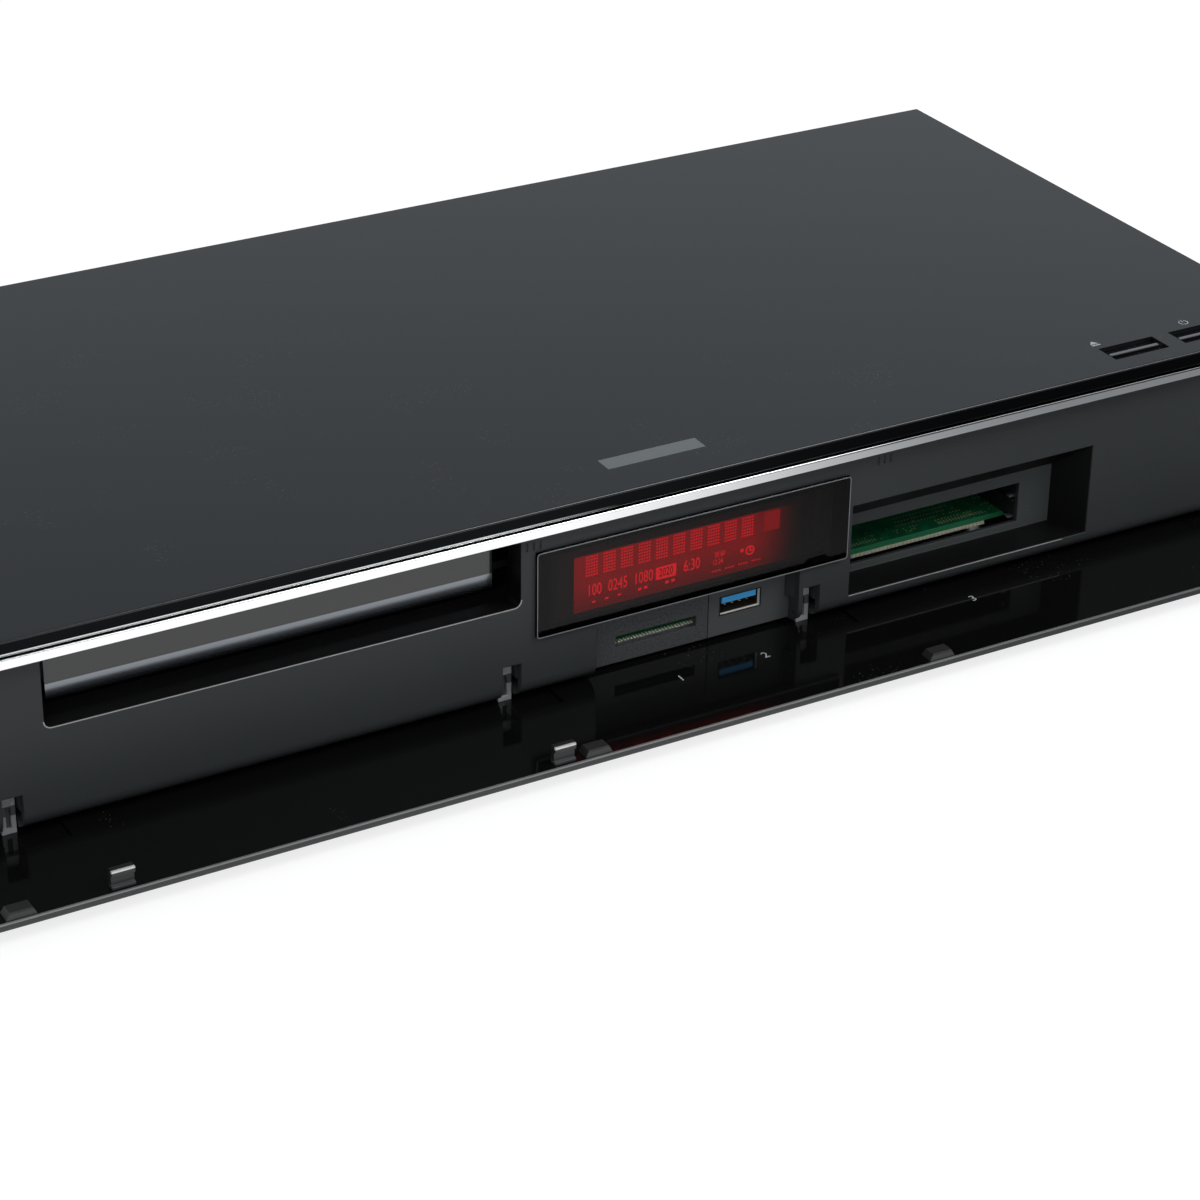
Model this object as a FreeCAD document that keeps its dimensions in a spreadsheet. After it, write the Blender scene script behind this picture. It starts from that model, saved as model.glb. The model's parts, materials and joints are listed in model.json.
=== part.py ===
import FreeCAD, Part
import math
import os
from types import SimpleNamespace

import Sketcher

# A disc recorder for a shelf under a television, drawn with its front flap open.
# X runs to the right, Y to the back, Z up. The origin is on the table, under the
# middle of the recorder and its open flap. Sizes are in millimetres.

SIZES = {
    # Case: heights from the table, depths from the front of the trim
    "body_width": 430,
    "body_height": 66,
    "body_depth": 206,
    "trim_proud": 4,
    "cover_wall": 1.4,
    "cover_bead": 1.1,
    "cover_brow": 0.5,
    "band_height": 4.7,
    "strip_gap": 0.4,
    "strip_height": 2.9,
    "strip_round": 0.35,
    "seam": 0.3,
    "floor_wall": 1,
    "flange_height": 12,
    "rear_wall": 1.2,
    "vent_pitch": 6,
    "vent_width": 2.5,
    "vent_length": 50,
    "vent_count": 7,
    "foot_height": 8,
    "foot_radius": 13,
    "foot_pad": 1.2,
    "foot_rim": 2,
    "foot_side_inset": 34,
    "foot_front_inset": 44,
    "foot_rear_inset": 26,
    "screw_head_radius": 3.2,
    "screw_head_height": 1.8,
    "screw_drop": 7,
    "screw_side_inset": 15,
    "screw_count": 5,
    "boss_radius": 3,
    "boss_inset": 6,
    # Panel behind the flap: heights from the table, depths from its face
    "panel_wall": 2.2,
    "panel_leg": 12,
    "panel_bend": 5,
    "mouth_width": 134.3,
    "mouth_lip": 0.6,
    "mouth_height": 20.8,
    "mouth_corner": 2,
    "mouth_depth": 6,
    "bay_offset": 24,
    "bay_width": 65,
    "bay_depth": 5.1,
    "bay_cheek": 1.2,
    "bay_draft": 1.6,
    "bay_split": 38.4,
    "bezel_wall": 1.8,
    "bezel_high": 27.5,
    "recess_left": 57.7,
    "recess_width": 83.3,
    "recess_low": 13.2,
    "recess_high": 41.5,
    "recess_depth": 12,
    "recess_left_draft": 3,
    "recess_right_draft": 5.5,
    "recess_top_draft": 9.8,
    "recess_wall": 1.4,
    "mark_height": 2.4,
    "mark_width": 0.6,
    "mark_pitch": 2,
    "mark_depth": 0.3,
    "mark_rise": 1,
    # Flap, its hinges, hooks and bumpers
    "flap_wall": 2.4,
    "flap_gap": 2.6,
    "flap_clear": 0.5,
    "flap_low": 6.5,
    "flap_round": 0.8,
    "pivot_back": 6.7,
    "pivot_high": 16.3,
    "hinge_inset": 23.6,
    "hinge_offset": 50,
    "hinge_right": 45.2,
    "hinge_slot": 5.6,
    "hinge_rise": 0.6,
    "arm_width": 4,
    "arm_barrel": 2.4,
    "arm_foot_length": 7.2,
    "arm_foot_proud": 0.8,
    "fork_width": 1.4,
    "fork_depth": 1.2,
    "pin_radius": 1.2,
    "fit": 0.05,
    "ear_wall": 1.5,
    "ear_gap": 0.3,
    "ear_back": 2.5,
    "pocket_near": 3,
    "pocket_far": 13.4,
    "pocket_outer": 8.5,
    "pocket_front": 4.7,
    "pocket_margin": 2,
    "pocket_depth": 0.7,
    "hook_outer": 175.7,
    "hook_inner": 51.8,
    "hook_width": 6.2,
    "hook_height": 5.2,
    "hook_wall": 1.6,
    "hook_nib": 0.8,
    "hook_inset": 2.3,
    "bumper_share": 0.682,
    "bumper_offset": 42,
    "bumper_right": 67.3,
    "bumper_width": 8,
    "bumper_length": 4.6,
    "bumper_height": 1.9,
    # Display window and what is behind it
    "window_offset": 43,
    "window_width": 99,
    "window_low": 26,
    "window_drop": 6.4,
    "window_proud": 1,
    "window_thick": 1.8,
    "window_corner": 1.2,
    "window_bevel": 0.3,
    "sight_side": 5,
    "sight_edge": 2.5,
    "holder_wall": 3,
    "glass_thick": 3.4,
    "glass_lead": 1.6,
    "front_board_back": 9,
    "board_wall": 1.6,
    "chip_size": 9,
    "chip_height": 1.4,
    "chip_pitch": 26,
    # Card slots and sockets at the front
    "sd_inset": 8.8,
    "sd_width": 25.8,
    "sd_low": 13.1,
    "sd_height": 3.4,
    "sd_depth": 27,
    "sd_fingers": 9,
    "contact_pitch": 2.3,
    "contact_width": 1,
    "contact_wall": 0.5,
    "contact_length": 3,
    "usb_inset": 42,
    "usb_width": 13.7,
    "usb_low": 14.2,
    "usb_height": 6.1,
    "usb_depth": 17,
    "shell_wall": 0.4,
    "tongue_width": 11.1,
    "tongue_height": 1.9,
    "tongue_drop": 0.4,
    "usb_contacts": 4,
    "card_inset": 8.3,
    "card_width": 58.5,
    "card_low": 15.3,
    "card_height": 12.7,
    "cage_length": 78,
    "cage_side": 2,
    "cage_top": 1.3,
    "cage_end": 4,
    "cage_rib": 1.2,
    "card_board_inset": 6.2,
    "header_width": 47,
    "header_length": 2.4,
    "header_height": 1.2,
    "header_inset": 5.5,
    "spring_width": 1.5,
    "spring_height": 0.8,
    # Keys in the top
    "key_inset": 66.6,
    "button_width": 19.4,
    "button_pitch": 25.2,
    "button_front": 2.6,
    "button_length": 8.5,
    "button_gap": 0.3,
    "button_sink": 1.5,
    "button_cap": 3,
    "button_ridge": 1.1,
    "button_travel": 0.6,
    "button_stem": 2,
    "well_wall": 1.2,
    "well_depth": 11,
    "switch_size": 6,
    "switch_height": 3.6,
    "plunger_radius": 1.6,
    "plunger_height": 1.6,
    # Disc drive: depths from the panel's face
    "tray_offset": 114.5,
    "drive_width": 146,
    "drive_front": 14,
    "drive_rear_gap": 16,
    "drive_floor": 13,
    "drive_wall": 2,
    "drive_sill": 22,
    "lid_wall": 0.8,
    "ledge_wall": 2.2,
    "leg_radius": 4,
    "leg_inset": 7,
    "opening_half": 40,
    "opening_front": 60,
    "opening_rear_gap": 26,
    "tray_width": 128,
    "tray_rear_gap": 7,
    "tray_headroom": 5.4,
    "tray_plate": 4,
    "tray_skirt": 8,
    "skirt_wall": 2,
    "disc_back": 78,
    "disc_well": 60.6,
    "well_sink": 2.4,
    "tray_window_half": 22,
    "tray_window_back": 62,
    "tray_face_back": 9,
    "tray_face_wall": 2.6,
    "tray_face_sill": 1.5,
    "tray_face_lip": 0.8,
    "tray_face_side": 0.8,
    "tray_face_roll": 2,
    "rack_offset": 53,
    "rack_width": 3,
    "rack_height": 3.4,
    "gear_module": 0.8,
    "gear_teeth": 20,
    "gear_backlash": 0.3,
    "gear_root": 1.1,
    "gear_tip": 0.7,
    "gear_flank": 0.6,
    "root_share": 0.28,
    "pitch_share": 0.25,
    "tip_share": 0.162,
    "rack_root_share": 0.366,
    "rack_tip_share": 0.169,
    "rack_lead": 4.5,
    "gear_back": 30,
    "gear_height": 2.9,
    "pulley_radius": 12,
    "pulley_height": 2.6,
    "pulley_gap": 0.8,
    "post_radius": 2,
    "post_shoulder": 4,
    "belt_wall": 0.9,
    "belt_height": 1.8,
    "loading_offset": 56.5,
    "loading_back": 66,
    "loading_radius": 8,
    "loading_height": 16,
    "loading_pulley_radius": 3.2,
    "loading_shaft_radius": 1,
    # Traverse: the frame that lifts the turntable and carries the sled
    "traverse_half": 45,
    "traverse_front": 56,
    "traverse_rear_gap": 14,
    "traverse_drop": 21,
    "traverse_wall": 2.4,
    "lift_inset": 4,
    "lift_height": 6.8,
    "lift_pin_radius": 1.6,
    "lift_pin_length": 4,
    "lift_gap": 0.4,
    "lift_post": 8,
    "spindle_radius": 1.5,
    "spindle_motor_radius": 12,
    "spindle_motor_height": 6,
    "turntable_radius": 14.5,
    "turntable_drop": 7.8,
    "turntable_wall": 1.8,
    "hub_radius": 7.4,
    "hub_taper": 1.4,
    "hub_height": 2.6,
    "sled_half": 24,
    "sled_length": 23,
    "sled_lift": 3.6,
    "sled_height": 7,
    "sled_start": 17,
    "sled_margin": 2,
    "sled_rear_gap": 18,
    "lens_back": 6.5,
    "lens_radius": 2.6,
    "lens_cup": 1.1,
    "rail_radius": 1.5,
    "rail_half": 20,
    "rail_lift": 6.4,
    "rail_front": 9.5,
    "rail_rear_gap": 14.5,
    "rail_post": 4.8,
    "rail_post_wall": 3,
    "lead_offset": 30,
    "lead_radius": 1.4,
    "lead_post": 6,
    "sled_motor_length": 10,
    "sled_motor_lap": 2.2,
    "cam_front": 50,
    "cam_wall": 3,
    "cam_drop": 5,
    "cam_height": 19.6,
    "cam_travel": 20,
    "cam_pin_half": 16,
    "cam_pin_radius": 1.3,
    "cam_slot_gap": 0.5,
    "cam_margin": 3,
    "clamp_hole": 13,
    "clamp_radius": 15,
    "clamp_flange": 1.4,
    "clamp_drop": 3,
    # Boards and works behind
    "board_high": 13.7,
    "main_gap": 7.5,
    "board_gap": 6,
    "main_front": 104,
    "main_rear_gap": 6,
    "sink_left": 76,
    "sink_width": 40,
    "sink_front": 118,
    "sink_length": 44,
    "sink_height": 22,
    "fin_pitch": 5,
    "fin_wall": 1.2,
    "fin_base": 3,
    "disk_gap": 2.1,
    "disk_width": 101.6,
    "disk_rear_gap": 10,
    "disk_length": 147,
    "disk_headroom": 2.5,
    "disk_height": 26.1,
    "disk_bevel": 2,
    "bracket_wall": 1.2,
    "bracket_front_leg": 52,
    "bracket_back_leg": 14,
    "bracket_rim": 6,
    "power_inset": 7.3,
    "power_width": 54,
    "power_front": 30,
    "power_rear_gap": 8,
    "transformer_width": 30,
    "transformer_length": 28,
    "transformer_height": 27,
    "capacitor_radius": 9,
    "capacitor_height": 25,
    "capacitor_front": 15.4,
    "capacitor_pitch": 22,
    "fan_middle": 122,
    "fan_low": 16,
    "fan_size": 40,
    "fan_depth": 10,
    "fan_radius": 18,
    "fan_gap": 0.6,
    "fan_hub": 9,
    "fan_strut": 1.6,
    "fan_strut_width": 3,
    "fan_blades": 7,
    "blade_wall": 1.2,
    "blade_lean": 4,
    "fan_vents": 7,
    "tuner_inset": 2,
    "tuner_width": 50,
    "tuner_length": 46,
    "tuner_headroom": 4.5,
    "aerial_pitch": 16,
    "aerial_radius": 4.8,
    "aerial_wall": 1,
    "socket_reach": 4,
    "socket_length": 16,
    "socket_proud": 1,
    "socket_wall": 0.8,
    "hdmi_left": 24,
    "hdmi_pitch": 20,
    "hdmi_width": 15,
    "hdmi_height": 6,
    "lan_left": 66,
    "lan_width": 16,
    "lan_height": 13,
    "audio_left": 88,
    "audio_size": 11,
    "audio_bore": 3.2,
    "mains_inset": 16,
    "mains_width": 26,
    "mains_height": 16,
    "mains_wall": 2.4,
    "mains_pin": 1.2,
    "mains_pin_pitch": 7.8,
}


class Size:
    """A number together with the formula that gives it on the sheet."""

    def __init__(self, number, formula):
        self.number = number
        self.formula = formula

    @staticmethod
    def of(value):
        """A Size as it is, or a plain number as a Size."""
        if isinstance(value, Size):
            return value
        return Size(float(value), f"{float(value):.9g}")

    def joined(self, sign, other, number):
        return Size(number, f"({self.formula} {sign} {other.formula})")

    def __add__(self, other):
        other = Size.of(other)
        return self.joined("+", other, self.number + other.number)

    def __sub__(self, other):
        other = Size.of(other)
        return self.joined("-", other, self.number - other.number)

    def __mul__(self, other):
        other = Size.of(other)
        return self.joined("*", other, self.number * other.number)

    def __truediv__(self, other):
        other = Size.of(other)
        return self.joined("/", other, self.number / other.number)

    def __radd__(self, other):
        return Size.of(other) + self

    def __rsub__(self, other):
        return Size.of(other) - self

    def __rmul__(self, other):
        return Size.of(other) * self

    def __neg__(self):
        return Size.of(0) - self


def root(size):
    """Square root of a Size."""
    return Size(math.sqrt(size.number), f"sqrt({size.formula})")


ALONG = {
    "x": FreeCAD.Rotation(FreeCAD.Vector(0, 1, 0), 90),
    "y": FreeCAD.Rotation(FreeCAD.Vector(1, 0, 0), -90),
    "z": FreeCAD.Rotation(),
}


def make_sheet(doc):
    """The sheet of driving sizes, each cell with its name as alias."""
    sheet = doc.addObject("Spreadsheet::Sheet", "Sizes")
    for row, (name, value) in enumerate(SIZES.items(), start=1):
        sheet.set(f"A{row}", name)
        sheet.set(f"B{row}", str(value))
        sheet.setAlias(f"B{row}", name)
    doc.recompute()
    return sheet


def read_sizes(doc, sheet):
    """Every size of the sheet, and the places worked out from them that pieces share."""
    s = SimpleNamespace()
    for name in SIZES:
        setattr(s, name, Size(float(sheet.get(name)), f"Sizes.{name}"))
    places = doc.addObject("App::VarSet", "Places")

    def place(name, value):
        places.addProperty("App::PropertyFloat", name)
        bind(places, name, value)
        setattr(s, name, Size(value.number, f"Places.{name}"))

    # The case
    place("band_low", s.body_height - s.band_height)
    place("strip_high", s.band_low - s.strip_gap)
    place("strip_low", s.strip_high - s.strip_height)
    place("top_under", s.body_height - s.cover_wall)
    place("floor_top", s.foot_height + s.floor_wall)
    place("half", s.body_width / 2)
    place("inner_half", s.half - s.cover_wall - s.seam)
    place("inner_depth", s.body_depth - s.trim_proud)
    # The flap swings between its open place and one seam under the strip
    place("flap_top", s.strip_low - s.flap_clear)
    place("flap_reach", s.flap_top - s.pivot_high - s.pivot_back)
    place("face", (s.flap_reach - s.inner_depth - s.socket_reach) / 2)
    place("rear", s.face + s.inner_depth)
    place("flap_inner", s.pivot_high - s.pivot_back - s.flap_gap)
    place("flap_outer", s.flap_inner - s.flap_wall)
    place("flap_front", s.face - s.flap_reach)
    place("flap_back", s.face + s.pivot_back + s.pivot_high - s.flap_low)
    place("flap_half", s.half - s.seam)
    place("pivot_y", s.face + s.pivot_back)
    place("slot_top", s.pivot_high + s.arm_barrel + s.hinge_rise)
    place("hinge_outer", s.half - s.hinge_inset)
    s.hinges = [-s.hinge_outer, -s.hinge_offset, s.hinge_right, s.hinge_outer]
    place("bumper_outer", s.hook_outer + (s.half - s.hook_outer) * s.bumper_share)
    # Openings of the panel
    place("tray_middle", -s.tray_offset)
    place("mouth_high", s.strip_low - s.mouth_lip)
    place("mouth_low", s.mouth_high - s.mouth_height)
    place("mouth_left", s.tray_middle - s.mouth_width / 2)
    place("mouth_right", s.tray_middle + s.mouth_width / 2)
    place("bay_left", -s.bay_offset)
    place("bay_right", s.bay_left + s.bay_width)
    place("bay_back", s.face + s.bay_depth)
    place("bezel_back", s.bay_back + s.bezel_wall)
    place("sd_left", s.bay_left + s.sd_inset)
    place("usb_left", s.bay_left + s.usb_inset)
    place("recess_right", s.recess_left + s.recess_width)
    place("recess_back", s.face + s.recess_depth)
    place("cage_front", s.recess_back + s.recess_wall)
    place("card_left", s.recess_left + s.card_inset)
    place("card_right", s.card_left + s.card_width)
    place("window_left", -s.window_offset)
    place("window_right", s.window_left + s.window_width)
    place("window_high", s.strip_low - s.window_drop)
    # Keys
    place("button_left", s.half - s.key_inset)
    place("key_front", s.face + s.button_front)
    place("well_low", s.top_under - s.well_depth)
    place("switch_top", s.well_low + s.switch_height + s.plunger_height)
    # Drive: it fills the depth and hangs its heights from the mouth
    place("drive_length", s.inner_depth - s.drive_front - s.drive_rear_gap)
    place("drive_high", s.mouth_high)
    place("drive_y", s.face + s.drive_front)
    place("drive_end", s.drive_y + s.drive_length)
    place("drive_half", s.drive_width / 2)
    place("drive_right", s.tray_middle + s.drive_half)
    place("deck", s.drive_floor + s.drive_wall)
    place("disc_y", s.face + s.disc_back)
    place("tray_y", s.face + s.tray_face_back + s.tray_face_wall)
    place("tray_length", s.drive_length - s.tray_rear_gap)
    place("tray_half", s.tray_width / 2)
    place("tray_top", s.drive_high - s.tray_headroom)
    place("tray_low", s.tray_top - s.tray_plate)
    place("tray_face_low", s.mouth_low + s.tray_face_sill)
    place("tray_face_high", s.mouth_high - s.tray_face_lip)
    place("rack_x", s.tray_middle - s.rack_offset)
    place("rack_low", s.tray_low - s.rack_height)
    place("tooth_pitch", s.gear_module * math.pi)
    place("gear_radius", s.gear_module * s.gear_teeth / 2)
    place("gear_x", s.rack_x + s.gear_radius)
    place("gear_y", s.face + s.gear_back)
    place("pulley_low", s.rack_low - s.pulley_gap - s.pulley_height)
    place("loading_x", s.tray_middle - s.loading_offset)
    place("loading_y", s.face + s.loading_back)
    # Traverse
    place("traverse_y", s.face + s.traverse_front)
    place("traverse_end", s.drive_end - s.traverse_rear_gap)
    place("traverse_low", s.tray_top - s.traverse_drop)
    place("traverse_top", s.traverse_low + s.traverse_wall)
    place("turntable_seat", s.tray_top - s.turntable_drop)
    place("sled_low", s.traverse_low + s.sled_lift)
    place("sled_end", s.traverse_end - s.sled_rear_gap)
    place("rail_high", s.traverse_low + s.rail_lift)
    place("rail_y", s.disc_y + s.rail_front)
    place("rail_length", s.traverse_end - s.rail_rear_gap - s.rail_y)
    place("sled_motor_y", s.rail_y + s.rail_length - s.rail_post_wall - s.sled_motor_lap)
    place("lift_y", s.traverse_end - s.lift_inset)
    place("lift_z", s.traverse_low + s.traverse_wall / 2)
    place("cam_y", s.face + s.cam_front)
    place("cam_low", s.traverse_low - s.cam_drop)
    place("cam_high", s.cam_low + s.cam_height)
    lift_reach = s.lift_y - s.cam_y - s.cam_wall / 2
    place("cam_rise", s.lift_height * lift_reach / (s.lift_y - s.disc_y))
    # Works
    place("board_top", s.board_high + s.board_wall)
    place("rear_inner", s.rear - s.rear_wall)
    place("power_left", s.inner_half - s.power_inset - s.power_width)
    place("power_y", s.face + s.power_front)
    place("power_length", s.rear - s.power_rear_gap - s.power_y)
    place("main_left", s.drive_right + s.main_gap)
    place("main_right", s.power_left - s.board_gap)
    place("main_y", s.face + s.main_front)
    place("main_length", s.rear - s.main_rear_gap - s.main_y)
    place("disk_left", s.drive_right + s.disk_gap)
    place("disk_y", s.rear - s.disk_rear_gap - s.disk_length)
    place("disk_low", s.top_under - s.disk_headroom - s.disk_height)
    place("tuner_left", s.main_left + s.tuner_inset)
    place("tuner_height", s.disk_low - s.bracket_wall - s.tuner_headroom - s.board_top)
    place("mains_left", s.power_left + s.mains_inset)
    doc.recompute()
    return s


def bind(item, prop, value):
    """Ties a property of a document object to the sheet."""
    item.setExpression(prop, Size.of(value).formula)


def move(item, place):
    """Ties the three parts of an object's place to the sheet."""
    for axis, value in zip("xyz", place):
        bind(item, f"Placement.Base.{axis}", value)


def box(doc, name, low, size):
    """A block from its lowest corner and its three sizes."""
    item = doc.addObject("Part::Box", name)
    for prop, value in zip(("Length", "Width", "Height"), size):
        bind(item, prop, value)
    move(item, low)
    return item


def span(doc, name, low, high):
    """A block between two corners."""
    return box(doc, name, low, [Size.of(b) - Size.of(a) for a, b in zip(low, high)])


def rod(doc, name, base, radius, length, along="z"):
    """A cylinder that starts at base and runs along an axis."""
    item = doc.addObject("Part::Cylinder", name)
    bind(item, "Radius", radius)
    bind(item, "Height", length)
    item.Placement = FreeCAD.Placement(FreeCAD.Vector(), ALONG[along])
    move(item, base)
    return item


def fuse(doc, name, items):
    """One solid of several that touch or overlap."""
    item = doc.addObject("Part::MultiFuse", name)
    item.Shapes = items
    item.Refine = True
    return item


def cut(doc, name, base, tools):
    """A solid less its tools."""
    item = doc.addObject("Part::Cut", name)
    item.Base = base
    item.Tool = tools[0] if len(tools) == 1 else fuse(doc, name + "_tools", tools)
    return item


def group(doc, name, items):
    """Separate solids that share one node."""
    item = doc.addObject("Part::Compound", name)
    item.Links = items
    return item


def origin_part(body, role):
    """One of the body's own origin planes or axes."""
    return next(f for f in body.Origin.OriginFeatures if f.Role == role)


def sketch_on(body, name, role, level):
    sketch = body.newObject("Sketcher::SketchObject", name)
    sketch.AttachmentSupport = (origin_part(body, role), [""])
    sketch.MapMode = "FlatFace"
    bind(sketch, "AttachmentOffset.Base.z", level)
    return sketch


def plan_sketch(body, name, z):
    """A level sketch in (x, y) at a height; its normal points up."""
    return sketch_on(body, name, "XY_Plane", z)


def front_sketch(body, name, y):
    """An upright sketch in (x, z) at a depth; its normal points to the front."""
    return sketch_on(body, name, "XZ_Plane", -y)


def side_sketch(body, name, x):
    """An upright sketch in (y, z) across the case; its normal points to the right."""
    return sketch_on(body, name, "YZ_Plane", x)


def hold(sketch, kind, places, value):
    """One dimension of a sketch, tied to the sheet."""
    value = Size.of(value)
    index = sketch.addConstraint(Sketcher.Constraint(kind, *places, value.number))
    bind(sketch, f"Constraints[{index}]", value)


def draw_outline(sketch, points):
    """A closed outline of straight edges through points given in the sketch's plane."""
    points = [(Size.of(u), Size.of(v)) for u, v in points]
    first = sketch.GeometryCount
    count = len(points)
    for i in range(count):
        ends = [FreeCAD.Vector(u.number, v.number, 0) for u, v in (points[i], points[(i + 1) % count])]
        sketch.addGeometry(Part.LineSegment(*ends))
    for i in range(count):
        following = first + (i + 1) % count
        sketch.addConstraint(Sketcher.Constraint("Coincident", first + i, 2, following, 1))
    for i, (u, v) in enumerate(points):
        hold(sketch, "DistanceX", (-1, 1, first + i, 1), u)
        hold(sketch, "DistanceY", (-1, 1, first + i, 1), v)


def draw_rectangle(sketch, low, high):
    draw_outline(sketch, [low, (high[0], low[1]), high, (low[0], high[1])])


def draw_circle(sketch, centre, radius):
    u, v, radius = Size.of(centre[0]), Size.of(centre[1]), Size.of(radius)
    middle = FreeCAD.Vector(u.number, v.number, 0)
    index = sketch.addGeometry(Part.Circle(middle, FreeCAD.Vector(0, 0, 1), radius.number))
    hold(sketch, "DistanceX", (-1, 1, index, 3), u)
    hold(sketch, "DistanceY", (-1, 1, index, 3), v)
    hold(sketch, "Radius", (index,), radius)


def pad(body, name, sketch, length, way="normal"):
    """Adds material from a sketch along its normal, against it, or half each way."""
    item = body.newObject("PartDesign::Pad", name)
    item.Profile = sketch
    item.SideType = "Symmetric" if way == "both" else "One side"
    item.Reversed = way == "against"
    bind(item, "Length", length)
    return item


def carve(body, name, sketch, length, way="against"):
    """Takes material away from a sketch against its normal, along it, or half each way."""
    item = body.newObject("PartDesign::Pocket", name)
    item.Profile = sketch
    item.SideType = "Symmetric" if way == "both" else "One side"
    item.Reversed = way == "normal"
    bind(item, "Length", length)
    return item


def profile_body(doc, name, points, width):
    """A body drawn in side view, as (y, z) points, as wide as told about the middle."""
    body = doc.addObject("PartDesign::Body", name)
    side = side_sketch(body, name + "_side", 0)
    draw_outline(side, points)
    pad(body, name + "_pad", side, width, "both")
    return body


def near(a, b):
    return abs(a - Size.of(b).number) < 0.01


def runs_along(edge, axis):
    """Whether an edge is straight and runs along an axis, or any edge where none is named."""
    start, end = (vertex.Point for vertex in edge.Vertexes)
    return axis is None or abs(getattr(end - start, axis)) > (end - start).Length - 0.001


def finish_edges(body, name, size, wanted, along=None, kind="Fillet"):
    """Rounds or bevels the edges of the body whose two ends both pass a test."""
    body.Document.recompute()
    base = body.Tip
    names = []
    for number, edge in enumerate(base.Shape.Edges, start=1):
        if len(edge.Vertexes) == 2 and runs_along(edge, along):
            if all(wanted(vertex.Point) for vertex in edge.Vertexes):
                names.append(f"Edge{number}")
    item = body.newObject("PartDesign::" + kind, name)
    item.Base = (base, names)
    bind(item, "Radius" if kind == "Fillet" else "Size", size)
    return item


# Case


def make_top_cover(doc, s):
    """Glossy lid: a plate folded down at the front as the black band, and two sides."""
    y0 = s.face - s.trim_proud
    body = profile_body(
        doc,
        "top_cover",
        [
            (y0, s.band_low),
            (y0, s.body_height),
            (s.rear, s.body_height),
            (s.rear, s.top_under),
            (y0 + s.cover_wall, s.top_under),
            (y0 + s.cover_wall, s.band_low),
        ],
        s.body_width,
    )
    skirt = s.foot_height + s.cover_wall / 2
    for word, sign in (("left", -1), ("right", 1)):
        side = side_sketch(body, f"{word}_wall_outline", s.half * sign)
        draw_outline(
            side,
            [
                (s.face, skirt + s.panel_bend),
                (s.face + s.panel_bend, skirt),
                (s.rear, skirt),
                (s.rear, s.top_under),
                (s.face, s.top_under),
            ],
        )
        pad(body, f"{word}_wall", side, s.cover_wall, "against" if sign > 0 else "normal")
    holes = plan_sketch(body, "key_holes", s.body_height)
    for i in range(2):
        left = s.button_left + s.button_pitch * i
        draw_rectangle(
            holes, (left, s.key_front), (left + s.button_width, s.key_front + s.button_length)
        )
    carve(body, "key_openings", holes, s.cover_wall * 2)
    finish_edges(
        body, "band_bead", s.cover_bead,
        lambda p: near(p.y, y0) and near(p.z, s.band_low), "x",
    )
    finish_edges(
        body, "front_brow", s.cover_brow,
        lambda p: near(p.y, y0) and near(p.z, s.body_height), "x",
    )
    return body


def make_silver_strip(doc, s):
    """Polished strip across the full width under the band."""
    y0 = s.face - s.trim_proud
    body = profile_body(
        doc,
        "silver_strip",
        [(y0, s.strip_low), (s.face, s.strip_low), (s.face, s.strip_high), (y0, s.strip_high)],
        s.body_width,
    )
    finish_edges(body, "strip_edges", s.strip_round, lambda p: near(p.y, y0), "x")
    return body


def boss_places(s):
    """Where the floor's bosses stand under the boards, as (x, y)."""
    inset = s.boss_inset
    main_back = s.main_y + s.main_length - inset * 2
    power_right = s.power_left + s.power_width - inset
    power_back = s.power_y + s.power_length - inset
    card_y = s.cage_front + s.card_board_inset + inset
    return [
        (s.main_left + inset, s.main_y + inset),
        (s.main_right - inset, s.main_y + inset),
        (s.main_left + inset, main_back),
        (s.main_right - inset, main_back),
        (s.power_left + inset, s.power_y + inset),
        (power_right, s.power_y + inset),
        (s.power_left + inset, power_back),
        (power_right, power_back),
        (s.card_left + inset, card_y),
        (s.card_right - inset, card_y),
    ]


def make_bottom_chassis(doc, s):
    """Folded steel floor with low flanges, bosses for the boards and cooling slots."""
    front = s.face + s.panel_leg + s.seam
    body = doc.addObject("PartDesign::Body", "bottom_chassis")
    plan = plan_sketch(body, "floor_outline", s.foot_height)
    draw_rectangle(plan, (-s.inner_half, front), (s.inner_half, s.rear_inner))
    pad(body, "floor", plan, s.floor_wall)
    for word, sign in (("left", -1), ("right", 1)):
        side = side_sketch(body, f"{word}_flange_outline", s.inner_half * sign)
        draw_rectangle(side, (front, s.foot_height), (s.rear_inner, s.floor_top + s.flange_height))
        pad(body, f"{word}_flange", side, s.floor_wall, "against" if sign > 0 else "normal")
    bosses = plan_sketch(body, "boss_outlines", s.foot_height)
    for place in boss_places(s):
        draw_circle(bosses, place, s.boss_radius)
    pad(body, "bosses", bosses, s.board_high - s.foot_height)
    slots = plan_sketch(body, "cooling_outlines", s.floor_top)
    for i in range(int(s.vent_count.number)):
        left = s.power_left + s.boss_inset * 2 + s.vent_pitch * i
        start = s.power_y + s.vent_length
        draw_rectangle(slots, (left, start), (left + s.vent_width, start + s.vent_length))
    carve(body, "cooling_slots", slots, s.floor_wall * 2)
    return body


def back_sockets(s):
    """Left edge, width and height of each box-shaped socket at the back."""
    return {
        "hdmi_one": (s.hdmi_left, s.hdmi_width, s.hdmi_height),
        "hdmi_two": (s.hdmi_left + s.hdmi_pitch, s.hdmi_width, s.hdmi_height),
        "lan": (s.lan_left, s.lan_width, s.lan_height),
        "audio": (s.audio_left, s.audio_size, s.audio_size),
        "mains": (s.mains_left, s.mains_width, s.mains_height),
    }


def aerial_places(s):
    """Middle of each aerial socket, as (x, z)."""
    first = s.tuner_left + (s.tuner_width - s.aerial_pitch) / 2
    z = s.board_top + s.tuner_height / 2
    return [(first, z), (first + s.aerial_pitch, z)]


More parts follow.
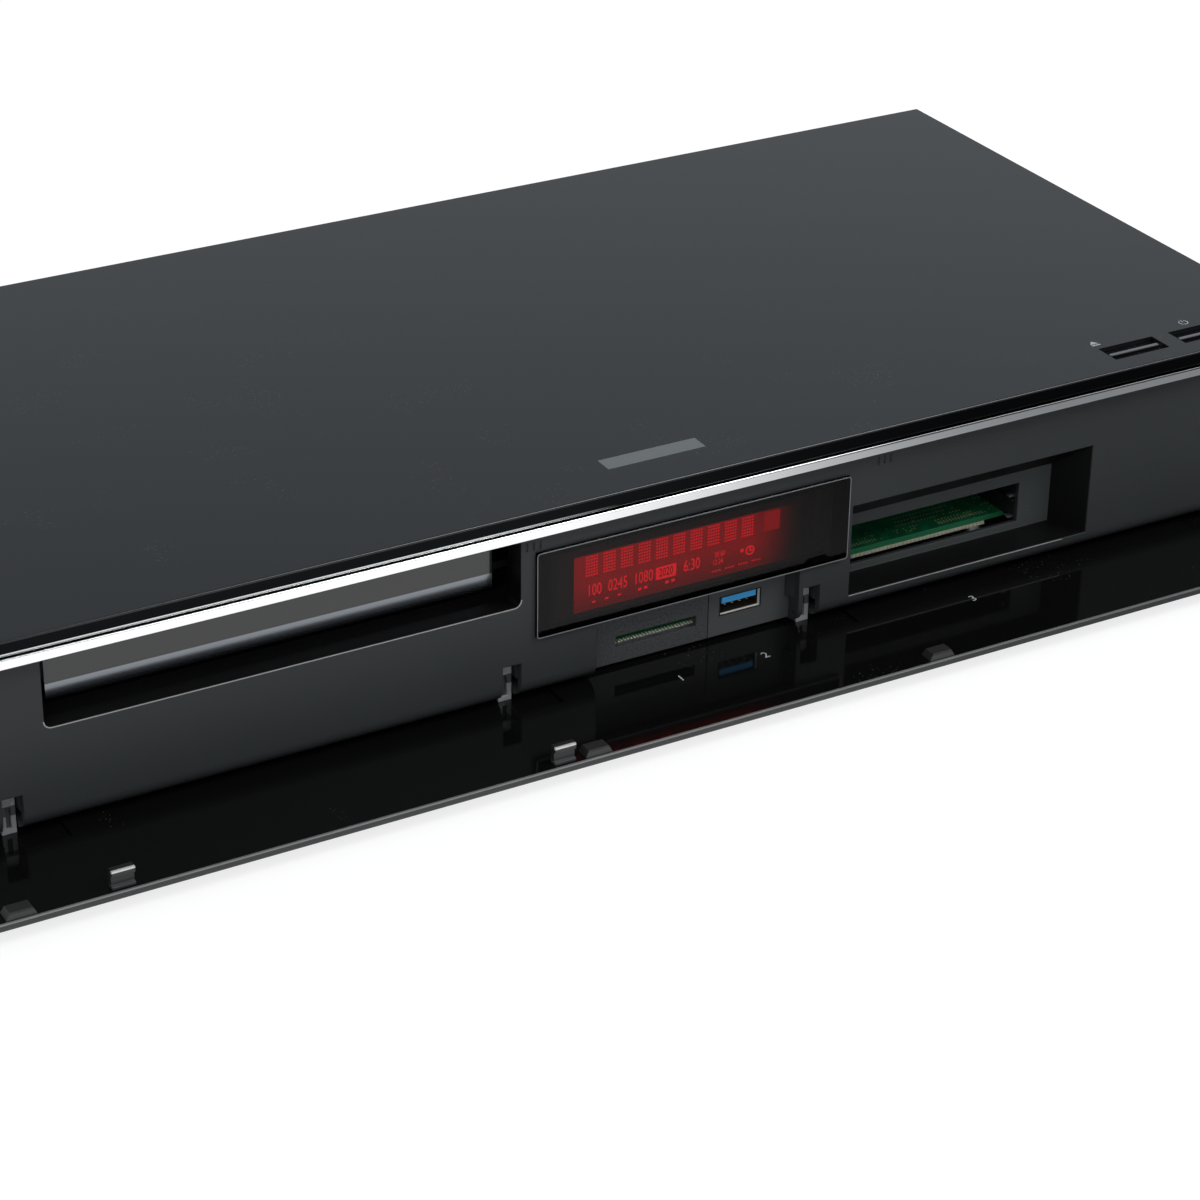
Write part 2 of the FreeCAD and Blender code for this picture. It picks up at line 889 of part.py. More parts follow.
def make_rear_panel(doc, s):
    """Sheet steel back, open where its sockets and the fan's air pass through."""
    body = doc.addObject("PartDesign::Body", "rear_panel")
    plate = front_sketch(body, "rear_outline", s.rear)
    draw_rectangle(
        plate,
        (-s.inner_half, s.foot_height),
        (s.inner_half, s.top_under - s.seam),
    )
    pad(body, "rear_plate", plate, s.rear_wall)
    holes = front_sketch(body, "rear_holes", s.rear)
    for left, width, height in back_sockets(s).values():
        draw_rectangle(
            holes,
            (left - s.seam, s.board_top - s.seam),
            (left + width + s.seam, s.board_top + height + s.seam),
        )
    for place in aerial_places(s):
        draw_circle(holes, place, s.aerial_radius + s.seam)
    pitch = s.fan_radius * 2 / s.fan_vents
    start = s.fan_middle - s.fan_radius
    low = s.fan_low + s.fan_size / 4
    for i in range(int(s.fan_vents.number)):
        left = start + pitch * (i + 0.25)
        draw_rectangle(holes, (left, low), (left + pitch / 2, low + s.fan_size / 2))
    carve(body, "rear_openings", holes, s.rear_wall * 4, "both")
    return body


def make_feet(doc, s):
    """Four round feet, each a cup over a narrower sole."""
    feet = []
    front = s.face + s.foot_front_inset
    back = s.rear - s.foot_rear_inset
    cup = s.foot_height - s.foot_pad
    for i, (sign, y) in enumerate([(-1, front), (1, front), (-1, back), (1, back)]):
        x = (s.half - s.foot_side_inset) * sign
        upper = rod(doc, f"foot_cup_{i}", (x, y, s.foot_pad), s.foot_radius, cup)
        sole = rod(doc, f"foot_sole_{i}", (x, y, 0), s.foot_radius - s.foot_rim, s.foot_pad)
        feet.append(fuse(doc, f"foot_{i}", [upper, sole]))
    return group(doc, "feet", feet)


def make_case_screws(doc, s):
    """Round screw heads along the top of the back."""
    screws = []
    reach = s.half - s.screw_side_inset
    pitch = reach * 2 / (s.screw_count - 1)
    for i in range(int(s.screw_count.number)):
        x = -reach + pitch * i
        base = (x, s.rear, s.top_under - s.screw_drop)
        screws.append(
            rod(doc, f"screw_{i}", base, s.screw_head_radius, s.screw_head_height, "y")
        )
    return group(doc, "case_screws", screws)


# Panel behind the flap


def make_front_panel(doc, s):
    """Moulded panel: a face with its foot bent back, and everything that opens through it."""
    y0 = s.face
    inner = y0 + s.panel_wall
    low = s.foot_height
    body = profile_body(
        doc,
        "front_panel",
        [
            (y0, low),
            (y0 + s.panel_leg, low),
            (y0 + s.panel_leg, low + s.panel_wall),
            (inner, low + s.panel_wall),
            (inner, s.top_under - s.seam),
            (y0, s.top_under - s.seam),
        ],
        s.inner_half * 2,
    )
    finish_edges(
        body, "foot_bend", s.panel_bend, lambda p: near(p.y, y0) and near(p.z, low), "x"
    )
    add_hinge_ears(body, s)
    add_mouth(body, s)
    add_bay(body, s)
    bore_ears(body, s)
    add_recess(body, s)
    cut_display_seat(body, s)
    cut_hinge_slots(body, s)
    cut_marks(body, s)
    return body


def add_hinge_ears(body, s):
    """Two ears behind each hinge slot."""
    inner = s.arm_width / 2 + s.ear_gap
    outer = inner + s.ear_wall
    low = s.pivot_high - s.arm_barrel - s.ear_gap
    ears = front_sketch(body, "ear_outlines", s.face + s.panel_wall / 2)
    for x in s.hinges:
        draw_rectangle(ears, (x - outer, low), (x - inner, s.slot_top + s.panel_wall))
        draw_rectangle(ears, (x + inner, low), (x + outer, s.slot_top + s.panel_wall))
    depth = s.pivot_back + s.ear_back - s.panel_wall / 2
    pad(body, "ears", ears, depth, "against")


def bore_ears(body, s):
    """Bores for the pins, right through each pair of ears."""
    reach = s.arm_width / 2 + s.ear_gap + s.ear_wall
    for i, x in enumerate(s.hinges):
        bore = side_sketch(body, f"ear_bore_outline_{i}", x)
        draw_circle(bore, (s.pivot_y, s.pivot_high), s.pin_radius)
        carve(body, f"ear_bore_{i}", bore, reach * 2, "both")


def add_mouth(body, s):
    """Short tunnel with rounded corners that the tray comes out of."""
    wall = s.panel_wall
    sleeve = front_sketch(body, "sleeve_outline", s.face)
    draw_rectangle(
        sleeve,
        (s.mouth_left - wall, s.mouth_low - wall),
        (s.mouth_right + wall, s.mouth_high + wall),
    )
    pad(body, "mouth_sleeve", sleeve, s.mouth_depth, "against")
    mouth = front_sketch(body, "mouth_outline", s.face)
    draw_rectangle(mouth, (s.mouth_left, s.mouth_low), (s.mouth_right, s.mouth_high))
    carve(body, "mouth", mouth, s.mouth_depth + 1)

    def at_corner(p):
        beside = near(p.x, s.mouth_left) or near(p.x, s.mouth_right)
        return beside and (near(p.z, s.mouth_low) or near(p.z, s.mouth_high))

    finish_edges(body, "mouth_corners", s.mouth_corner, at_corner, "y")


def add_bay(body, s):
    """Open bay for the sockets, between two cheeks that hold their bezels."""
    start = s.face + s.panel_wall / 2
    low = s.foot_height
    for word, x in (("left", s.bay_left - s.bay_cheek), ("right", s.bay_right)):
        cheek = side_sketch(body, f"{word}_cheek_outline", x)
        draw_outline(
            cheek,
            [
                (start, low + s.panel_bend),
                (s.face + s.panel_bend, low),
                (s.bezel_back, low),
                (s.bezel_back, s.bezel_high),
                (start, s.bezel_high),
            ],
        )
        pad(body, f"{word}_cheek", cheek, s.bay_cheek)
    bay = front_sketch(body, "bay_outline", s.face)
    draw_rectangle(bay, (s.bay_left, low - 1), (s.bay_right, s.window_low))
    carve(body, "bay", bay, s.panel_leg + 1)
    slope = plan_sketch(body, "bay_slope_outline", s.pivot_high - s.hinge_rise)
    draw_outline(
        slope,
        [
            (s.bay_right + s.bay_cheek / 2, s.face + s.panel_wall),
            (s.bay_right + s.bay_cheek / 2, s.bay_back),
            (s.bay_right - s.bay_draft, s.bay_back),
            (s.bay_right, s.face + s.panel_wall),
        ],
    )
    pad(body, "bay_slope", slope, s.window_low - s.pivot_high + s.hinge_rise)


def add_recess(body, s):
    """Tapered tub, hollow to the front, with the card slot in its back wall."""
    rim = s.recess_wall

    def tub(name, grow, kind, start, end):
        mouth = front_sketch(body, name + "_mouth", start)
        draw_rectangle(
            mouth,
            (s.recess_left - grow, s.recess_low - grow),
            (s.recess_right + grow, s.recess_high + grow),
        )
        floor = front_sketch(body, name + "_floor", end)
        draw_rectangle(
            floor,
            (s.recess_left + s.recess_left_draft - grow, s.recess_low - grow),
            (
                s.recess_right - s.recess_right_draft + grow,
                s.recess_high - s.recess_top_draft + grow,
            ),
        )
        loft = body.newObject(f"PartDesign::{kind}Loft", name)
        loft.Profile = mouth
        loft.Sections = [floor]
        loft.Ruled = True

    tub("recess_shell", rim, "Additive", s.face + s.panel_wall / 2, s.cage_front)
    tub("recess_hollow", Size.of(0), "Subtractive", s.face, s.recess_back)
    slot = front_sketch(body, "card_slot_outline", s.recess_back)
    draw_rectangle(
        slot, (s.card_left, s.card_low), (s.card_right, s.card_low + s.card_height)
    )
    carve(body, "card_slot", slot, rim + 1)


def cut_display_seat(body, s):
    """Shallow seat for the window, with an opening behind it for the display."""
    seat = front_sketch(body, "seat_outline", s.face)
    draw_rectangle(seat, (s.window_left, s.window_low), (s.window_right, s.window_high))
    carve(body, "display_seat", seat, s.window_thick - s.window_proud)
    sight = front_sketch(body, "sight_outline", s.face)
    draw_rectangle(
        sight,
        (s.window_left + s.sight_side, s.window_low + s.sight_edge),
        (s.window_right - s.sight_side, s.window_high - s.sight_edge),
    )
    carve(body, "display_sight", sight, s.panel_wall + 1)


def cut_hinge_slots(body, s):
    """Slots for the flap's arms, open below and narrower behind the face."""
    low = s.foot_height - 1
    wide = front_sketch(body, "hinge_slot_outlines", s.face)
    narrow = front_sketch(body, "arm_way_outlines", s.face)
    for x in s.hinges:
        for sketch, half in (
            (wide, s.hinge_slot / 2),
            (narrow, s.arm_width / 2 + s.ear_gap),
        ):
            draw_rectangle(sketch, (x - half, low), (x + half, s.slot_top))
    carve(body, "hinge_slots", wide, s.panel_wall)
    carve(body, "arm_ways", narrow, s.panel_leg + 1)


def cut_marks(body, s):
    """Three short grooves over each place where a bumper meets the panel."""
    marks = front_sketch(body, "mark_outlines", s.face)
    low = s.window_high + s.mark_rise
    for middle in (-s.bumper_offset - s.bumper_height, s.bumper_right):
        for i in (-1, 0, 1):
            x = middle + s.mark_pitch * i
            draw_rectangle(marks, (x, low), (x + s.mark_width, low + s.mark_height))
    carve(body, "marks", marks, s.mark_depth)


# Flap


def make_flap_door(doc, s):
    """Drop-down door, drawn open: a plate rounded outside, with a shallow pocket per hinge."""
    body = profile_body(
        doc,
        "flap_door",
        [
            (s.flap_front, s.flap_outer),
            (s.flap_back, s.flap_outer),
            (s.flap_back, s.flap_inner),
            (s.flap_front, s.flap_inner),
        ],
        s.flap_half * 2,
    )
    finish_edges(body, "flap_edges", s.flap_round, lambda p: near(p.z, s.flap_outer), "x")
    pockets = plan_sketch(body, "hinge_pocket_outlines", s.flap_inner)
    reaches = [
        (s.pocket_outer, s.pocket_far),
        (s.pocket_near, s.pocket_far),
        (s.pocket_near, s.pocket_far),
        (s.pocket_far, s.pocket_outer),
    ]
    for x, (left, right) in zip(s.hinges, reaches):
        draw_rectangle(
            pockets,
            (x - left, s.face - s.pocket_front),
            (x + right, s.flap_back - s.pocket_margin),
        )
    carve(body, "hinge_pockets", pockets, s.pocket_depth)
    return body


def make_flap_hooks(doc, s):
    """Two latch hooks near the flap's free edge, each with a foot and a nib."""
    hooks = []
    y = s.flap_front + s.hook_inset
    for i, middle in enumerate((-s.hook_outer, -s.hook_inner)):
        x = middle - s.hook_width / 2
        stem = box(
            doc, f"hook_stem_{i}", (x, y, s.flap_inner),
            (s.hook_width, s.hook_wall, s.hook_height),
        )
        foot = box(
            doc, f"hook_foot_{i}", (x, y - s.hook_nib, s.flap_inner),
            (s.hook_width, s.hook_nib, s.hook_nib),
        )
        nib = box(
            doc, f"hook_nib_{i}", (x, y - s.hook_nib, s.flap_inner + s.hook_height - s.hook_wall),
            (s.hook_width, s.hook_nib, s.hook_wall),
        )
        hooks.append(fuse(doc, f"hook_{i}", [stem, foot, nib]))
    return group(doc, "flap_hooks", hooks)


def make_flap_bumpers(doc, s):
    """Three soft bumpers with sloped sides that meet the panel when the flap shuts."""
    bumpers = []
    slope = s.bumper_height / 2
    for i, middle in enumerate((-s.bumper_outer, -s.bumper_offset, s.bumper_right)):
        item = doc.addObject("Part::Wedge", f"bumper_{i}")
        sizes = {
            "Xmin": 0,
            "Ymin": 0,
            "Zmin": 0,
            "X2min": slope,
            "Z2min": slope / 2,
            "Xmax": s.bumper_width,
            "Ymax": s.bumper_height,
            "Zmax": s.bumper_length,
            "X2max": s.bumper_width - slope,
            "Z2max": s.bumper_length - slope / 2,
        }
        for prop, value in sizes.items():
            bind(item, prop, value)
        turn = FreeCAD.Rotation(FreeCAD.Vector(1, 0, 0), 90)
        item.Placement = FreeCAD.Placement(FreeCAD.Vector(), turn)
        y = s.flap_front + s.flap_round + s.bumper_length
        move(item, (middle - s.bumper_width / 2, y, s.flap_inner))
        bumpers.append(item)
    return group(doc, "flap_bumpers", bumpers)


def make_hinge_arms(doc, s):
    """Arms from the flap to the pins: a foot, a forked web and a bored barrel each."""
    arms = []
    low = s.flap_inner - s.pocket_depth
    front = s.pivot_y - s.arm_barrel
    for i, x in enumerate(s.hinges):
        left = x - s.arm_width / 2
        right = x + s.arm_width / 2
        barrel = rod(
            doc, f"arm_barrel_{i}", (left, s.pivot_y, s.pivot_high),
            s.arm_barrel, s.arm_width, "x",
        )
        web = span(
            doc, f"arm_web_{i}", (left, front, low),
            (right, s.pivot_y + s.arm_barrel, s.pivot_high),
        )
        foot = span(
            doc, f"arm_foot_{i}", (left, front, low),
            (right, front + s.arm_foot_length, s.flap_inner + s.arm_foot_proud),
        )
        bore = rod(
            doc, f"arm_bore_{i}", (left - 1, s.pivot_y, s.pivot_high),
            s.pin_radius + s.fit, s.arm_width + 2, "x",
        )
        fork = span(
            doc, f"arm_fork_{i}",
            (x - s.fork_width / 2, front - 1, s.flap_inner + s.arm_foot_proud),
            (x + s.fork_width / 2, front + s.fork_depth, s.pivot_high - s.arm_barrel),
        )
        solid = fuse(doc, f"arm_solid_{i}", [barrel, web, foot])
        arms.append(cut(doc, f"arm_{i}", solid, [bore, fork]))
    return group(doc, "hinge_arms", arms)


def make_hinge_pins(doc, s):
    """Steel pins that sit in the ears and that the arms turn on."""
    pins = []
    reach = s.arm_width / 2 + s.ear_gap + s.ear_wall
    for i, x in enumerate(s.hinges):
        base = (x - reach, s.pivot_y, s.pivot_high)
        pins.append(rod(doc, f"pin_{i}", base, s.pin_radius, reach * 2, "x"))
    return group(doc, "hinge_pins", pins)


# Display


def make_display_window(doc, s):
    """Smoked window that stands a little proud of the panel."""
    front = s.face - s.window_proud
    body = doc.addObject("PartDesign::Body", "display_window")
    plate = front_sketch(body, "window_outline", front)
    draw_rectangle(plate, (s.window_left, s.window_low), (s.window_right, s.window_high))
    pad(body, "window_plate", plate, s.window_thick, "against")
    finish_edges(body, "window_corners", s.window_corner, lambda p: True, "y")
    finish_edges(
        body, "window_edge", s.window_bevel, lambda p: near(p.y, front), kind="Chamfer"
    )
    return body


def display_space(s):
    """Opposite corners, as (x, z), of the space for the display's glass."""
    low = (s.window_left + s.sight_side + s.holder_wall, s.window_low + s.holder_wall)
    high = (s.window_right - s.sight_side * 2 - s.holder_wall, s.window_high - s.holder_wall)
    return low, high


def make_display_holder(doc, s):
    """Black frame that holds the display's glass behind the window."""
    low, high = display_space(s)
    wall = s.holder_wall
    front = s.face + s.panel_wall
    back = s.face + s.front_board_back
    block = span(
        doc, "holder_block", (low[0] - wall, front, s.bezel_high),
        (high[0] + wall, back, high[1] + wall),
    )
    space = span(
        doc, "holder_space", (low[0] - s.seam, front - 1, low[1] - s.seam),
        (high[0] + s.seam, back + 1, high[1] + s.seam),
    )
    return cut(doc, "display_holder", block, [space])


def make_display_glass(doc, s):
    """Glass of the display, with a row of leads back to its board."""
    low, high = display_space(s)
    back = s.face + s.front_board_back
    front = s.face + s.panel_wall + s.button_gap
    glass = span(
        doc, "glass_block", (low[0], front, low[1]), (high[0], front + s.glass_thick, high[1])
    )
    leads = span(
        doc, "glass_leads",
        (low[0] + s.glass_thick, front + s.glass_thick, low[1] + s.seam),
        (high[0] - s.glass_thick, back, low[1] + s.seam + s.glass_lead),
    )
    return fuse(doc, "display_glass", [glass, leads])


def make_front_board(doc, s):
    """Board behind the panel that carries the display and its chips."""
    low = (s.window_left, s.face + s.front_board_back, s.bezel_high)
    high = (
        s.recess_left - s.recess_wall - s.seam,
        s.face + s.front_board_back + s.board_wall,
        s.window_high + s.sight_side,
    )
    parts = [span(doc, "front_board_plate", low, high)]
    for i in range(3):
        place = (s.window_left + s.chip_pitch * (i + 0.5), high[1], low[2] + s.chip_size)
        size = (s.chip_size, s.chip_height, s.chip_size)
        parts.append(box(doc, f"front_chip_{i}", place, size))
    return fuse(doc, "front_board", parts)


# Sockets and card slots


def make_bezel(doc, s, name, left, right, hole_low, hole_high):
    """Plate at the back of the bay with one opening."""
    body = doc.addObject("PartDesign::Body", name)
    plate = front_sketch(body, name + "_outline", s.bay_back)
    draw_rectangle(plate, (left, s.foot_height + s.seam), (right, s.bezel_high))
    pad(body, name + "_plate", plate, s.bezel_wall, "against")
    hole = front_sketch(body, name + "_hole", s.bay_back)
    draw_rectangle(hole, hole_low, hole_high)
    carve(body, name + "_opening", hole, s.bezel_wall + 1)
    return body


def make_sd_bezel(doc, s):
    """Left plate of the bay, with the slot for small cards."""
    right = s.bay_left + s.bay_split - s.seam / 2
    slot_low = (s.sd_left, s.sd_low)
    slot_high = (s.sd_left + s.sd_width, s.sd_low + s.sd_height)
    return make_bezel(doc, s, "sd_bezel", s.bay_left, right, slot_low, slot_high)


def make_usb_bezel(doc, s):
    """Right plate of the bay, with the opening for the socket."""
    left = s.bay_left + s.bay_split + s.seam / 2
    hole_low = (s.usb_left, s.usb_low)
    hole_high = (s.usb_left + s.usb_width, s.usb_low + s.usb_height)
    return make_bezel(doc, s, "usb_bezel", left, s.bay_right, hole_low, hole_high)


def make_sd_socket(doc, s):
    """Reader for small cards: a metal shell, and a contact strip with its fingers in it."""
    wall = s.shell_wall
    y = s.bezel_back
    block = box(
        doc, "sd_shell_block", (s.sd_left - wall, y, s.sd_low - wall),
        (s.sd_width + wall * 2, s.sd_depth, s.sd_height + wall * 2),
    )
    space = box(
        doc, "sd_shell_space", (s.sd_left, y - 1, s.sd_low),
        (s.sd_width, s.sd_depth - wall + 1, s.sd_height),
    )
    start = y + s.contact_length
    parts = [
        span(
            doc, "sd_strip", (s.sd_left, start, s.sd_low),
            (s.sd_left + s.sd_width, y + s.sd_depth / 2, s.sd_low + s.contact_wall),
        )
    ]
    for i in range(int(s.sd_fingers.number)):
        place = (s.sd_left + s.contact_pitch * (i + 1), y, s.sd_low)
        size = (s.contact_width, s.contact_length, s.contact_wall)
        parts.append(box(doc, f"sd_finger_{i}", place, size))
    shell = cut(doc, "sd_shell", block, [space])
    contacts = fuse(doc, "sd_contacts", parts)
    return group(doc, "sd_socket", [shell, contacts])


def make_usb_shell(doc, s):
    """Plated shell of the socket, a rectangular tube closed at the back."""
    wall = s.shell_wall
    low = (s.usb_left, s.bay_back + s.fit, s.usb_low)
    block = box(doc, "usb_shell_block", low, (s.usb_width, s.usb_depth, s.usb_height))
    space = box(
        doc, "usb_shell_space", (low[0] + wall, low[1] - 1, low[2] + wall),
        (s.usb_width - wall * 2, s.usb_depth - wall + 1, s.usb_height - wall * 2),
    )
    return cut(doc, "usb_shell", block, [space])


def make_usb_tongue(doc, s):
    """Contact tongue high in the shell, with its contacts under it."""
    x = s.usb_left + (s.usb_width - s.tongue_width) / 2
    high = s.usb_low + s.usb_height - s.shell_wall - s.tongue_drop
    low = high - s.tongue_height
    front = s.bay_back + s.tongue_drop * 2
    back = s.bay_back + s.fit + s.usb_depth - s.shell_wall
    parts = [span(doc, "tongue_plate", (x, front, low), (x + s.tongue_width, back, high))]
    pitch = s.tongue_width / s.usb_contacts
    for i in range(int(s.usb_contacts.number)):
        place = (x + pitch * (i + 0.25), front + s.tongue_drop, low - s.tongue_drop / 2)
        size = (pitch / 2, s.contact_length * 2, s.tongue_drop)
        parts.append(box(doc, f"tongue_contact_{i}", place, size))
    return fuse(doc, "usb_tongue", parts)


def make_card_cage(doc, s):
    """Black tunnel behind the card slot, open below, with a rib along each side."""
    low = s.card_low
    top = low + s.card_height
    side = s.cage_side
    back = s.cage_front + s.cage_length
    block = span(
        doc, "cage_block", (s.card_left - side, s.cage_front, low),
        (s.card_right + side, back, top + s.cage_top),
    )
    space = span(
        doc, "cage_space", (s.card_left, s.cage_front - 1, low - 1),
        (s.card_right, back - s.cage_end, top),
    )
    hollow = cut(doc, "cage_hollow", block, [space])
    parts = [hollow]
    for i, x in enumerate((s.card_left, s.card_right - s.cage_rib)):
        place = (x, s.cage_front, low + (s.card_height - s.cage_rib / 2) / 2)
        size = (s.cage_rib, s.cage_length - s.cage_end, s.cage_rib / 2)
        parts.append(box(doc, f"cage_rib_{i}", place, size))
    return fuse(doc, "card_cage", parts)


def make_card_board(doc, s):
    """Green board under the cage, with the contact strip below its front edge."""
    y = s.cage_front + s.card_board_inset
    side = s.cage_side
    plate = span(
        doc, "card_board_plate", (s.card_left - side, y, s.board_high),
        (s.card_right + side, s.cage_front + s.cage_length, s.board_top),
    )
    strip = box(
        doc, "card_header", (s.card_left + s.header_inset, y, s.board_high - s.header_height),
        (s.header_width, s.header_length, s.header_height),
    )
    return group(doc, "card_board", [plate, strip])


def make_card_springs(doc, s):
    """Three small earthing springs on the cage's right wall."""
    springs = []
    pitch = (s.card_height - s.spring_height * 2) / 2
    for i in range(3):
        z = s.card_low + s.spring_height / 2 + pitch * i
        if i == 1:
            z = z + s.cage_rib
        low = (s.card_right - s.spring_width, s.cage_front + s.spring_height, z)
        size = (s.spring_width, s.spring_width, s.spring_height)
        springs.append(box(doc, f"spring_{i}", low, size))
    return group(doc, "card_springs", springs)


# Keys in the top


def make_key(doc, s, name, number):
    """Sunken key with a ridge across it and a stem down to its switch."""
    gap = s.button_gap
    left = s.button_left + s.button_pitch * number
    top = s.body_height - s.button_sink
    under = top - s.button_cap
    x = left + s.button_width / 2
    y = s.key_front + s.button_length / 2
    cap = box(
        doc, name + "_cap", (left + gap, s.key_front + gap, under),
        (s.button_width - gap * 2, s.button_length - gap * 2, s.button_cap),
    )
    ridge = box(
        doc, name + "_ridge", (left + s.button_ridge, y - s.button_ridge / 2, top),
        (s.button_width - s.button_ridge * 2, s.button_ridge, s.button_ridge),
    )
    stem = span(
        doc, name + "_stem",
        (x - s.button_stem, y - s.button_stem, s.switch_top + s.button_travel + gap),
        (x + s.button_stem, y + s.button_stem, under),
    )
    return fuse(doc, name, [cap, ridge, stem])


def make_eject_button(doc, s):
    """Key that opens and shuts the tray."""
    return make_key(doc, s, "eject_button", 0)


def make_power_button(doc, s):
    """Key at the right end, for power."""
    return make_key(doc, s, "power_button", 1)


def well_plan(s):
    """Opposite corners, as (x, y), of the frame that guides the keys."""
    left = s.button_left - s.well_wall
    right = s.button_left + s.button_pitch + s.button_width + s.well_wall
    return (left, s.face + s.panel_wall), (right, s.key_front + s.button_length + s.well_wall)


def make_button_well(doc, s):
    """Black frame under the lid that guides both keys."""
    low, high = well_plan(s)
    block = span(doc, "well_block", (*low, s.well_low), (*high, s.top_under))
    spaces = []
    for i in range(2):
        place = (s.button_left + s.button_pitch * i, s.key_front, s.well_low - 1)
        size = (s.button_width, s.button_length, s.well_depth + 2)
        spaces.append(box(doc, f"well_space_{i}", place, size))
    return cut(doc, "button_well", block, spaces)


def make_switch_board(doc, s):
    """Narrow board under the frame, with a switch for each key."""
    low, high = well_plan(s)
    under = s.well_low - s.board_wall
    parts = [span(doc, "switch_plate", (*low, under), (*high, s.well_low))]
    half = s.switch_size / 2
    y = s.key_front + s.button_length / 2
    for i in range(2):
        x = s.button_left + s.button_pitch * i + s.button_width / 2
        size = (s.switch_size, s.switch_size, s.switch_height)
        parts.append(box(doc, f"switch_{i}", (x - half, y - half, s.well_low), size))
        base = (x, y, s.well_low + s.switch_height)
        parts.append(rod(doc, f"plunger_{i}", base, s.plunger_radius, s.plunger_height))
    return fuse(doc, "switch_board", parts)


# Disc drive


def make_drive_chassis(doc, s):
    """Moulded frame: deck with a large opening, walls, tray ledges, legs, posts and bearings."""
    x = s.tray_middle
    wall = s.drive_wall
    left, right = x - s.drive_half, x + s.drive_half
    body = doc.addObject("PartDesign::Body", "drive_chassis")
    deck = plan_sketch(body, "deck_outline", s.drive_floor)
    draw_rectangle(deck, (left, s.drive_y), (right, s.drive_end))
    draw_rectangle(
        deck,
        (x - s.opening_half, s.face + s.opening_front),
        (x + s.opening_half, s.drive_end - s.opening_rear_gap),
    )
    pad(body, "deck", deck, wall)
    for word, start in (("left", left), ("right", right - wall)):
        side = side_sketch(body, f"{word}_side_outline", start)
        draw_rectangle(side, (s.drive_y, s.drive_floor), (s.drive_end, s.drive_high))
        pad(body, f"{word}_side", side, wall)
    back = front_sketch(body, "drive_back_outline", s.drive_end)
    draw_rectangle(back, (left, s.drive_floor), (right, s.drive_high))
    pad(body, "drive_back", back, wall)
    sill = front_sketch(body, "sill_outline", s.drive_y)
    draw_rectangle(sill, (left, s.drive_floor), (right, s.drive_floor + s.drive_sill))
    pad(body, "sill", sill, wall, "against")
    add_ledges(body, s)
    add_drive_legs(body, s)
    add_gear_post(body, s)
    add_lift_posts(body, s)
    return body


def add_ledges(body, s):
    """Two rails that the tray's skirts run on."""
    high = s.tray_top - s.tray_skirt - s.seam
    inner = s.drive_half - s.drive_wall
    ledges = front_sketch(body, "ledge_outlines", s.drive_end)
    for sign in (-1, 1):
        outer = s.tray_middle + inner * sign
        edge = s.tray_middle + (s.tray_half - s.skirt_wall) * sign
        corners = sorted((outer, edge), key=lambda size: size.number)
        draw_rectangle(ledges, (corners[0], high - s.ledge_wall), (corners[1], high))
    pad(body, "ledges", ledges, s.drive_length)


def add_drive_legs(body, s):
    """Four legs from the deck to the floor of the case."""
    legs = plan_sketch(body, "leg_outlines", s.floor_top)
    reach = s.drive_half - s.leg_inset
    for sign in (-1, 1):
        for y in (s.drive_y + s.leg_inset, s.drive_end - s.leg_inset):
            draw_circle(legs, (s.tray_middle + reach * sign, y), s.leg_radius)
    pad(body, "legs", legs, s.drive_floor + s.drive_wall / 2 - s.floor_top)


def add_gear_post(body, s):
    """Post that the big pulley turns on, with a shoulder under it."""
    centre = (s.gear_x, s.gear_y)
    shoulder = plan_sketch(body, "shoulder_outline", s.deck)
    draw_circle(shoulder, centre, s.post_shoulder)
    pad(body, "gear_shoulder", shoulder, s.pulley_low - s.seam - s.deck)
    post = plan_sketch(body, "post_outline", s.deck)
    draw_circle(post, centre, s.post_radius)
    pad(body, "gear_post", post, s.rack_low + s.gear_height - s.deck)


def add_lift_posts(body, s):
    """Two bored posts that the traverse tilts in, and the sill that the slider runs over."""
    inner = s.traverse_half + s.lift_gap
    half = s.lift_post / 2
    posts = front_sketch(body, "lift_post_outlines", s.lift_y)
    high = s.lift_z + s.lift_post / 2
    for sign in (-1, 1):
        a = s.tray_middle + inner * sign
        b = s.tray_middle + (s.traverse_half + s.lift_pin_length) * sign
        corners = sorted((a, b), key=lambda size: size.number)
        draw_rectangle(posts, (corners[0], s.drive_floor), (corners[1], high))
    pad(body, "lift_posts", posts, half * 2, "both")
    bore = side_sketch(body, "lift_bore_outline", s.tray_middle)
    draw_circle(bore, (s.lift_y, s.lift_z), s.lift_pin_radius + s.fit)
    carve(body, "lift_bores", bore, (s.traverse_half + s.lift_pin_length) * 2 + 1, "both")
    way = front_sketch(body, "cam_way_outline", s.cam_y)
    reach = s.cam_pin_half + s.cam_travel + s.cam_margin
    draw_rectangle(
        way, (s.tray_middle - reach, s.drive_floor), (s.tray_middle + reach, s.cam_low - s.seam)
    )
    pad(body, "cam_way", way, s.cam_wall, "against")


def make_drive_lid(doc, s):
    """Steel lid of the drive with the hole that the disc clamp hangs in."""
    body = doc.addObject("PartDesign::Body", "drive_lid")
    plan = plan_sketch(body, "drive_lid_outline", s.drive_high)
    draw_rectangle(
        plan,
        (s.tray_middle - s.drive_half, s.drive_y),
        (s.tray_middle + s.drive_half, s.drive_end),
    )
    draw_circle(plan, (s.tray_middle, s.disc_y), s.clamp_hole)
    pad(body, "drive_lid_plate", plan, s.lid_wall)
    return body


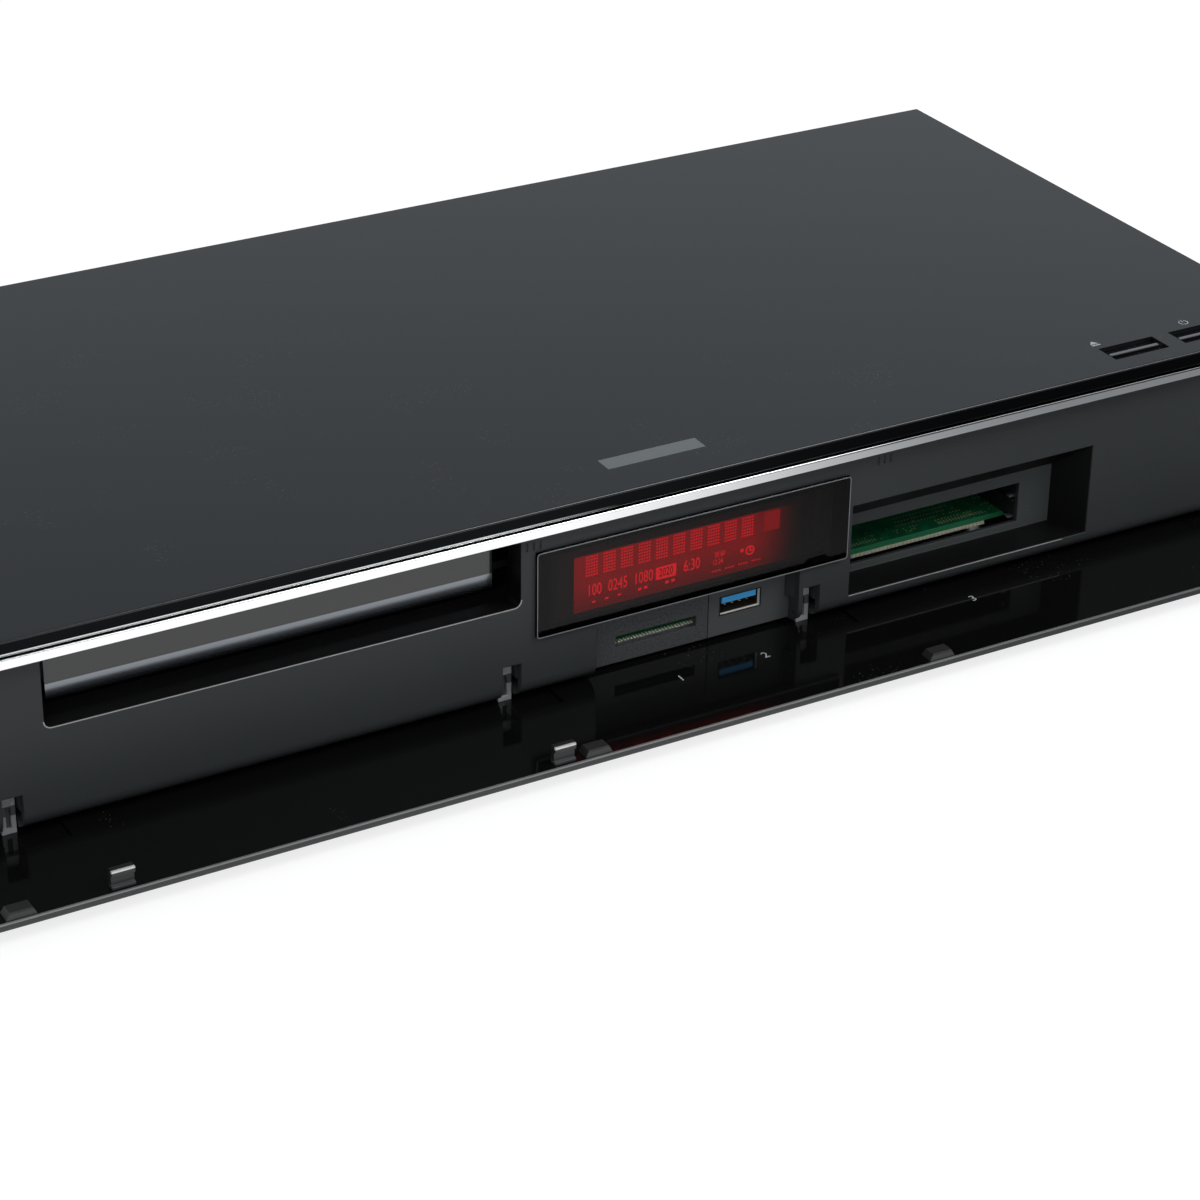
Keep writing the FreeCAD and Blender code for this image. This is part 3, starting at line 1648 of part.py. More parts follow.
def make_disc_clamp(doc, s):
    """Clamp that hangs in the lid over the turntable."""
    x, y = s.tray_middle, s.disc_y
    z = s.drive_high + s.lid_wall + s.seam
    flange = rod(doc, "clamp_flange", (x, y, z), s.clamp_radius, s.clamp_flange)
    puck = rod(
        doc, "clamp_puck", (x, y, s.drive_high - s.clamp_drop),
        s.clamp_hole - s.seam * 2, z - s.drive_high + s.clamp_drop,
    )
    return fuse(doc, "disc_clamp", [flange, puck])


def make_tray(doc, s):
    """Loading tray: a plate with disc well and window, two skirts, and a rack below."""
    x = s.tray_middle
    back = s.tray_y + s.tray_length
    body = doc.addObject("PartDesign::Body", "tray")
    plan = plan_sketch(body, "tray_outline", s.tray_low)
    draw_rectangle(plan, (x - s.tray_half, s.tray_y), (x + s.tray_half, back))
    draw_rectangle(
        plan,
        (x - s.tray_window_half, s.disc_y - s.tray_window_half),
        (x + s.tray_window_half, s.disc_y + s.tray_window_back),
    )
    pad(body, "tray_plate_pad", plan, s.tray_plate)
    skirts = front_sketch(body, "skirt_outlines", back)
    low = s.tray_top - s.tray_skirt
    draw_rectangle(skirts, (x - s.tray_half, low), (x - s.tray_half + s.skirt_wall, s.tray_low))
    draw_rectangle(skirts, (x + s.tray_half - s.skirt_wall, low), (x + s.tray_half, s.tray_low))
    pad(body, "skirts", skirts, s.tray_length)
    well = plan_sketch(body, "well_outline", s.tray_top)
    draw_circle(well, (x, s.disc_y), s.disc_well)
    carve(body, "disc_well_pocket", well, s.well_sink)
    bar = plan_sketch(body, "rack_outline", s.rack_low)
    foot = s.rack_x - s.gear_module
    draw_rectangle(bar, (foot - s.rack_width, s.tray_y), (foot, back))
    pad(body, "rack_bar", bar, s.rack_height)
    add_rack_teeth(body, s, foot, back)
    return body


def add_rack_teeth(body, s, foot, back):
    """A row of straight-sided teeth that the gear meets in the middle of a gap."""
    slack = s.gear_backlash / 2
    first = s.gear_y - s.tooth_pitch * s.rack_lead
    outline = plan_sketch(body, "rack_tooth_outline", s.rack_low)
    foot_half = s.tooth_pitch * s.rack_root_share - slack
    tip_half = s.tooth_pitch * s.rack_tip_share - slack
    tip = s.rack_x + s.gear_module * s.gear_tip
    draw_outline(
        outline,
        [
            (foot - slack, first - foot_half),
            (foot, first - foot_half),
            (tip, first - tip_half),
            (tip, first + tip_half),
            (foot, first + foot_half),
            (foot - slack, first + foot_half),
        ],
    )
    tooth = pad(body, "rack_tooth", outline, s.rack_height)
    body.Document.recompute()
    count = int((back - first).number / s.tooth_pitch.number)
    row = body.newObject("PartDesign::LinearPattern", "rack_teeth")
    row.Originals = [tooth]
    row.Direction = (origin_part(body, "Y_Axis"), [""])
    row.Occurrences = count
    bind(row, "Length", s.tooth_pitch * (count - 1))
    body.Tip = row


def make_tray_face(doc, s):
    """Face of the tray: a tall plate whose lower edge rolls back."""
    y0 = s.face + s.tray_face_back
    low, high = s.tray_face_low, s.tray_face_high
    body = doc.addObject("PartDesign::Body", "tray_face")
    side = side_sketch(body, "tray_face_side_outline", s.tray_middle)
    draw_rectangle(side, (y0, low), (s.tray_y, high))
    pad(body, "tray_face_pad", side, (s.tray_half - s.tray_face_side) * 2, "both")
    finish_edges(
        body, "tray_face_rolled", s.tray_face_roll,
        lambda p: near(p.y, y0) and near(p.z, low), "x",
    )
    return body


def make_drive_gear(doc, s):
    """Big pulley with the gear that drives the rack, drawn about its own axis."""
    body = doc.addObject("PartDesign::Body", "drive_gear")
    high = s.rack_low + s.gear_height
    foot = s.gear_radius - s.gear_module * s.gear_root
    wheel = plan_sketch(body, "pulley_outline", s.pulley_low)
    draw_circle(wheel, (0, 0), s.pulley_radius)
    pad(body, "pulley", wheel, s.pulley_height)
    core = plan_sketch(body, "core_outline", s.pulley_low)
    draw_circle(core, (0, 0), foot)
    pad(body, "gear_core", core, high - s.pulley_low)
    bore = plan_sketch(body, "gear_bore_outline", high)
    draw_circle(bore, (0, 0), s.post_radius + s.fit)
    carve(body, "gear_bore", bore, high - s.pulley_low + 1)
    slack = s.gear_backlash / 2
    outline = plan_sketch(body, "gear_tooth_outline", s.rack_low)
    halves = [
        (foot - s.gear_module / 2, s.tooth_pitch * s.root_share - slack),
        (s.gear_radius - s.gear_module * s.gear_flank, s.tooth_pitch * s.root_share - slack),
        (s.gear_radius, s.tooth_pitch * s.pitch_share - slack),
        (s.gear_radius + s.gear_module * s.gear_tip, s.tooth_pitch * s.tip_share - slack),
    ]
    upper = [(-reach, half) for reach, half in halves]
    lower = [(-reach, -half) for reach, half in reversed(halves)]
    draw_outline(outline, upper + lower)
    tooth = pad(body, "gear_tooth", outline, s.gear_height)
    body.Document.recompute()
    ring = body.newObject("PartDesign::PolarPattern", "gear_teeth")
    ring.Originals = [tooth]
    ring.Axis = (origin_part(body, "Z_Axis"), [""])
    ring.Occurrences = int(s.gear_teeth.number)
    body.Tip = ring
    move(body, (s.gear_x, s.gear_y, 0))
    return body


def make_loading_motor(doc, s):
    """Loading motor with its bare shaft."""
    place = (s.loading_x, s.loading_y, s.deck)
    can = rod(doc, "loading_can", place, s.loading_radius, s.loading_height)
    length = s.pulley_low + s.pulley_height - s.deck
    shaft = rod(doc, "loading_shaft", place, s.loading_shaft_radius, length)
    return fuse(doc, "loading_motor", [can, shaft])


def make_loading_pulley(doc, s):
    """Small pulley on the loading motor's shaft."""
    place = (s.loading_x, s.loading_y, s.pulley_low)
    wheel = rod(doc, "small_wheel", place, s.loading_pulley_radius, s.pulley_height)
    bore = rod(
        doc, "small_bore", (s.loading_x, s.loading_y, s.pulley_low - 1),
        s.loading_shaft_radius + s.fit, s.pulley_height + 2,
    )
    return cut(doc, "loading_pulley", wheel, [bore])


def make_loading_belt(doc, s):
    """Flat belt round both pulleys: straight runs that touch two rounds."""
    dx = s.loading_x - s.gear_x
    dy = s.loading_y - s.gear_y
    apart = root(dx * dx + dy * dy)
    z = s.pulley_low + (s.pulley_height - s.belt_height) / 2

    def loop(name, grow):
        big = s.pulley_radius + grow
        small = s.loading_pulley_radius + grow
        along = (big - small) / apart
        across = root(1 - along * along)
        points = []
        for sign in (1, -1):
            nx = (dx * along - dy * across * sign) / apart
            ny = (dy * along + dx * across * sign) / apart
            points.append((s.gear_x + nx * big, s.gear_y + ny * big))
            points.append((s.loading_x + nx * small, s.loading_y + ny * small))
        body = doc.addObject("PartDesign::Body", name)
        rounds = [((s.gear_x, s.gear_y), big), ((s.loading_x, s.loading_y), small)]
        for i, (centre, radius) in enumerate(rounds):
            circle = plan_sketch(body, f"{name}_round_{i}", z)
            draw_circle(circle, centre, radius)
            if i == 0:
                pad(body, f"{name}_pad_{i}", circle, s.belt_height)
        runs = plan_sketch(body, name + "_runs", z)
        draw_outline(runs, [points[0], points[1], points[3], points[2]])
        pad(body, name + "_runs_pad", runs, s.belt_height)
        pad(body, name + "_pad_1", circle, s.belt_height)
        return body

    outer = loop("belt_outside", s.fit + s.belt_wall)
    inner = loop("belt_inside", s.fit)
    return cut(doc, "loading_belt", outer, [inner])


def make_traverse_frame(doc, s):
    """Tilting plate with a sled opening, pivot pins, rail posts and two lifting pins."""
    x = s.tray_middle
    top = s.traverse_top
    front = s.traverse_y
    body = doc.addObject("PartDesign::Body", "traverse_frame")
    plan = plan_sketch(body, "traverse_outline", s.traverse_low)
    draw_rectangle(
        plan, (x - s.traverse_half, front), (x + s.traverse_half, s.traverse_end)
    )
    opening = s.sled_half + s.sled_margin
    draw_rectangle(
        plan,
        (x - opening, s.disc_y + s.sled_start - s.sled_margin),
        (x + opening, s.sled_end),
    )
    pad(body, "traverse_plate", plan, s.traverse_wall)
    for sign in (-1, 1):
        word = "left" if sign < 0 else "right"
        pin = side_sketch(body, f"{word}_pivot_outline", x + s.traverse_half * sign)
        draw_circle(pin, (s.lift_y, s.lift_z), s.lift_pin_radius)
        pad(body, f"{word}_pivot", pin, s.lift_pin_length, "against" if sign < 0 else "normal")
    posts = plan_sketch(body, "post_outlines", top)
    half = s.rail_post / 2
    first = s.rail_y
    last = first + s.rail_length - s.rail_post_wall
    for sign in (-1, 1):
        centre = x + s.rail_half * sign
        for start in (first, last):
            draw_rectangle(
                posts, (centre - half, start), (centre + half, start + s.rail_post_wall)
            )
    lead = x + s.lead_offset
    draw_rectangle(posts, (lead - half, first), (lead + half, first + s.rail_post_wall))
    pad(body, "rail_posts", posts, s.rail_high + s.rail_radius + 1 - top)
    bores = front_sketch(body, "rail_bore_outlines", first - 1)
    for sign in (-1, 1):
        draw_circle(bores, (x + s.rail_half * sign, s.rail_high), s.rail_radius)
    draw_circle(bores, (lead, s.rail_high), s.lead_radius + s.fit)
    carve(body, "rail_bores", bores, s.rail_length + 2)
    pins = front_sketch(body, "cam_pin_outlines", front + 1)
    for sign in (-1, 1):
        draw_circle(pins, (x + s.cam_pin_half * sign, s.lift_z), s.cam_pin_radius)
    pad(body, "cam_pins", pins, front + 1 - s.cam_y)
    return body


def make_spindle_motor(doc, s):
    """Flat motor on the traverse, bored for the turntable's shaft."""
    place = (s.tray_middle, s.disc_y, s.traverse_top)
    can = rod(doc, "spindle_can", place, s.spindle_motor_radius, s.spindle_motor_height)
    bore = rod(
        doc, "spindle_bore", (s.tray_middle, s.disc_y, s.traverse_top + s.seam * 2),
        s.spindle_radius + s.fit, s.spindle_motor_height,
    )
    return cut(doc, "spindle_motor", can, [bore])


def make_turntable(doc, s):
    """Turntable with its centring hub, and the shaft down into its motor."""
    x, y = s.tray_middle, s.disc_y
    low = s.traverse_top + s.seam * 4
    seat = s.turntable_seat
    shaft = rod(doc, "turntable_shaft", (x, y, low), s.spindle_radius, seat - low)
    plate = rod(
        doc, "turntable_plate", (x, y, seat - s.turntable_wall),
        s.turntable_radius, s.turntable_wall,
    )
    hub = doc.addObject("Part::Cone", "turntable_hub")
    bind(hub, "Radius1", s.hub_radius)
    bind(hub, "Radius2", s.hub_radius - s.hub_taper)
    bind(hub, "Height", s.hub_height)
    move(hub, (x, y, seat))
    return fuse(doc, "turntable", [shaft, plate, hub])


def make_pickup(doc, s):
    """Sled that carries the laser, bored for its two rails and for the lens."""
    x = s.tray_middle
    y = s.disc_y + s.sled_start
    block = box(
        doc, "sled_block", (x - s.sled_half, y, s.sled_low),
        (s.sled_half * 2, s.sled_length, s.sled_height),
    )
    tools = []
    for i, sign in enumerate((-1, 1)):
        base = (x + s.rail_half * sign, y - 1, s.rail_high)
        tools.append(
            rod(doc, f"sled_bore_{i}", base, s.rail_radius + s.fit, s.sled_length + 2, "y")
        )
    eye = (x, y + s.lens_back, s.sled_low + s.sled_height / 2)
    tools.append(rod(doc, "sled_eye", eye, s.lens_radius + s.lens_cup, s.sled_height))
    nut_low = (x + s.sled_half - 1, y + s.lens_back, s.rail_high - s.lead_radius)
    nut_high = (
        x + s.lead_offset - s.lead_radius - s.seam,
        y + s.lens_back * 2,
        s.rail_high + s.lead_radius,
    )
    nut = span(doc, "sled_follower", nut_low, nut_high)
    solid = fuse(doc, "sled_solid", [block, nut])
    return cut(doc, "pickup", solid, tools)


def make_pickup_lens(doc, s):
    """Lens in its cup, sunk in the sled."""
    y = s.disc_y + s.sled_start + s.lens_back
    z = s.sled_low + s.sled_height / 2
    cup_height = s.sled_height / 2 - s.seam
    radius = s.lens_radius + s.lens_cup
    cup = rod(doc, "lens_cup_rod", (s.tray_middle, y, z), radius, cup_height)
    lens = rod(
        doc, "lens_rod", (s.tray_middle, y, z + cup_height), s.lens_radius, s.seam * 2
    )
    return fuse(doc, "pickup_lens", [cup, lens])


def make_guide_rails(doc, s):
    """Two polished rails that the sled runs on."""
    rails = []
    for i, sign in enumerate((-1, 1)):
        base = (s.tray_middle + s.rail_half * sign, s.rail_y, s.rail_high)
        rails.append(rod(doc, f"rail_{i}", base, s.rail_radius, s.rail_length, "y"))
    return group(doc, "guide_rails", rails)


def make_lead_screw(doc, s):
    """Screw that moves the sled, held in a post and in its motor."""
    base = (s.tray_middle + s.lead_offset, s.rail_y, s.rail_high)
    length = s.sled_motor_y + s.lead_post / 2 - s.rail_y
    return rod(doc, "lead_screw", base, s.lead_radius, length, "y")


def make_sled_motor(doc, s):
    """Small motor at the end of the screw, lying on the traverse."""
    x = s.tray_middle + s.lead_offset
    radius = s.rail_high - s.traverse_top
    base = (x, s.sled_motor_y, s.rail_high)
    can = rod(doc, "sled_can", base, radius, s.sled_motor_length, "y")
    bore_base = (x, s.sled_motor_y - 1, s.rail_high)
    bore = rod(
        doc, "sled_motor_bore", bore_base, s.lead_radius + s.fit, s.lead_post / 2 + 2, "y"
    )
    return cut(doc, "sled_motor", can, [bore])


def make_cam_slider(doc, s):
    """Bar in front of the traverse; its two sloped slots lift the traverse as it slides."""
    x = s.tray_middle
    gap = s.cam_pin_radius + s.cam_slot_gap
    slope = s.cam_rise / s.cam_travel
    stretch = root(1 + slope * slope)
    body = doc.addObject("PartDesign::Body", "cam_slider")
    outline = front_sketch(body, "slider_outline", s.cam_y)
    reach = s.cam_pin_half + gap + s.cam_margin
    draw_rectangle(
        outline, (x - reach - s.cam_travel, s.cam_low), (x + reach, s.cam_high)
    )
    pad(body, "slider_bar", outline, s.cam_wall, "against")
    slots = front_sketch(body, "slider_slot_outlines", s.cam_y)
    for sign in (-1, 1):
        pin = x + s.cam_pin_half * sign
        low_z = s.lift_z - slope * gap
        high_z = s.lift_z + s.cam_rise + slope * gap
        right = pin + gap
        left = pin - s.cam_travel - gap
        rise = gap * stretch
        draw_outline(
            slots,
            [(right, low_z - rise), (right, low_z + rise), (left, high_z + rise), (left, high_z - rise)],
        )
    carve(body, "slider_slots", slots, s.cam_wall + 1)
    return body


# Works behind the front


def make_main_board(doc, s):
    """Main board with its processor and memory."""
    plate = span(
        doc, "main_plate", (s.main_left, s.main_y, s.board_high),
        (s.main_right, s.main_y + s.main_length, s.board_top),
    )
    size = (s.chip_size * 2, s.chip_size * 2, s.chip_height)
    middle = s.sink_left + s.sink_width / 2 - s.chip_size
    back = s.face + s.sink_front + s.sink_length / 2 - s.chip_size
    parts = [plate, box(doc, "main_processor", (middle, back, s.board_top), size)]
    for i in range(3):
        place = (s.main_left + s.chip_pitch * (i + 0.5), s.main_y + s.chip_size, s.board_top)
        parts.append(box(doc, f"main_chip_{i}", place, (s.chip_size, s.chip_size, s.chip_height)))
    return fuse(doc, "main_board", parts)


def make_main_heatsink(doc, s):
    """Finned heatsink on the processor."""
    y = s.face + s.sink_front
    low = s.board_top + s.chip_height
    parts = [
        box(doc, "sink_base", (s.sink_left, y, low), (s.sink_width, s.sink_length, s.fin_base))
    ]
    count = int(s.sink_width.number / s.fin_pitch.number)
    for i in range(count):
        x = s.sink_left + s.fin_pitch * (i + 0.5) - s.fin_wall / 2
        place = (x, y, low + s.fin_base)
        size = (s.fin_wall, s.sink_length, s.sink_height - s.fin_base)
        parts.append(box(doc, f"sink_fin_{i}", place, size))
    return fuse(doc, "main_heatsink", parts)


def make_hard_disk(doc, s):
    """Hard disk drive, a cast case with bevelled corners."""
    y = s.disk_y
    body = doc.addObject("PartDesign::Body", "hard_disk")
    plan = plan_sketch(body, "disk_outline", s.disk_low)
    draw_rectangle(plan, (s.disk_left, y), (s.disk_left + s.disk_width, y + s.disk_length))
    pad(body, "disk_case", plan, s.disk_height)
    finish_edges(body, "disk_corners", s.disk_bevel, lambda p: True, "z", "Chamfer")
    return body


def make_disk_bracket(doc, s):
    """Bridge of sheet steel under the hard disk, on legs to the floor and the board."""
    wall = s.bracket_wall
    y = s.disk_y
    back = y + s.disk_length
    top = s.disk_low
    left, right = s.disk_left - wall, s.disk_left + s.disk_width + wall
    body = doc.addObject("PartDesign::Body", "disk_bracket")
    plan = plan_sketch(body, "bridge_outline", top - wall)
    draw_rectangle(plan, (left, y), (right, back))
    pad(body, "bridge", plan, wall)
    tall = side_sketch(body, "left_leg_outline", left)
    draw_rectangle(tall, (y, s.floor_top), (back, top))
    pad(body, "left_leg", tall, wall)
    stepped = side_sketch(body, "right_leg_outline", right)
    rim = top - s.bracket_rim
    front_leg = y + s.bracket_front_leg
    back_leg = back - s.bracket_back_leg
    draw_outline(
        stepped,
        [
            (y, s.floor_top),
            (front_leg, s.floor_top),
            (front_leg, rim),
            (back_leg, rim),
            (back_leg, s.board_top),
            (back, s.board_top),
            (back, top),
            (y, top),
        ],
    )
    pad(body, "right_leg", stepped, wall, "against")
    return body


def make_power_board(doc, s):
    """Power supply board with its transformer and capacitors."""
    x, y, z = s.power_left, s.power_y, s.board_top
    plate = box(doc, "power_plate", (x, y, s.board_high), (s.power_width, s.power_length, s.board_wall))
    core = box(
        doc, "transformer",
        (x + s.boss_inset * 2, y + s.power_length / 2, z),
        (s.transformer_width, s.transformer_length, s.transformer_height),
    )
    parts = [plate, core]
    for i in range(3):
        base = (x + s.power_width / 2, y + s.capacitor_front + s.capacitor_pitch * i, z)
        parts.append(rod(doc, f"capacitor_{i}", base, s.capacitor_radius, s.capacitor_height))
    return fuse(doc, "power_board", parts)


def make_fan_frame(doc, s):
    """Square fan housing with a round tunnel, three struts and a bearing pin."""
    half = s.fan_size / 2
    x, z = s.fan_middle, s.fan_low + half
    y = s.rear_inner - s.fan_depth
    block = box(
        doc, "fan_block", (x - half, y, s.fan_low), (s.fan_size, s.fan_depth, s.fan_size)
    )
    tunnel = rod(doc, "fan_tunnel", (x, y - 1, z), s.fan_radius + s.fan_gap, s.fan_depth + 2, "y")
    ring = cut(doc, "fan_ring", block, [tunnel])
    strut_y = s.rear_inner - s.fan_strut
    width = s.fan_strut_width / 2
    parts = [
        ring,
        rod(doc, "fan_seat", (x, strut_y, z), s.fan_hub, s.fan_strut, "y"),
        rod(doc, "fan_pin", (x, y + s.fan_strut, z), s.spindle_radius, strut_y - y - s.fan_strut, "y"),
        span(
            doc, "fan_strut_level", (x - half, strut_y, z - width), (x + half, s.rear_inner, z + width)
        ),
        span(
            doc, "fan_strut_upright", (x - width, strut_y, z), (x + width, s.rear_inner, z + half)
        ),
    ]
    return fuse(doc, "fan_frame", parts)


def make_fan_rotor(doc, s):
    """Hub with leaning blades, drawn about its own axis."""
    length = s.fan_depth - s.fan_strut - s.seam * 2
    body = doc.addObject("PartDesign::Body", "fan_rotor")
    hub = front_sketch(body, "hub_outline", 0)
    draw_circle(hub, (0, 0), s.fan_hub)
    pad(body, "hub", hub, length, "against")
    lean = s.blade_lean
    wall = s.blade_wall
    start, end = s.seam * 2, length - s.seam * 2
    blade = plan_sketch(body, "blade_outline", s.fan_hub - 1)
    draw_outline(
        blade, [(-lean, start), (-lean + wall, start), (lean, end), (lean - wall, end)]
    )
    first = pad(body, "blade", blade, s.fan_radius - s.fan_hub)
    body.Document.recompute()
    ring = body.newObject("PartDesign::PolarPattern", "blades")
    ring.Originals = [first]
    ring.Axis = (origin_part(body, "Y_Axis"), [""])
    ring.Occurrences = int(s.fan_blades.number)
    body.Tip = ring
    bore = front_sketch(body, "fan_bore_outline", 0)
    draw_circle(bore, (0, 0), s.spindle_radius + s.fit)
    carve(body, "fan_bore", bore, length + 1)
    move(body, (s.fan_middle, s.rear_inner - s.fan_depth + s.seam, s.fan_low + s.fan_size / 2))
    return body


def make_tuner(doc, s):
    """Tuner can with its two threaded aerial sockets."""
    y = s.rear_inner - s.tuner_length
    can = box(
        doc, "tuner_can", (s.tuner_left, y, s.board_top),
        (s.tuner_width, s.tuner_length, s.tuner_height),
    )
    parts = [can]
    tools = []
    reach = s.rear_wall + s.socket_reach
    for i, (x, z) in enumerate(aerial_places(s)):
        base = (x, s.rear_inner, z)
        parts.append(rod(doc, f"aerial_{i}", base, s.aerial_radius, reach, "y"))
        bore_base = (x, s.rear_inner + s.rear_wall, z)
        tools.append(
            rod(doc, f"aerial_bore_{i}", bore_base, s.aerial_radius - s.aerial_wall, reach, "y")
        )
    solid = fuse(doc, "tuner_solid", parts)
    return cut(doc, "tuner", solid, tools)


def make_socket(doc, s, name, wall, filled):
    """Box-shaped socket at the back, hollow to the rear, with what fills it."""
    left, width, height = back_sockets(s)[name]
    y = s.rear + s.socket_proud - s.socket_length
    block = box(doc, name + "_block", (left, y, s.board_top), (width, s.socket_length, height))
    space = box(
        doc, name + "_space", (left + wall, y + s.mains_wall, s.board_top + wall),
        (width - wall * 2, s.socket_length, height - wall * 2),
    )
    shell = cut(doc, name + "_shell", block, [space])
    return fuse(doc, name + "_socket", [shell] + filled(left, y, width, height))


def make_hdmi_sockets(doc, s):
    """Two display sockets, each with a tongue."""

    def tongue(left, y, width, height):
        low = (left + width / 4, y + 1, s.board_top + height / 2 - s.shell_wall)
        high = (left + width * 0.75, s.rear, s.board_top + height / 2 + s.shell_wall)
        return [span(doc, f"tongue_{len(doc.Objects)}", low, high)]

    sockets = [make_socket(doc, s, name, s.socket_wall, tongue) for name in ("hdmi_one", "hdmi_two")]
    return group(doc, "hdmi_sockets", sockets)


def make_lan_socket(doc, s):
    """Network socket with a row of contacts in its roof."""

    def contacts(left, y, width, height):
        high = s.board_top + height - s.socket_wall
        low = (left + width / 4, y + 1, high - s.socket_wall)
        return [span(doc, "lan_contacts", low, (left + width * 0.75, s.rear - 1, high + s.fit))]

    return group(doc, "lan_socket", [make_socket(doc, s, "lan", s.socket_wall, contacts)])


def make_audio_socket(doc, s):
    """Square optical sound socket with a round bore."""
    left, width, height = back_sockets(s)["audio"]
    y = s.rear + s.socket_proud - s.socket_length
    block = box(doc, "audio_block", (left, y, s.board_top), (width, s.socket_length, height))
    base = (left + width / 2, s.rear - s.socket_length / 2, s.board_top + height / 2)
    bore = rod(doc, "audio_bore", base, s.audio_bore, s.socket_length, "y")
    return cut(doc, "audio_socket", block, [bore])


def make_mains_inlet(doc, s):
    """Inlet for the mains lead, with its two pins."""

    def pins(left, y, width, height):
        z = s.board_top + height / 2
        length = s.socket_length - s.mains_wall * 2
        first = left + (width - s.mains_pin_pitch) / 2
        return [
            rod(doc, f"mains_pin_{i}", (first + s.mains_pin_pitch * i, y + 1, z), s.mains_pin, length, "y")
            for i in range(2)
        ]

    return group(doc, "mains_inlet", [make_socket(doc, s, "mains", s.mains_wall, pins)])


MAKERS = [
    make_top_cover,
    make_silver_strip,
    make_bottom_chassis,
    make_rear_panel,
    make_feet,
    make_case_screws,
    make_front_panel,
    make_flap_door,
    make_flap_hooks,
    make_flap_bumpers,
    make_hinge_arms,
    make_hinge_pins,
    make_display_window,
    make_display_holder,
    make_display_glass,
    make_front_board,
    make_sd_bezel,
    make_usb_bezel,
    make_sd_socket,
    make_usb_shell,
    make_usb_tongue,
    make_card_cage,
    make_card_board,
    make_card_springs,
    make_eject_button,
    make_power_button,
    make_button_well,
    make_switch_board,
    make_drive_chassis,
    make_drive_lid,
    make_disc_clamp,
    make_tray,
    make_tray_face,
    make_drive_gear,
    make_loading_motor,
    make_loading_pulley,
    make_loading_belt,
    make_traverse_frame,
    make_spindle_motor,
    make_turntable,
    make_pickup,
    make_pickup_lens,
    make_guide_rails,
    make_lead_screw,
    make_sled_motor,
    make_cam_slider,
    make_main_board,
    make_main_heatsink,
    make_hard_disk,
    make_disk_bracket,
    make_power_board,
    make_fan_frame,
    make_fan_rotor,
    make_tuner,
    make_hdmi_sockets,
    make_lan_socket,
    make_audio_socket,
    make_mains_inlet,
]


def check(doc, nodes):
    """Stops with the names of the objects that failed and of the sub-parts that are not sound."""
    failed = [item.Name for item in doc.Objects if {"Invalid", "Error"} & set(item.State)]
    unsound = [
        name for name, item in nodes.items() if item.Shape.isNull() or not item.Shape.isValid()
    ]
    empty = [name for name, item in nodes.items() if item.Shape.Volume < 1]
    if failed or unsound or empty:
        raise RuntimeError(f"failed: {failed}; not sound: {unsound}; empty: {empty}")


def main():
    doc = FreeCAD.newDocument("Recorder")
    s = read_sizes(doc, make_sheet(doc))
    nodes = {}
    for maker in MAKERS:
        name = maker.__name__.removeprefix("make_")
        nodes[name] = maker(doc, s)
        nodes[name].Label = name
    doc.recompute()
    check(doc, nodes)
    os.makedirs("parts", exist_ok=True)
    for name, item in nodes.items():
        item.Shape.exportStep(f"parts/{name}.step")
        bounds = item.Shape.BoundBox
        print(
            f"{name}: {len(item.Shape.Solids)} solids, {item.Shape.Volume:.0f} mm3,"
            f" x {bounds.XMin:.1f} {bounds.XMax:.1f},"
            f" y {bounds.YMin:.1f} {bounds.YMax:.1f}, z {bounds.ZMin:.1f} {bounds.ZMax:.1f}"
        )


main()
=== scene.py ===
import json
import logging
import math
from dataclasses import dataclass
from enum import Enum
from typing import ClassVar

import bmesh
import bpy
from mathutils import Euler, Matrix, Vector


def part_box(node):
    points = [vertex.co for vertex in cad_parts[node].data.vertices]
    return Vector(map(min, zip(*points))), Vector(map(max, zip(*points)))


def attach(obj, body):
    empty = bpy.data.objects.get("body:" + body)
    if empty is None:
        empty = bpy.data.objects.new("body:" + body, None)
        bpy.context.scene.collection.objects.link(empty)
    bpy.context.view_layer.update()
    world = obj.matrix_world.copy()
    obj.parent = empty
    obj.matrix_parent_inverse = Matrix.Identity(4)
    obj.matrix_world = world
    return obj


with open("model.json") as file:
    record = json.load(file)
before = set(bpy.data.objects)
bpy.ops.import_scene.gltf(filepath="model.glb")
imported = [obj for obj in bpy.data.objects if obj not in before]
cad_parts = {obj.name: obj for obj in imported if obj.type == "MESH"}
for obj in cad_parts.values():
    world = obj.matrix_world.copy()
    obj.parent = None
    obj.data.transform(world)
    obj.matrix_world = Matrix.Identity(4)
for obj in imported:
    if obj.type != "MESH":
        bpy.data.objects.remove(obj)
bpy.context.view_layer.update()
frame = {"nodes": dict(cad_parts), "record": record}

LOG = logging.getLogger("recorder")
MM = 0.001
SHARP = 0.001  # width in millimetres over which a zone's sharp side fades
DIGIT_SHARE = 0.72  # a figure's height as a share of its type size
PRINT = 0.04  # thickness of a printed figure in millimetres
Pair = tuple[float, float]
Triple = tuple[float, float, float]
Box = tuple[float, float, float, float]
Levels = tuple[tuple[int, Triple], ...]


class Facing(Enum):
    """Which way a flat print or a raised mark looks."""

    UP = (0.0, 0.0, 0.0)
    FRONT = (math.pi / 2, 0.0, 0.0)
    BACK = (math.pi / 2, 0.0, math.pi)


class Grain(Enum):
    """The fine surface that a finish carries."""

    SMOOTH = "smooth"
    MOULDED = "moulded"
    CAST = "cast"
    BRUSHED_X = "brushed_x"
    BRUSHED_Y = "brushed_y"


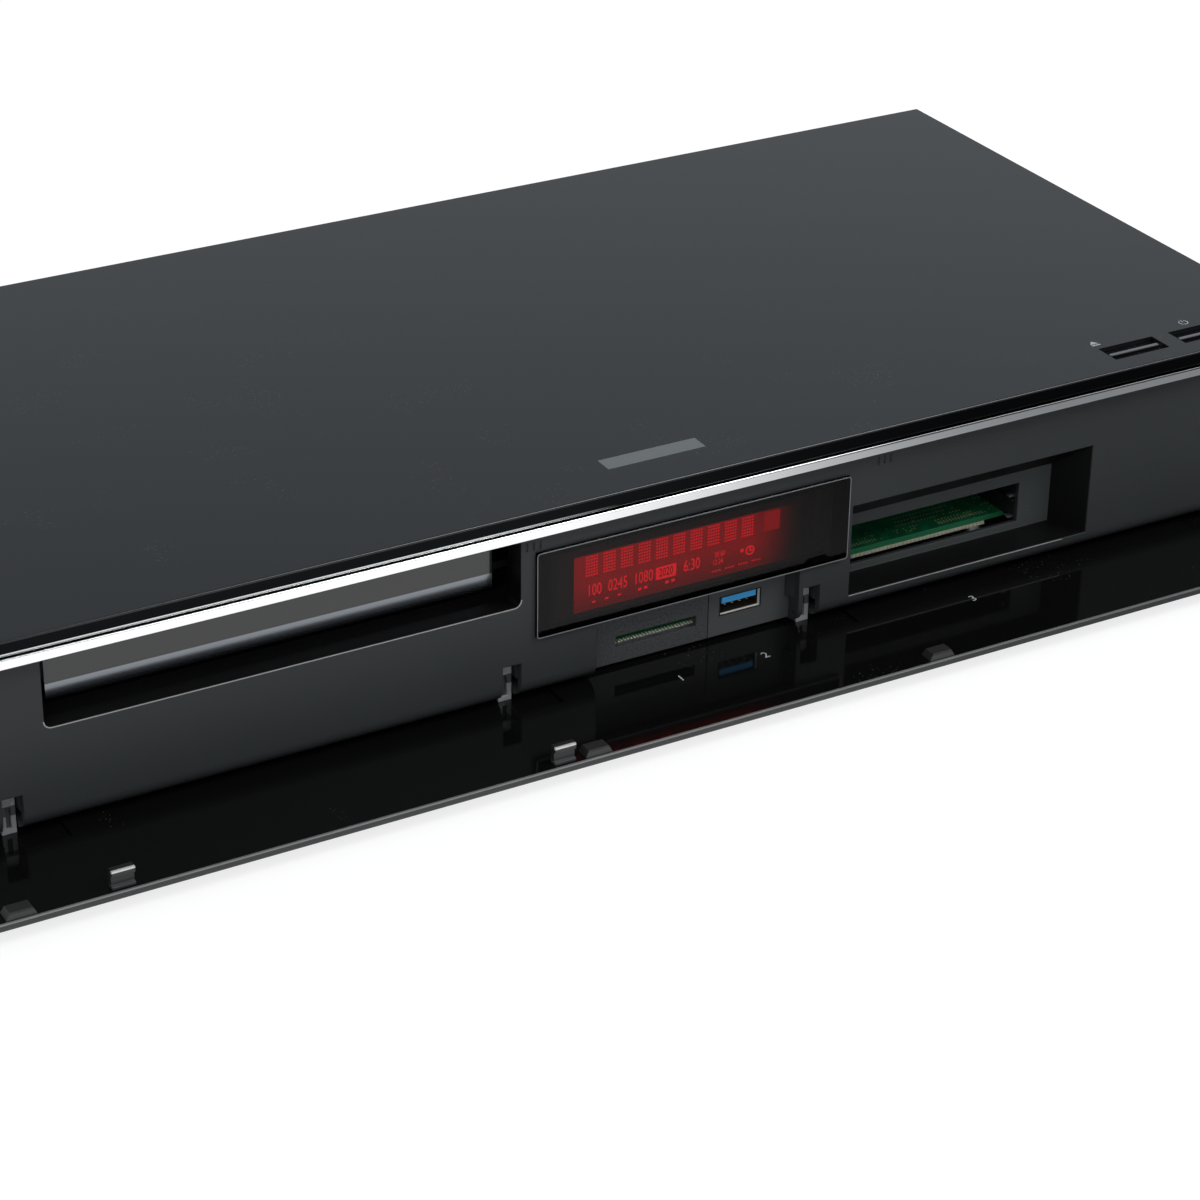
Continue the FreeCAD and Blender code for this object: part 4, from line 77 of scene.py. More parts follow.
class Graph:
    """A node tree that is being wired."""

    def __init__(self, tree: bpy.types.NodeTree) -> None:
        """Starts on an empty tree.

        Args:
            tree: the tree to fill.
        """
        self.tree = tree
        tree.nodes.clear()

    def add(self, kind: str, values: dict | None = None, **settings: object) -> bpy.types.Node:
        """Adds one node.

        Args:
            kind: the node's type.
            values: socket name or number to a plain value or to a socket to link from.
            **settings: properties of the node.

        Returns:
            The new node.
        """
        node = self.tree.nodes.new(kind)
        for name, value in settings.items():
            setattr(node, name, value)
        for name, value in (values or {}).items():
            if isinstance(value, bpy.types.NodeSocket):
                self.tree.links.new(value, node.inputs[name])
            else:
                node.inputs[name].default_value = value
        return node

    def maths(self, operation: str, first: object, second: object = 0.0) -> bpy.types.NodeSocket:
        """Adds one sum and returns its result.

        Args:
            operation: the name of the sum.
            first: its first value or socket.
            second: its second value or socket.

        Returns:
            The result's socket.
        """
        return self.add("ShaderNodeMath", {0: first, 1: second}, operation=operation).outputs[0]

    def shift(self, share: object, first: object, second: object) -> bpy.types.NodeSocket:
        """Mixes two numbers.

        Args:
            share: how much of the second counts.
            first: the first number or socket.
            second: the second number or socket.

        Returns:
            The mixed number's socket.
        """
        step = self.maths("MULTIPLY", share, self.maths("SUBTRACT", second, first))
        return self.maths("ADD", first, step)

    def blend(self, share: object, first: object, second: object) -> bpy.types.NodeSocket:
        """Mixes two colours.

        Args:
            share: how much of the second shows.
            first: the first colour or socket.
            second: the second colour or socket.

        Returns:
            The mixed colour's socket.
        """
        return self.add("ShaderNodeMix", {0: share, 6: first, 7: second}, data_type="RGBA").outputs[2]

    def group(self, tree: bpy.types.NodeTree, values: dict) -> bpy.types.NodeOutputs:
        """Places a shared group.

        Args:
            tree: the group.
            values: socket name to a plain value or to a socket to link from.

        Returns:
            The group's results.
        """
        return self.add("ShaderNodeGroup", values, node_tree=tree).outputs

    def end(self, surface: bpy.types.NodeSocket, kind: str = "ShaderNodeOutputMaterial") -> None:
        """Ends a material or a world with its surface.

        Args:
            surface: the shader's socket.
            kind: the type of the last node.
        """
        self.add(kind, {"Surface": surface})


def opaque(color: Triple) -> tuple[float, float, float, float]:
    """Returns a colour with full cover."""
    return (*color, 1.0)


def grey(level: float) -> tuple[float, float, float, float]:
    """Returns an even grey with full cover."""
    return opaque((level, level, level))


def metres(place: Triple) -> Triple:
    """Returns a place or size in metres that was given in millimetres."""
    return tuple(value * MM for value in place)


def extent(node: str) -> tuple[Vector, Vector]:
    """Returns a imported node's lowest and highest corner, in millimetres."""
    low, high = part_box(node)
    return Vector(low) / MM, Vector(high) / MM


def start_material(name: str, color: Triple) -> tuple[bpy.types.Material, Graph, bpy.types.NodeSocket]:
    """Starts a material.

    Args:
        name: its name.
        color: its colour where only one is shown.

    Returns:
        The material, its graph, and the socket with the place on the piece.
    """
    material = bpy.data.materials.new(name)
    material.use_nodes = True
    material.diffuse_color = opaque(color)
    graph = Graph(material.node_tree)
    return material, graph, graph.add("ShaderNodeTexCoord").outputs["Object"]


class Effects:
    """Shader groups that several finishes share.

    Attributes:
        SPECK: share of a cell that a speck of dust fills.
        CLEAN: level of the slow noise up to which no dust lies.
        FINE: share of the fine noise in a grain. Pits have the rest.
    """

    SPECK = 0.16
    CLEAN = 0.6
    FINE = 0.6
    _made: dict[str, bpy.types.NodeTree] = {}

    @classmethod
    def _start(cls, name: str, inputs: dict[str, tuple[str, object]], outputs: dict[str, str]) -> Graph:
        """Starts a group with named sockets.

        Args:
            name: the group's name.
            inputs: socket name to its kind and default.
            outputs: socket name to its kind.

        Returns:
            The group's graph, with its two end nodes named "in" and "out".
        """
        tree = bpy.data.node_groups.new(name, "ShaderNodeTree")
        for label, (kind, default) in inputs.items():
            socket = tree.interface.new_socket(label, in_out="INPUT", socket_type=kind)
            if default is not None:
                socket.default_value = default
        for label, kind in outputs.items():
            tree.interface.new_socket(label, in_out="OUTPUT", socket_type=kind)
        graph = Graph(tree)
        graph.add("NodeGroupInput", name="in")
        graph.add("NodeGroupOutput", name="out")
        cls._made[name] = tree
        return graph

    @classmethod
    def drift(cls) -> bpy.types.NodeTree:
        """Slow change of a colour and of its gloss, as mouldings and paint have.

        Returns:
            The group: Position, Colour, Roughness, Scale, Depth in; Colour, Roughness out.
        """
        if "drift" in cls._made:
            return cls._made["drift"]
        graph = cls._start(
            "drift",
            {
                "Position": ("NodeSocketVector", None),
                "Colour": ("NodeSocketColor", (0.5, 0.5, 0.5, 1.0)),
                "Roughness": ("NodeSocketFloat", 0.4),
                "Scale": ("NodeSocketFloat", 30.0),
                "Depth": ("NodeSocketFloat", 0.1),
            },
            {"Colour": "NodeSocketColor", "Roughness": "NodeSocketFloat"},
        )
        ends = graph.tree.nodes
        given = ends["in"].outputs
        cloud = graph.add(
            "ShaderNodeTexNoise",
            {"Vector": given["Position"], "Scale": given["Scale"], "Detail": 4.0, "Roughness": 0.55},
        )
        swing = graph.maths("MULTIPLY", graph.maths("SUBTRACT", cloud.outputs[0], 0.5), given["Depth"])
        share = graph.maths("ADD", graph.maths("MULTIPLY", swing, 2.0), 1.0)
        tint = graph.add(
            "ShaderNodeVectorMath", {"Vector": given["Colour"], "Scale": share}, operation="SCALE"
        )
        graph.tree.links.new(tint.outputs[0], ends["out"].inputs["Colour"])
        rough = graph.maths("MULTIPLY", given["Roughness"], share)
        graph.tree.links.new(rough, ends["out"].inputs["Roughness"])
        return graph.tree

    @classmethod
    def handling(cls) -> bpy.types.NodeTree:
        """Thin dust on faces that look up, and faint smears where hands and cloths have been.

        Returns:
            The group: Position, Dust, Smears in; Dust, Smears masks out.
        """
        if "handling" in cls._made:
            return cls._made["handling"]
        graph = cls._start(
            "handling",
            {
                "Position": ("NodeSocketVector", None),
                "Dust": ("NodeSocketFloat", 0.1),
                "Smears": ("NodeSocketFloat", 0.1),
            },
            {"Dust": "NodeSocketFloat", "Smears": "NodeSocketFloat"},
        )
        ends = graph.tree.nodes
        given = ends["in"].outputs
        specks = graph.add(
            "ShaderNodeTexVoronoi", {"Vector": given["Position"], "Scale": 900.0, "Randomness": 1.0}
        )
        speck = graph.maths("LESS_THAN", specks.outputs["Distance"], cls.SPECK)
        patches = graph.add(
            "ShaderNodeTexNoise", {"Vector": given["Position"], "Scale": 45.0, "Detail": 5.0}
        )
        sparse = graph.maths("GREATER_THAN", patches.outputs[0], cls.CLEAN)
        normal = graph.add("ShaderNodeNewGeometry").outputs["Normal"]
        up = graph.add("ShaderNodeSeparateXYZ", {0: normal}).outputs[2]
        lies = graph.maths("MAXIMUM", up, 0.0)
        dust = graph.maths("MULTIPLY", graph.maths("MULTIPLY", speck, sparse), lies)
        graph.tree.links.new(
            graph.maths("MULTIPLY", dust, given["Dust"]), ends["out"].inputs["Dust"]
        )
        swirl = graph.add(
            "ShaderNodeTexNoise",
            {"Vector": given["Position"], "Scale": 14.0, "Detail": 6.0, "Distortion": 1.8},
        )
        graph.tree.links.new(
            graph.maths("MULTIPLY", swirl.outputs[0], given["Smears"]), ends["out"].inputs["Smears"]
        )
        return graph.tree

    @classmethod
    def grain(cls) -> bpy.types.NodeTree:
        """Fine moulded or cast grain.

        Returns:
            The group: Position, Scale in; Height out.
        """
        if "grain" in cls._made:
            return cls._made["grain"]
        graph = cls._start(
            "grain",
            {"Position": ("NodeSocketVector", None), "Scale": ("NodeSocketFloat", 2500.0)},
            {"Height": "NodeSocketFloat"},
        )
        ends = graph.tree.nodes
        given = ends["in"].outputs
        fine = graph.add(
            "ShaderNodeTexNoise", {"Vector": given["Position"], "Scale": given["Scale"], "Detail": 3.0}
        )
        pits = graph.add(
            "ShaderNodeTexVoronoi", {"Vector": given["Position"], "Scale": given["Scale"]}
        )
        height = graph.maths(
            "ADD",
            graph.maths("MULTIPLY", fine.outputs[0], cls.FINE),
            graph.maths("MULTIPLY", pits.outputs["Distance"], 1.0 - cls.FINE),
        )
        graph.tree.links.new(height, ends["out"].inputs["Height"])
        return graph.tree

    @classmethod
    def brushing(cls) -> bpy.types.NodeTree:
        """Fine straight lines left by a brush or by rolling.

        Returns:
            The group: Position, Stretch in; Height out.
        """
        if "brushing" in cls._made:
            return cls._made["brushing"]
        graph = cls._start(
            "brushing",
            {
                "Position": ("NodeSocketVector", None),
                "Stretch": ("NodeSocketVector", (10.0, 1500.0, 1500.0)),
            },
            {"Height": "NodeSocketFloat"},
        )
        ends = graph.tree.nodes
        given = ends["in"].outputs
        drawn = graph.add(
            "ShaderNodeVectorMath", {0: given["Position"], 1: given["Stretch"]}, operation="MULTIPLY"
        )
        lines = graph.add(
            "ShaderNodeTexNoise", {"Vector": drawn.outputs[0], "Scale": 1.0, "Detail": 4.0}
        )
        graph.tree.links.new(lines.outputs[0], ends["out"].inputs["Height"])
        return graph.tree

    @classmethod
    def zone(cls) -> bpy.types.NodeTree:
        """A mask that is 1 inside a box, 0 outside, and rises over a width of its own.

        Returns:
            The group: Position, Low, High, Soft in; Mask out.
        """
        if "zone" in cls._made:
            return cls._made["zone"]
        graph = cls._start(
            "zone",
            {
                "Position": ("NodeSocketVector", None),
                "Low": ("NodeSocketVector", (0.0, 0.0, 0.0)),
                "High": ("NodeSocketVector", (1.0, 1.0, 1.0)),
                "Soft": ("NodeSocketVector", metres((SHARP, SHARP, SHARP))),
            },
            {"Mask": "NodeSocketFloat"},
        )
        ends = graph.tree.nodes
        given = ends["in"].outputs
        spot = graph.add("ShaderNodeSeparateXYZ", {0: given["Position"]}).outputs
        low = graph.add("ShaderNodeSeparateXYZ", {0: given["Low"]}).outputs
        high = graph.add("ShaderNodeSeparateXYZ", {0: given["High"]}).outputs
        soft = graph.add("ShaderNodeSeparateXYZ", {0: given["Soft"]}).outputs
        mask: object = 1.0
        for i in range(3):
            over = graph.maths("DIVIDE", graph.maths("SUBTRACT", spot[i], low[i]), soft[i])
            under = graph.maths("DIVIDE", graph.maths("SUBTRACT", high[i], spot[i]), soft[i])
            near = graph.maths("MINIMUM", over, under)
            inside = graph.maths("MINIMUM", graph.maths("MAXIMUM", near, 0.0), 1.0)
            mask = graph.maths("MULTIPLY", mask, inside)
        graph.tree.links.new(mask, ends["out"].inputs["Mask"])
        return graph.tree


@dataclass(frozen=True)
class Zone:
    """A box, in millimetres, in which a finish changes to another colour.

    Attributes:
        low: the lowest corner.
        high: the highest corner.
        color: the colour inside it.
        metallic: how metallic it is inside.
        rough: times the roughness outside it.
        soft: the width over which it fades, inside each side.
    """

    low: Triple
    high: Triple
    color: Triple
    metallic: float = 0.0
    rough: float = 1.0
    soft: Triple = (SHARP, SHARP, SHARP)

    def mask(self, graph: Graph, place: object) -> bpy.types.NodeSocket:
        """Adds this box's mask to a material.

        Args:
            graph: the material's nodes.
            place: the socket with the place on the piece.

        Returns:
            The mask's socket.
        """
        sides = {"Low": metres(self.low), "High": metres(self.high), "Soft": metres(self.soft)}
        return graph.group(Effects.zone(), {"Position": place, **sides})["Mask"]


@dataclass(frozen=True)
class Finish:
    """An opaque finish of plastic, paint, rubber or metal.

    Attributes:
        name: the material's name.
        color: its main colour.
        roughness: its mean roughness.
        metallic: 1 for bare metal.
        specular: strength of the reflection of a plastic or paint.
        coat: weight of a clear coat.
        grain: the fine surface.
        grain_scale: how fine that surface is.
        relief: its depth in metres.
        drift: how far colour and gloss wander.
        mottle: how far the fine surface changes the colour.
        dust: how much dust lies on it.
        smears: how strongly smears dull it.
        edge: radius in metres to which light sees its sharp edges rounded.
        zones: boxes with a colour of their own.
        DRIFT_SCALE: how fine the wandering is.
        DUST_COLOR: the colour of dust.
        DULLING: roughness that full dust or a full smear adds.
        COAT_ROUGHNESS: roughness of a clear coat.
        ALONG: how stretched brushed lines are along their way.
        ACROSS: how fine they are across it.
        SMOOTH_SCALE: how fine the waves of a smooth surface are.
        SMOOTH_BUMP: how strongly they show.
        GRAIN_BUMP: how strongly a grain shows.
        EDGE_SAMPLES: rays that look for an edge.
    """

    DRIFT_SCALE: ClassVar[float] = 22.0
    DUST_COLOR: ClassVar[Triple] = (0.42, 0.41, 0.39)
    DULLING: ClassVar[float] = 0.5
    COAT_ROUGHNESS: ClassVar[float] = 0.05
    ALONG: ClassVar[float] = 12.0
    ACROSS: ClassVar[float] = 1800.0
    SMOOTH_SCALE: ClassVar[float] = 160.0
    SMOOTH_BUMP: ClassVar[float] = 0.25
    GRAIN_BUMP: ClassVar[float] = 0.6
    EDGE_SAMPLES: ClassVar[int] = 4

    name: str
    color: Triple
    roughness: float
    metallic: float = 0.0
    specular: float = 0.5
    coat: float = 0.0
    grain: Grain = Grain.SMOOTH
    grain_scale: float = 2500.0
    relief: float = 0.00001
    drift: float = 0.06
    mottle: float = 0.0
    dust: float = 0.25
    smears: float = 0.1
    edge: float = 0.0002
    zones: tuple[Zone, ...] = ()

    def build(self) -> bpy.types.Material:
        """Makes the material.

        Returns:
            The new material.
        """
        material, graph, place = start_material(self.name, self.color)
        color: object = opaque(self.color)
        metallic: object = self.metallic
        rough: object = self.roughness
        part_metal = any(zone.metallic != self.metallic for zone in self.zones)
        part_dull = any(zone.rough != 1.0 for zone in self.zones)
        for zone in self.zones:
            mask = zone.mask(graph, place)
            color = graph.blend(mask, color, opaque(zone.color))
            if part_metal:
                metallic = graph.shift(mask, metallic, zone.metallic)
            if part_dull:
                rough = graph.shift(mask, rough, self.roughness * zone.rough)
        self._shade(graph, place, color, metallic, rough)
        return material

    def _shade(
        self,
        graph: Graph,
        place: bpy.types.NodeSocket,
        color: object,
        metallic: object,
        base_rough: object,
    ) -> None:
        """Adds drift, dust, smears and relief, and ends the material.

        Args:
            graph: the material's tree.
            place: the position socket.
            color: the colour or its socket.
            metallic: the metallic value or its socket.
            base_rough: the roughness or its socket.
        """
        if self.mottle > 0.0:
            color = graph.group(
                Effects.drift(),
                {"Position": place, "Colour": color, "Scale": self.grain_scale, "Depth": self.mottle},
            )["Colour"]
        drift = graph.group(
            Effects.drift(),
            {
                "Position": place,
                "Colour": color,
                "Roughness": base_rough,
                "Scale": self.DRIFT_SCALE,
                "Depth": self.drift,
            },
        )
        use = graph.group(
            Effects.handling(), {"Position": place, "Dust": self.dust, "Smears": self.smears}
        )
        rough = drift["Roughness"]
        for mask in (use["Smears"], use["Dust"]):
            rough = graph.maths("ADD", rough, graph.maths("MULTIPLY", mask, self.DULLING))
        shader = graph.add(
            "ShaderNodeBsdfPrincipled",
            {
                "Base Color": graph.blend(use["Dust"], drift["Colour"], opaque(self.DUST_COLOR)),
                "Roughness": rough,
                "Metallic": metallic,
                "Specular IOR Level": self.specular,
                "Coat Weight": self.coat,
                "Coat Roughness": self.COAT_ROUGHNESS,
                "Normal": self._relief(graph, place),
            },
        )
        graph.end(shader.outputs[0])

    def _relief(self, graph: Graph, place: bpy.types.NodeSocket) -> bpy.types.NodeSocket:
        """Turns the finish's grain into a bumped normal.

        Args:
            graph: the material's tree.
            place: the position socket.

        Returns:
            The normal's socket.
        """
        smooth = self.grain is Grain.SMOOTH
        if self.grain in (Grain.BRUSHED_X, Grain.BRUSHED_Y):
            stretch = [self.ACROSS] * 3
            stretch[0 if self.grain is Grain.BRUSHED_X else 1] = self.ALONG
            drawn = graph.group(Effects.brushing(), {"Position": place, "Stretch": stretch})
        else:
            scale = self.SMOOTH_SCALE if smooth else self.grain_scale
            drawn = graph.group(Effects.grain(), {"Position": place, "Scale": scale})
        values = {
            "Height": drawn["Height"],
            "Strength": self.SMOOTH_BUMP if smooth else self.GRAIN_BUMP,
            "Distance": self.relief,
        }
        if self.edge > 0.0:
            edge_highlight = graph.add("ShaderNodeBevel", {"Radius": self.edge}, samples=self.EDGE_SAMPLES)
            values["Normal"] = edge_highlight.outputs[0]
        return graph.add("ShaderNodeBump", values).outputs["Normal"]


@dataclass(frozen=True)
class BoardFinish(Finish):
    """Solder-masked circuit board: copper lines under the green, and bright vias.

    Attributes:
        trace: the colour over copper lines.
        pad: the colour of a bare via.
        line_scale: how close the lines are.
        line_width: their width, as a share of that.
        via_scale: how close the vias can be.
        via_size: a via's reach, as a share of that.
        via_sparse: level of the slow noise up to which no via stands.
        via_metallic: how metallic a via is.
    """

    trace: Triple = (0.007, 0.14, 0.056)
    pad: Triple = (0.5, 0.42, 0.28)
    line_scale: float = 150.0
    line_width: float = 0.16
    via_scale: float = 420.0
    via_size: float = 0.17
    via_sparse: float = 0.6
    via_metallic: float = 0.9

    def build(self) -> bpy.types.Material:
        """Makes the material.

        Returns:
            The new material.
        """
        material, graph, place = start_material(self.name, self.color)
        cells = graph.add(
            "ShaderNodeTexVoronoi",
            {"Vector": place, "Scale": self.via_scale, "Randomness": 0.35},
            distance="CHEBYCHEV",
        ).outputs["Distance"]
        lines = graph.add(
            "ShaderNodeTexVoronoi",
            {"Vector": place, "Scale": self.line_scale, "Randomness": 0.7},
            distance="MANHATTAN",
            feature="DISTANCE_TO_EDGE",
        ).outputs["Distance"]
        copper = graph.maths("LESS_THAN", lines, self.line_width)
        via = graph.maths("LESS_THAN", cells, self.via_size)
        slow = graph.add("ShaderNodeTexNoise", {"Vector": place, "Scale": 90.0}).outputs[0]
        bare = graph.maths("MULTIPLY", via, graph.maths("GREATER_THAN", slow, self.via_sparse))
        color = graph.blend(copper, opaque(self.color), opaque(self.trace))
        color = graph.blend(bare, color, opaque(self.pad))
        metallic = graph.maths("MULTIPLY", bare, self.via_metallic)
        for zone in self.zones:
            mask = zone.mask(graph, place)
            color = graph.blend(mask, color, opaque(zone.color))
            metallic = graph.maths("MULTIPLY", metallic, graph.maths("SUBTRACT", 1.0, mask))
        self._shade(graph, place, color, metallic, self.roughness)
        return material


@dataclass(frozen=True)
class ClearFinish:
    """Clear or smoked acrylic and glass.

    Attributes:
        name: the material's name.
        color: the tint that light takes at each face that it passes.
        roughness: roughness of its faces.
        index: its refractive index.
        drift: how far colour and gloss wander.
        dust: how much dust lies on it.
        smears: how strongly smears dull it.
    """

    name: str
    color: Triple
    roughness: float = 0.006
    index: float = 1.49
    drift: float = 0.1
    dust: float = 0.01
    smears: float = 0.002

    def build(self) -> bpy.types.Material:
        """Makes the material.

        Returns:
            The new material.
        """
        material, graph, place = start_material(self.name, self.color)
        drift = graph.group(
            Effects.drift(),
            {
                "Position": place,
                "Colour": opaque(self.color),
                "Roughness": self.roughness,
                "Scale": 25.0,
                "Depth": self.drift,
            },
        )
        use = graph.group(
            Effects.handling(), {"Position": place, "Dust": self.dust, "Smears": self.smears}
        )
        dull = graph.maths("ADD", use["Dust"], use["Smears"])
        shader = graph.add(
            "ShaderNodeBsdfPrincipled",
            {
                "Base Color": drift["Colour"],
                "Roughness": graph.maths("ADD", drift["Roughness"], dull),
                "IOR": self.index,
                "Transmission Weight": 1.0,
            },
        )
        graph.end(shader.outputs[0])
        return material


@dataclass(frozen=True)
class GlowFinish:
    """The red of the lit display, which fades towards its right end and is dark outside its field.

    Attributes:
        name: the material's name.
        color: the lit colour.
        strength: its strength where it is brightest.
        low: the lit field's lowest corner, in millimetres.
        high: the lit field's highest corner, in millimetres.
        fade: millimetres across the case from where it starts to fade to where it is dark.
        floor: share of the light that is left at the field's lower edge.
        rise: height in millimetres over which the light grows from there.
        rest: share of the light that is left outside the field and past the fade.
        cell: millimetres from one line of the faint mesh before the phosphor to the next.
        cell_depth: how much the mesh takes.
        cloud: how much slow noise takes.
        unlit: the glass's colour without its light.
    """

    name: str
    color: Triple
    strength: float
    low: Triple = (-30.2, -90.0, 27.0)
    high: Triple = (41.5, -80.0, 45.9)
    fade: Pair = (24.0, 41.0)
    floor: float = 0.3
    rise: float = 10.0
    rest: float = 0.02
    cell: float = 0.55
    cell_depth: float = 0.08
    cloud: float = 0.3
    unlit: Triple = (0.008, 0.004, 0.004)

    def build(self) -> bpy.types.Material:
        """Makes the material.

        Returns:
            The new material.
        """
        material, graph, place = start_material(self.name, self.color)
        field = Zone(self.low, self.high, self.color).mask(graph, place)
        spot = graph.add("ShaderNodeSeparateXYZ", {0: place}).outputs
        fade = graph.add(
            "ShaderNodeMapRange",
            {
                "Value": spot[0],
                "From Min": self.fade[0] * MM,
                "From Max": self.fade[1] * MM,
                "To Min": 1.0,
                "To Max": self.rest,
            },
            interpolation_type="SMOOTHSTEP",
        ).outputs[0]
        sink = graph.add(
            "ShaderNodeMapRange",
            {
                "Value": spot[2],
                "From Min": self.low[2] * MM,
                "From Max": (self.low[2] + self.rise) * MM,
                "To Min": self.floor,
                "To Max": 1.0,
            },
        ).outputs[0]
        noise = graph.add("ShaderNodeTexNoise", {"Vector": place, "Scale": 60.0}).outputs[0]
        lines = graph.maths("MULTIPLY", spot[0], 2 * math.pi / (self.cell * MM))
        weave = graph.maths("MULTIPLY", graph.maths("SINE", lines), self.cell_depth)
        share = graph.maths("ADD", graph.maths("MULTIPLY", noise, self.cloud), 1.0 - self.cloud / 2)
        level = graph.maths("ADD", share, weave)
        level = graph.maths("MULTIPLY", level, graph.maths("MULTIPLY", fade, sink))
        level = graph.maths("MULTIPLY", level, graph.shift(field, self.rest, 1.0))
        glow = graph.add(
            "ShaderNodeVectorMath", {"Vector": self.color, "Scale": level}, operation="SCALE"
        ).outputs[0]
        shader = graph.add(
            "ShaderNodeBsdfPrincipled",
            {
                "Base Color": opaque(self.unlit),
                "Roughness": graph.maths("ADD", graph.maths("MULTIPLY", noise, 0.1), 0.25),
                "Emission Color": glow,
                "Emission Strength": self.strength,
            },
        )
        graph.end(shader.outputs[0])
        return material


class Rule:
    """A Geometry Nodes tree with named inputs."""

    def __init__(self, name: str) -> None:
        """Starts the tree with its material input and its one result.

        Args:
            name: the tree's name.
        """
        self.tree = bpy.data.node_groups.new(name, "GeometryNodeTree")
        self.tree.interface.new_socket("Geometry", in_out="OUTPUT", socket_type="NodeSocketGeometry")
        self.graph = Graph(self.tree)
        self.given = self.graph.add("NodeGroupInput")
        self.entry("Material", "Material")

    def entry(self, name: str, kind: str = "Float") -> bpy.types.NodeSocket:
        """Adds a named input.

        Args:
            name: its name.
            kind: what it takes.

        Returns:
            The socket that gives it inside the tree.
        """
        self.tree.interface.new_socket(name, in_out="INPUT", socket_type=f"NodeSocket{kind}")
        return self.given.outputs[name]

    def move(self, geometry: bpy.types.NodeSocket, way: object) -> bpy.types.NodeSocket:
        """Moves a geometry.

        Args:
            geometry: what is moved.
            way: how far, or the socket that says it.

        Returns:
            The moved geometry's socket.
        """
        values = {"Geometry": geometry, "Translation": way}
        return self.graph.add("GeometryNodeTransform", values).outputs[0]

    def repeat(
        self, points: bpy.types.NodeSocket, shape: bpy.types.NodeSocket, **more: object
    ) -> bpy.types.NodeSocket:
        """Puts a shape on points.

        Args:
            points: where.
            shape: what.
            **more: the node's other inputs.

        Returns:
            The instances' socket.
        """
        values = {"Points": points, "Instance": shape, **more}
        return self.graph.add("GeometryNodeInstanceOnPoints", values).outputs[0]

    def close(self, geometry: bpy.types.NodeSocket) -> bpy.types.NodeTree:
        """Realizes the instances, sets the material and ends the tree.

        Args:
            geometry: what the tree has made.

        Returns:
            The finished tree.
        """
        real = self.graph.add("GeometryNodeRealizeInstances", {0: geometry})
        done = self.graph.add(
            "GeometryNodeSetMaterial",
            {"Geometry": real.outputs[0], "Material": self.given.outputs["Material"]},
        )
        self.graph.add("NodeGroupOutput", {0: done.outputs[0]})
        return self.tree


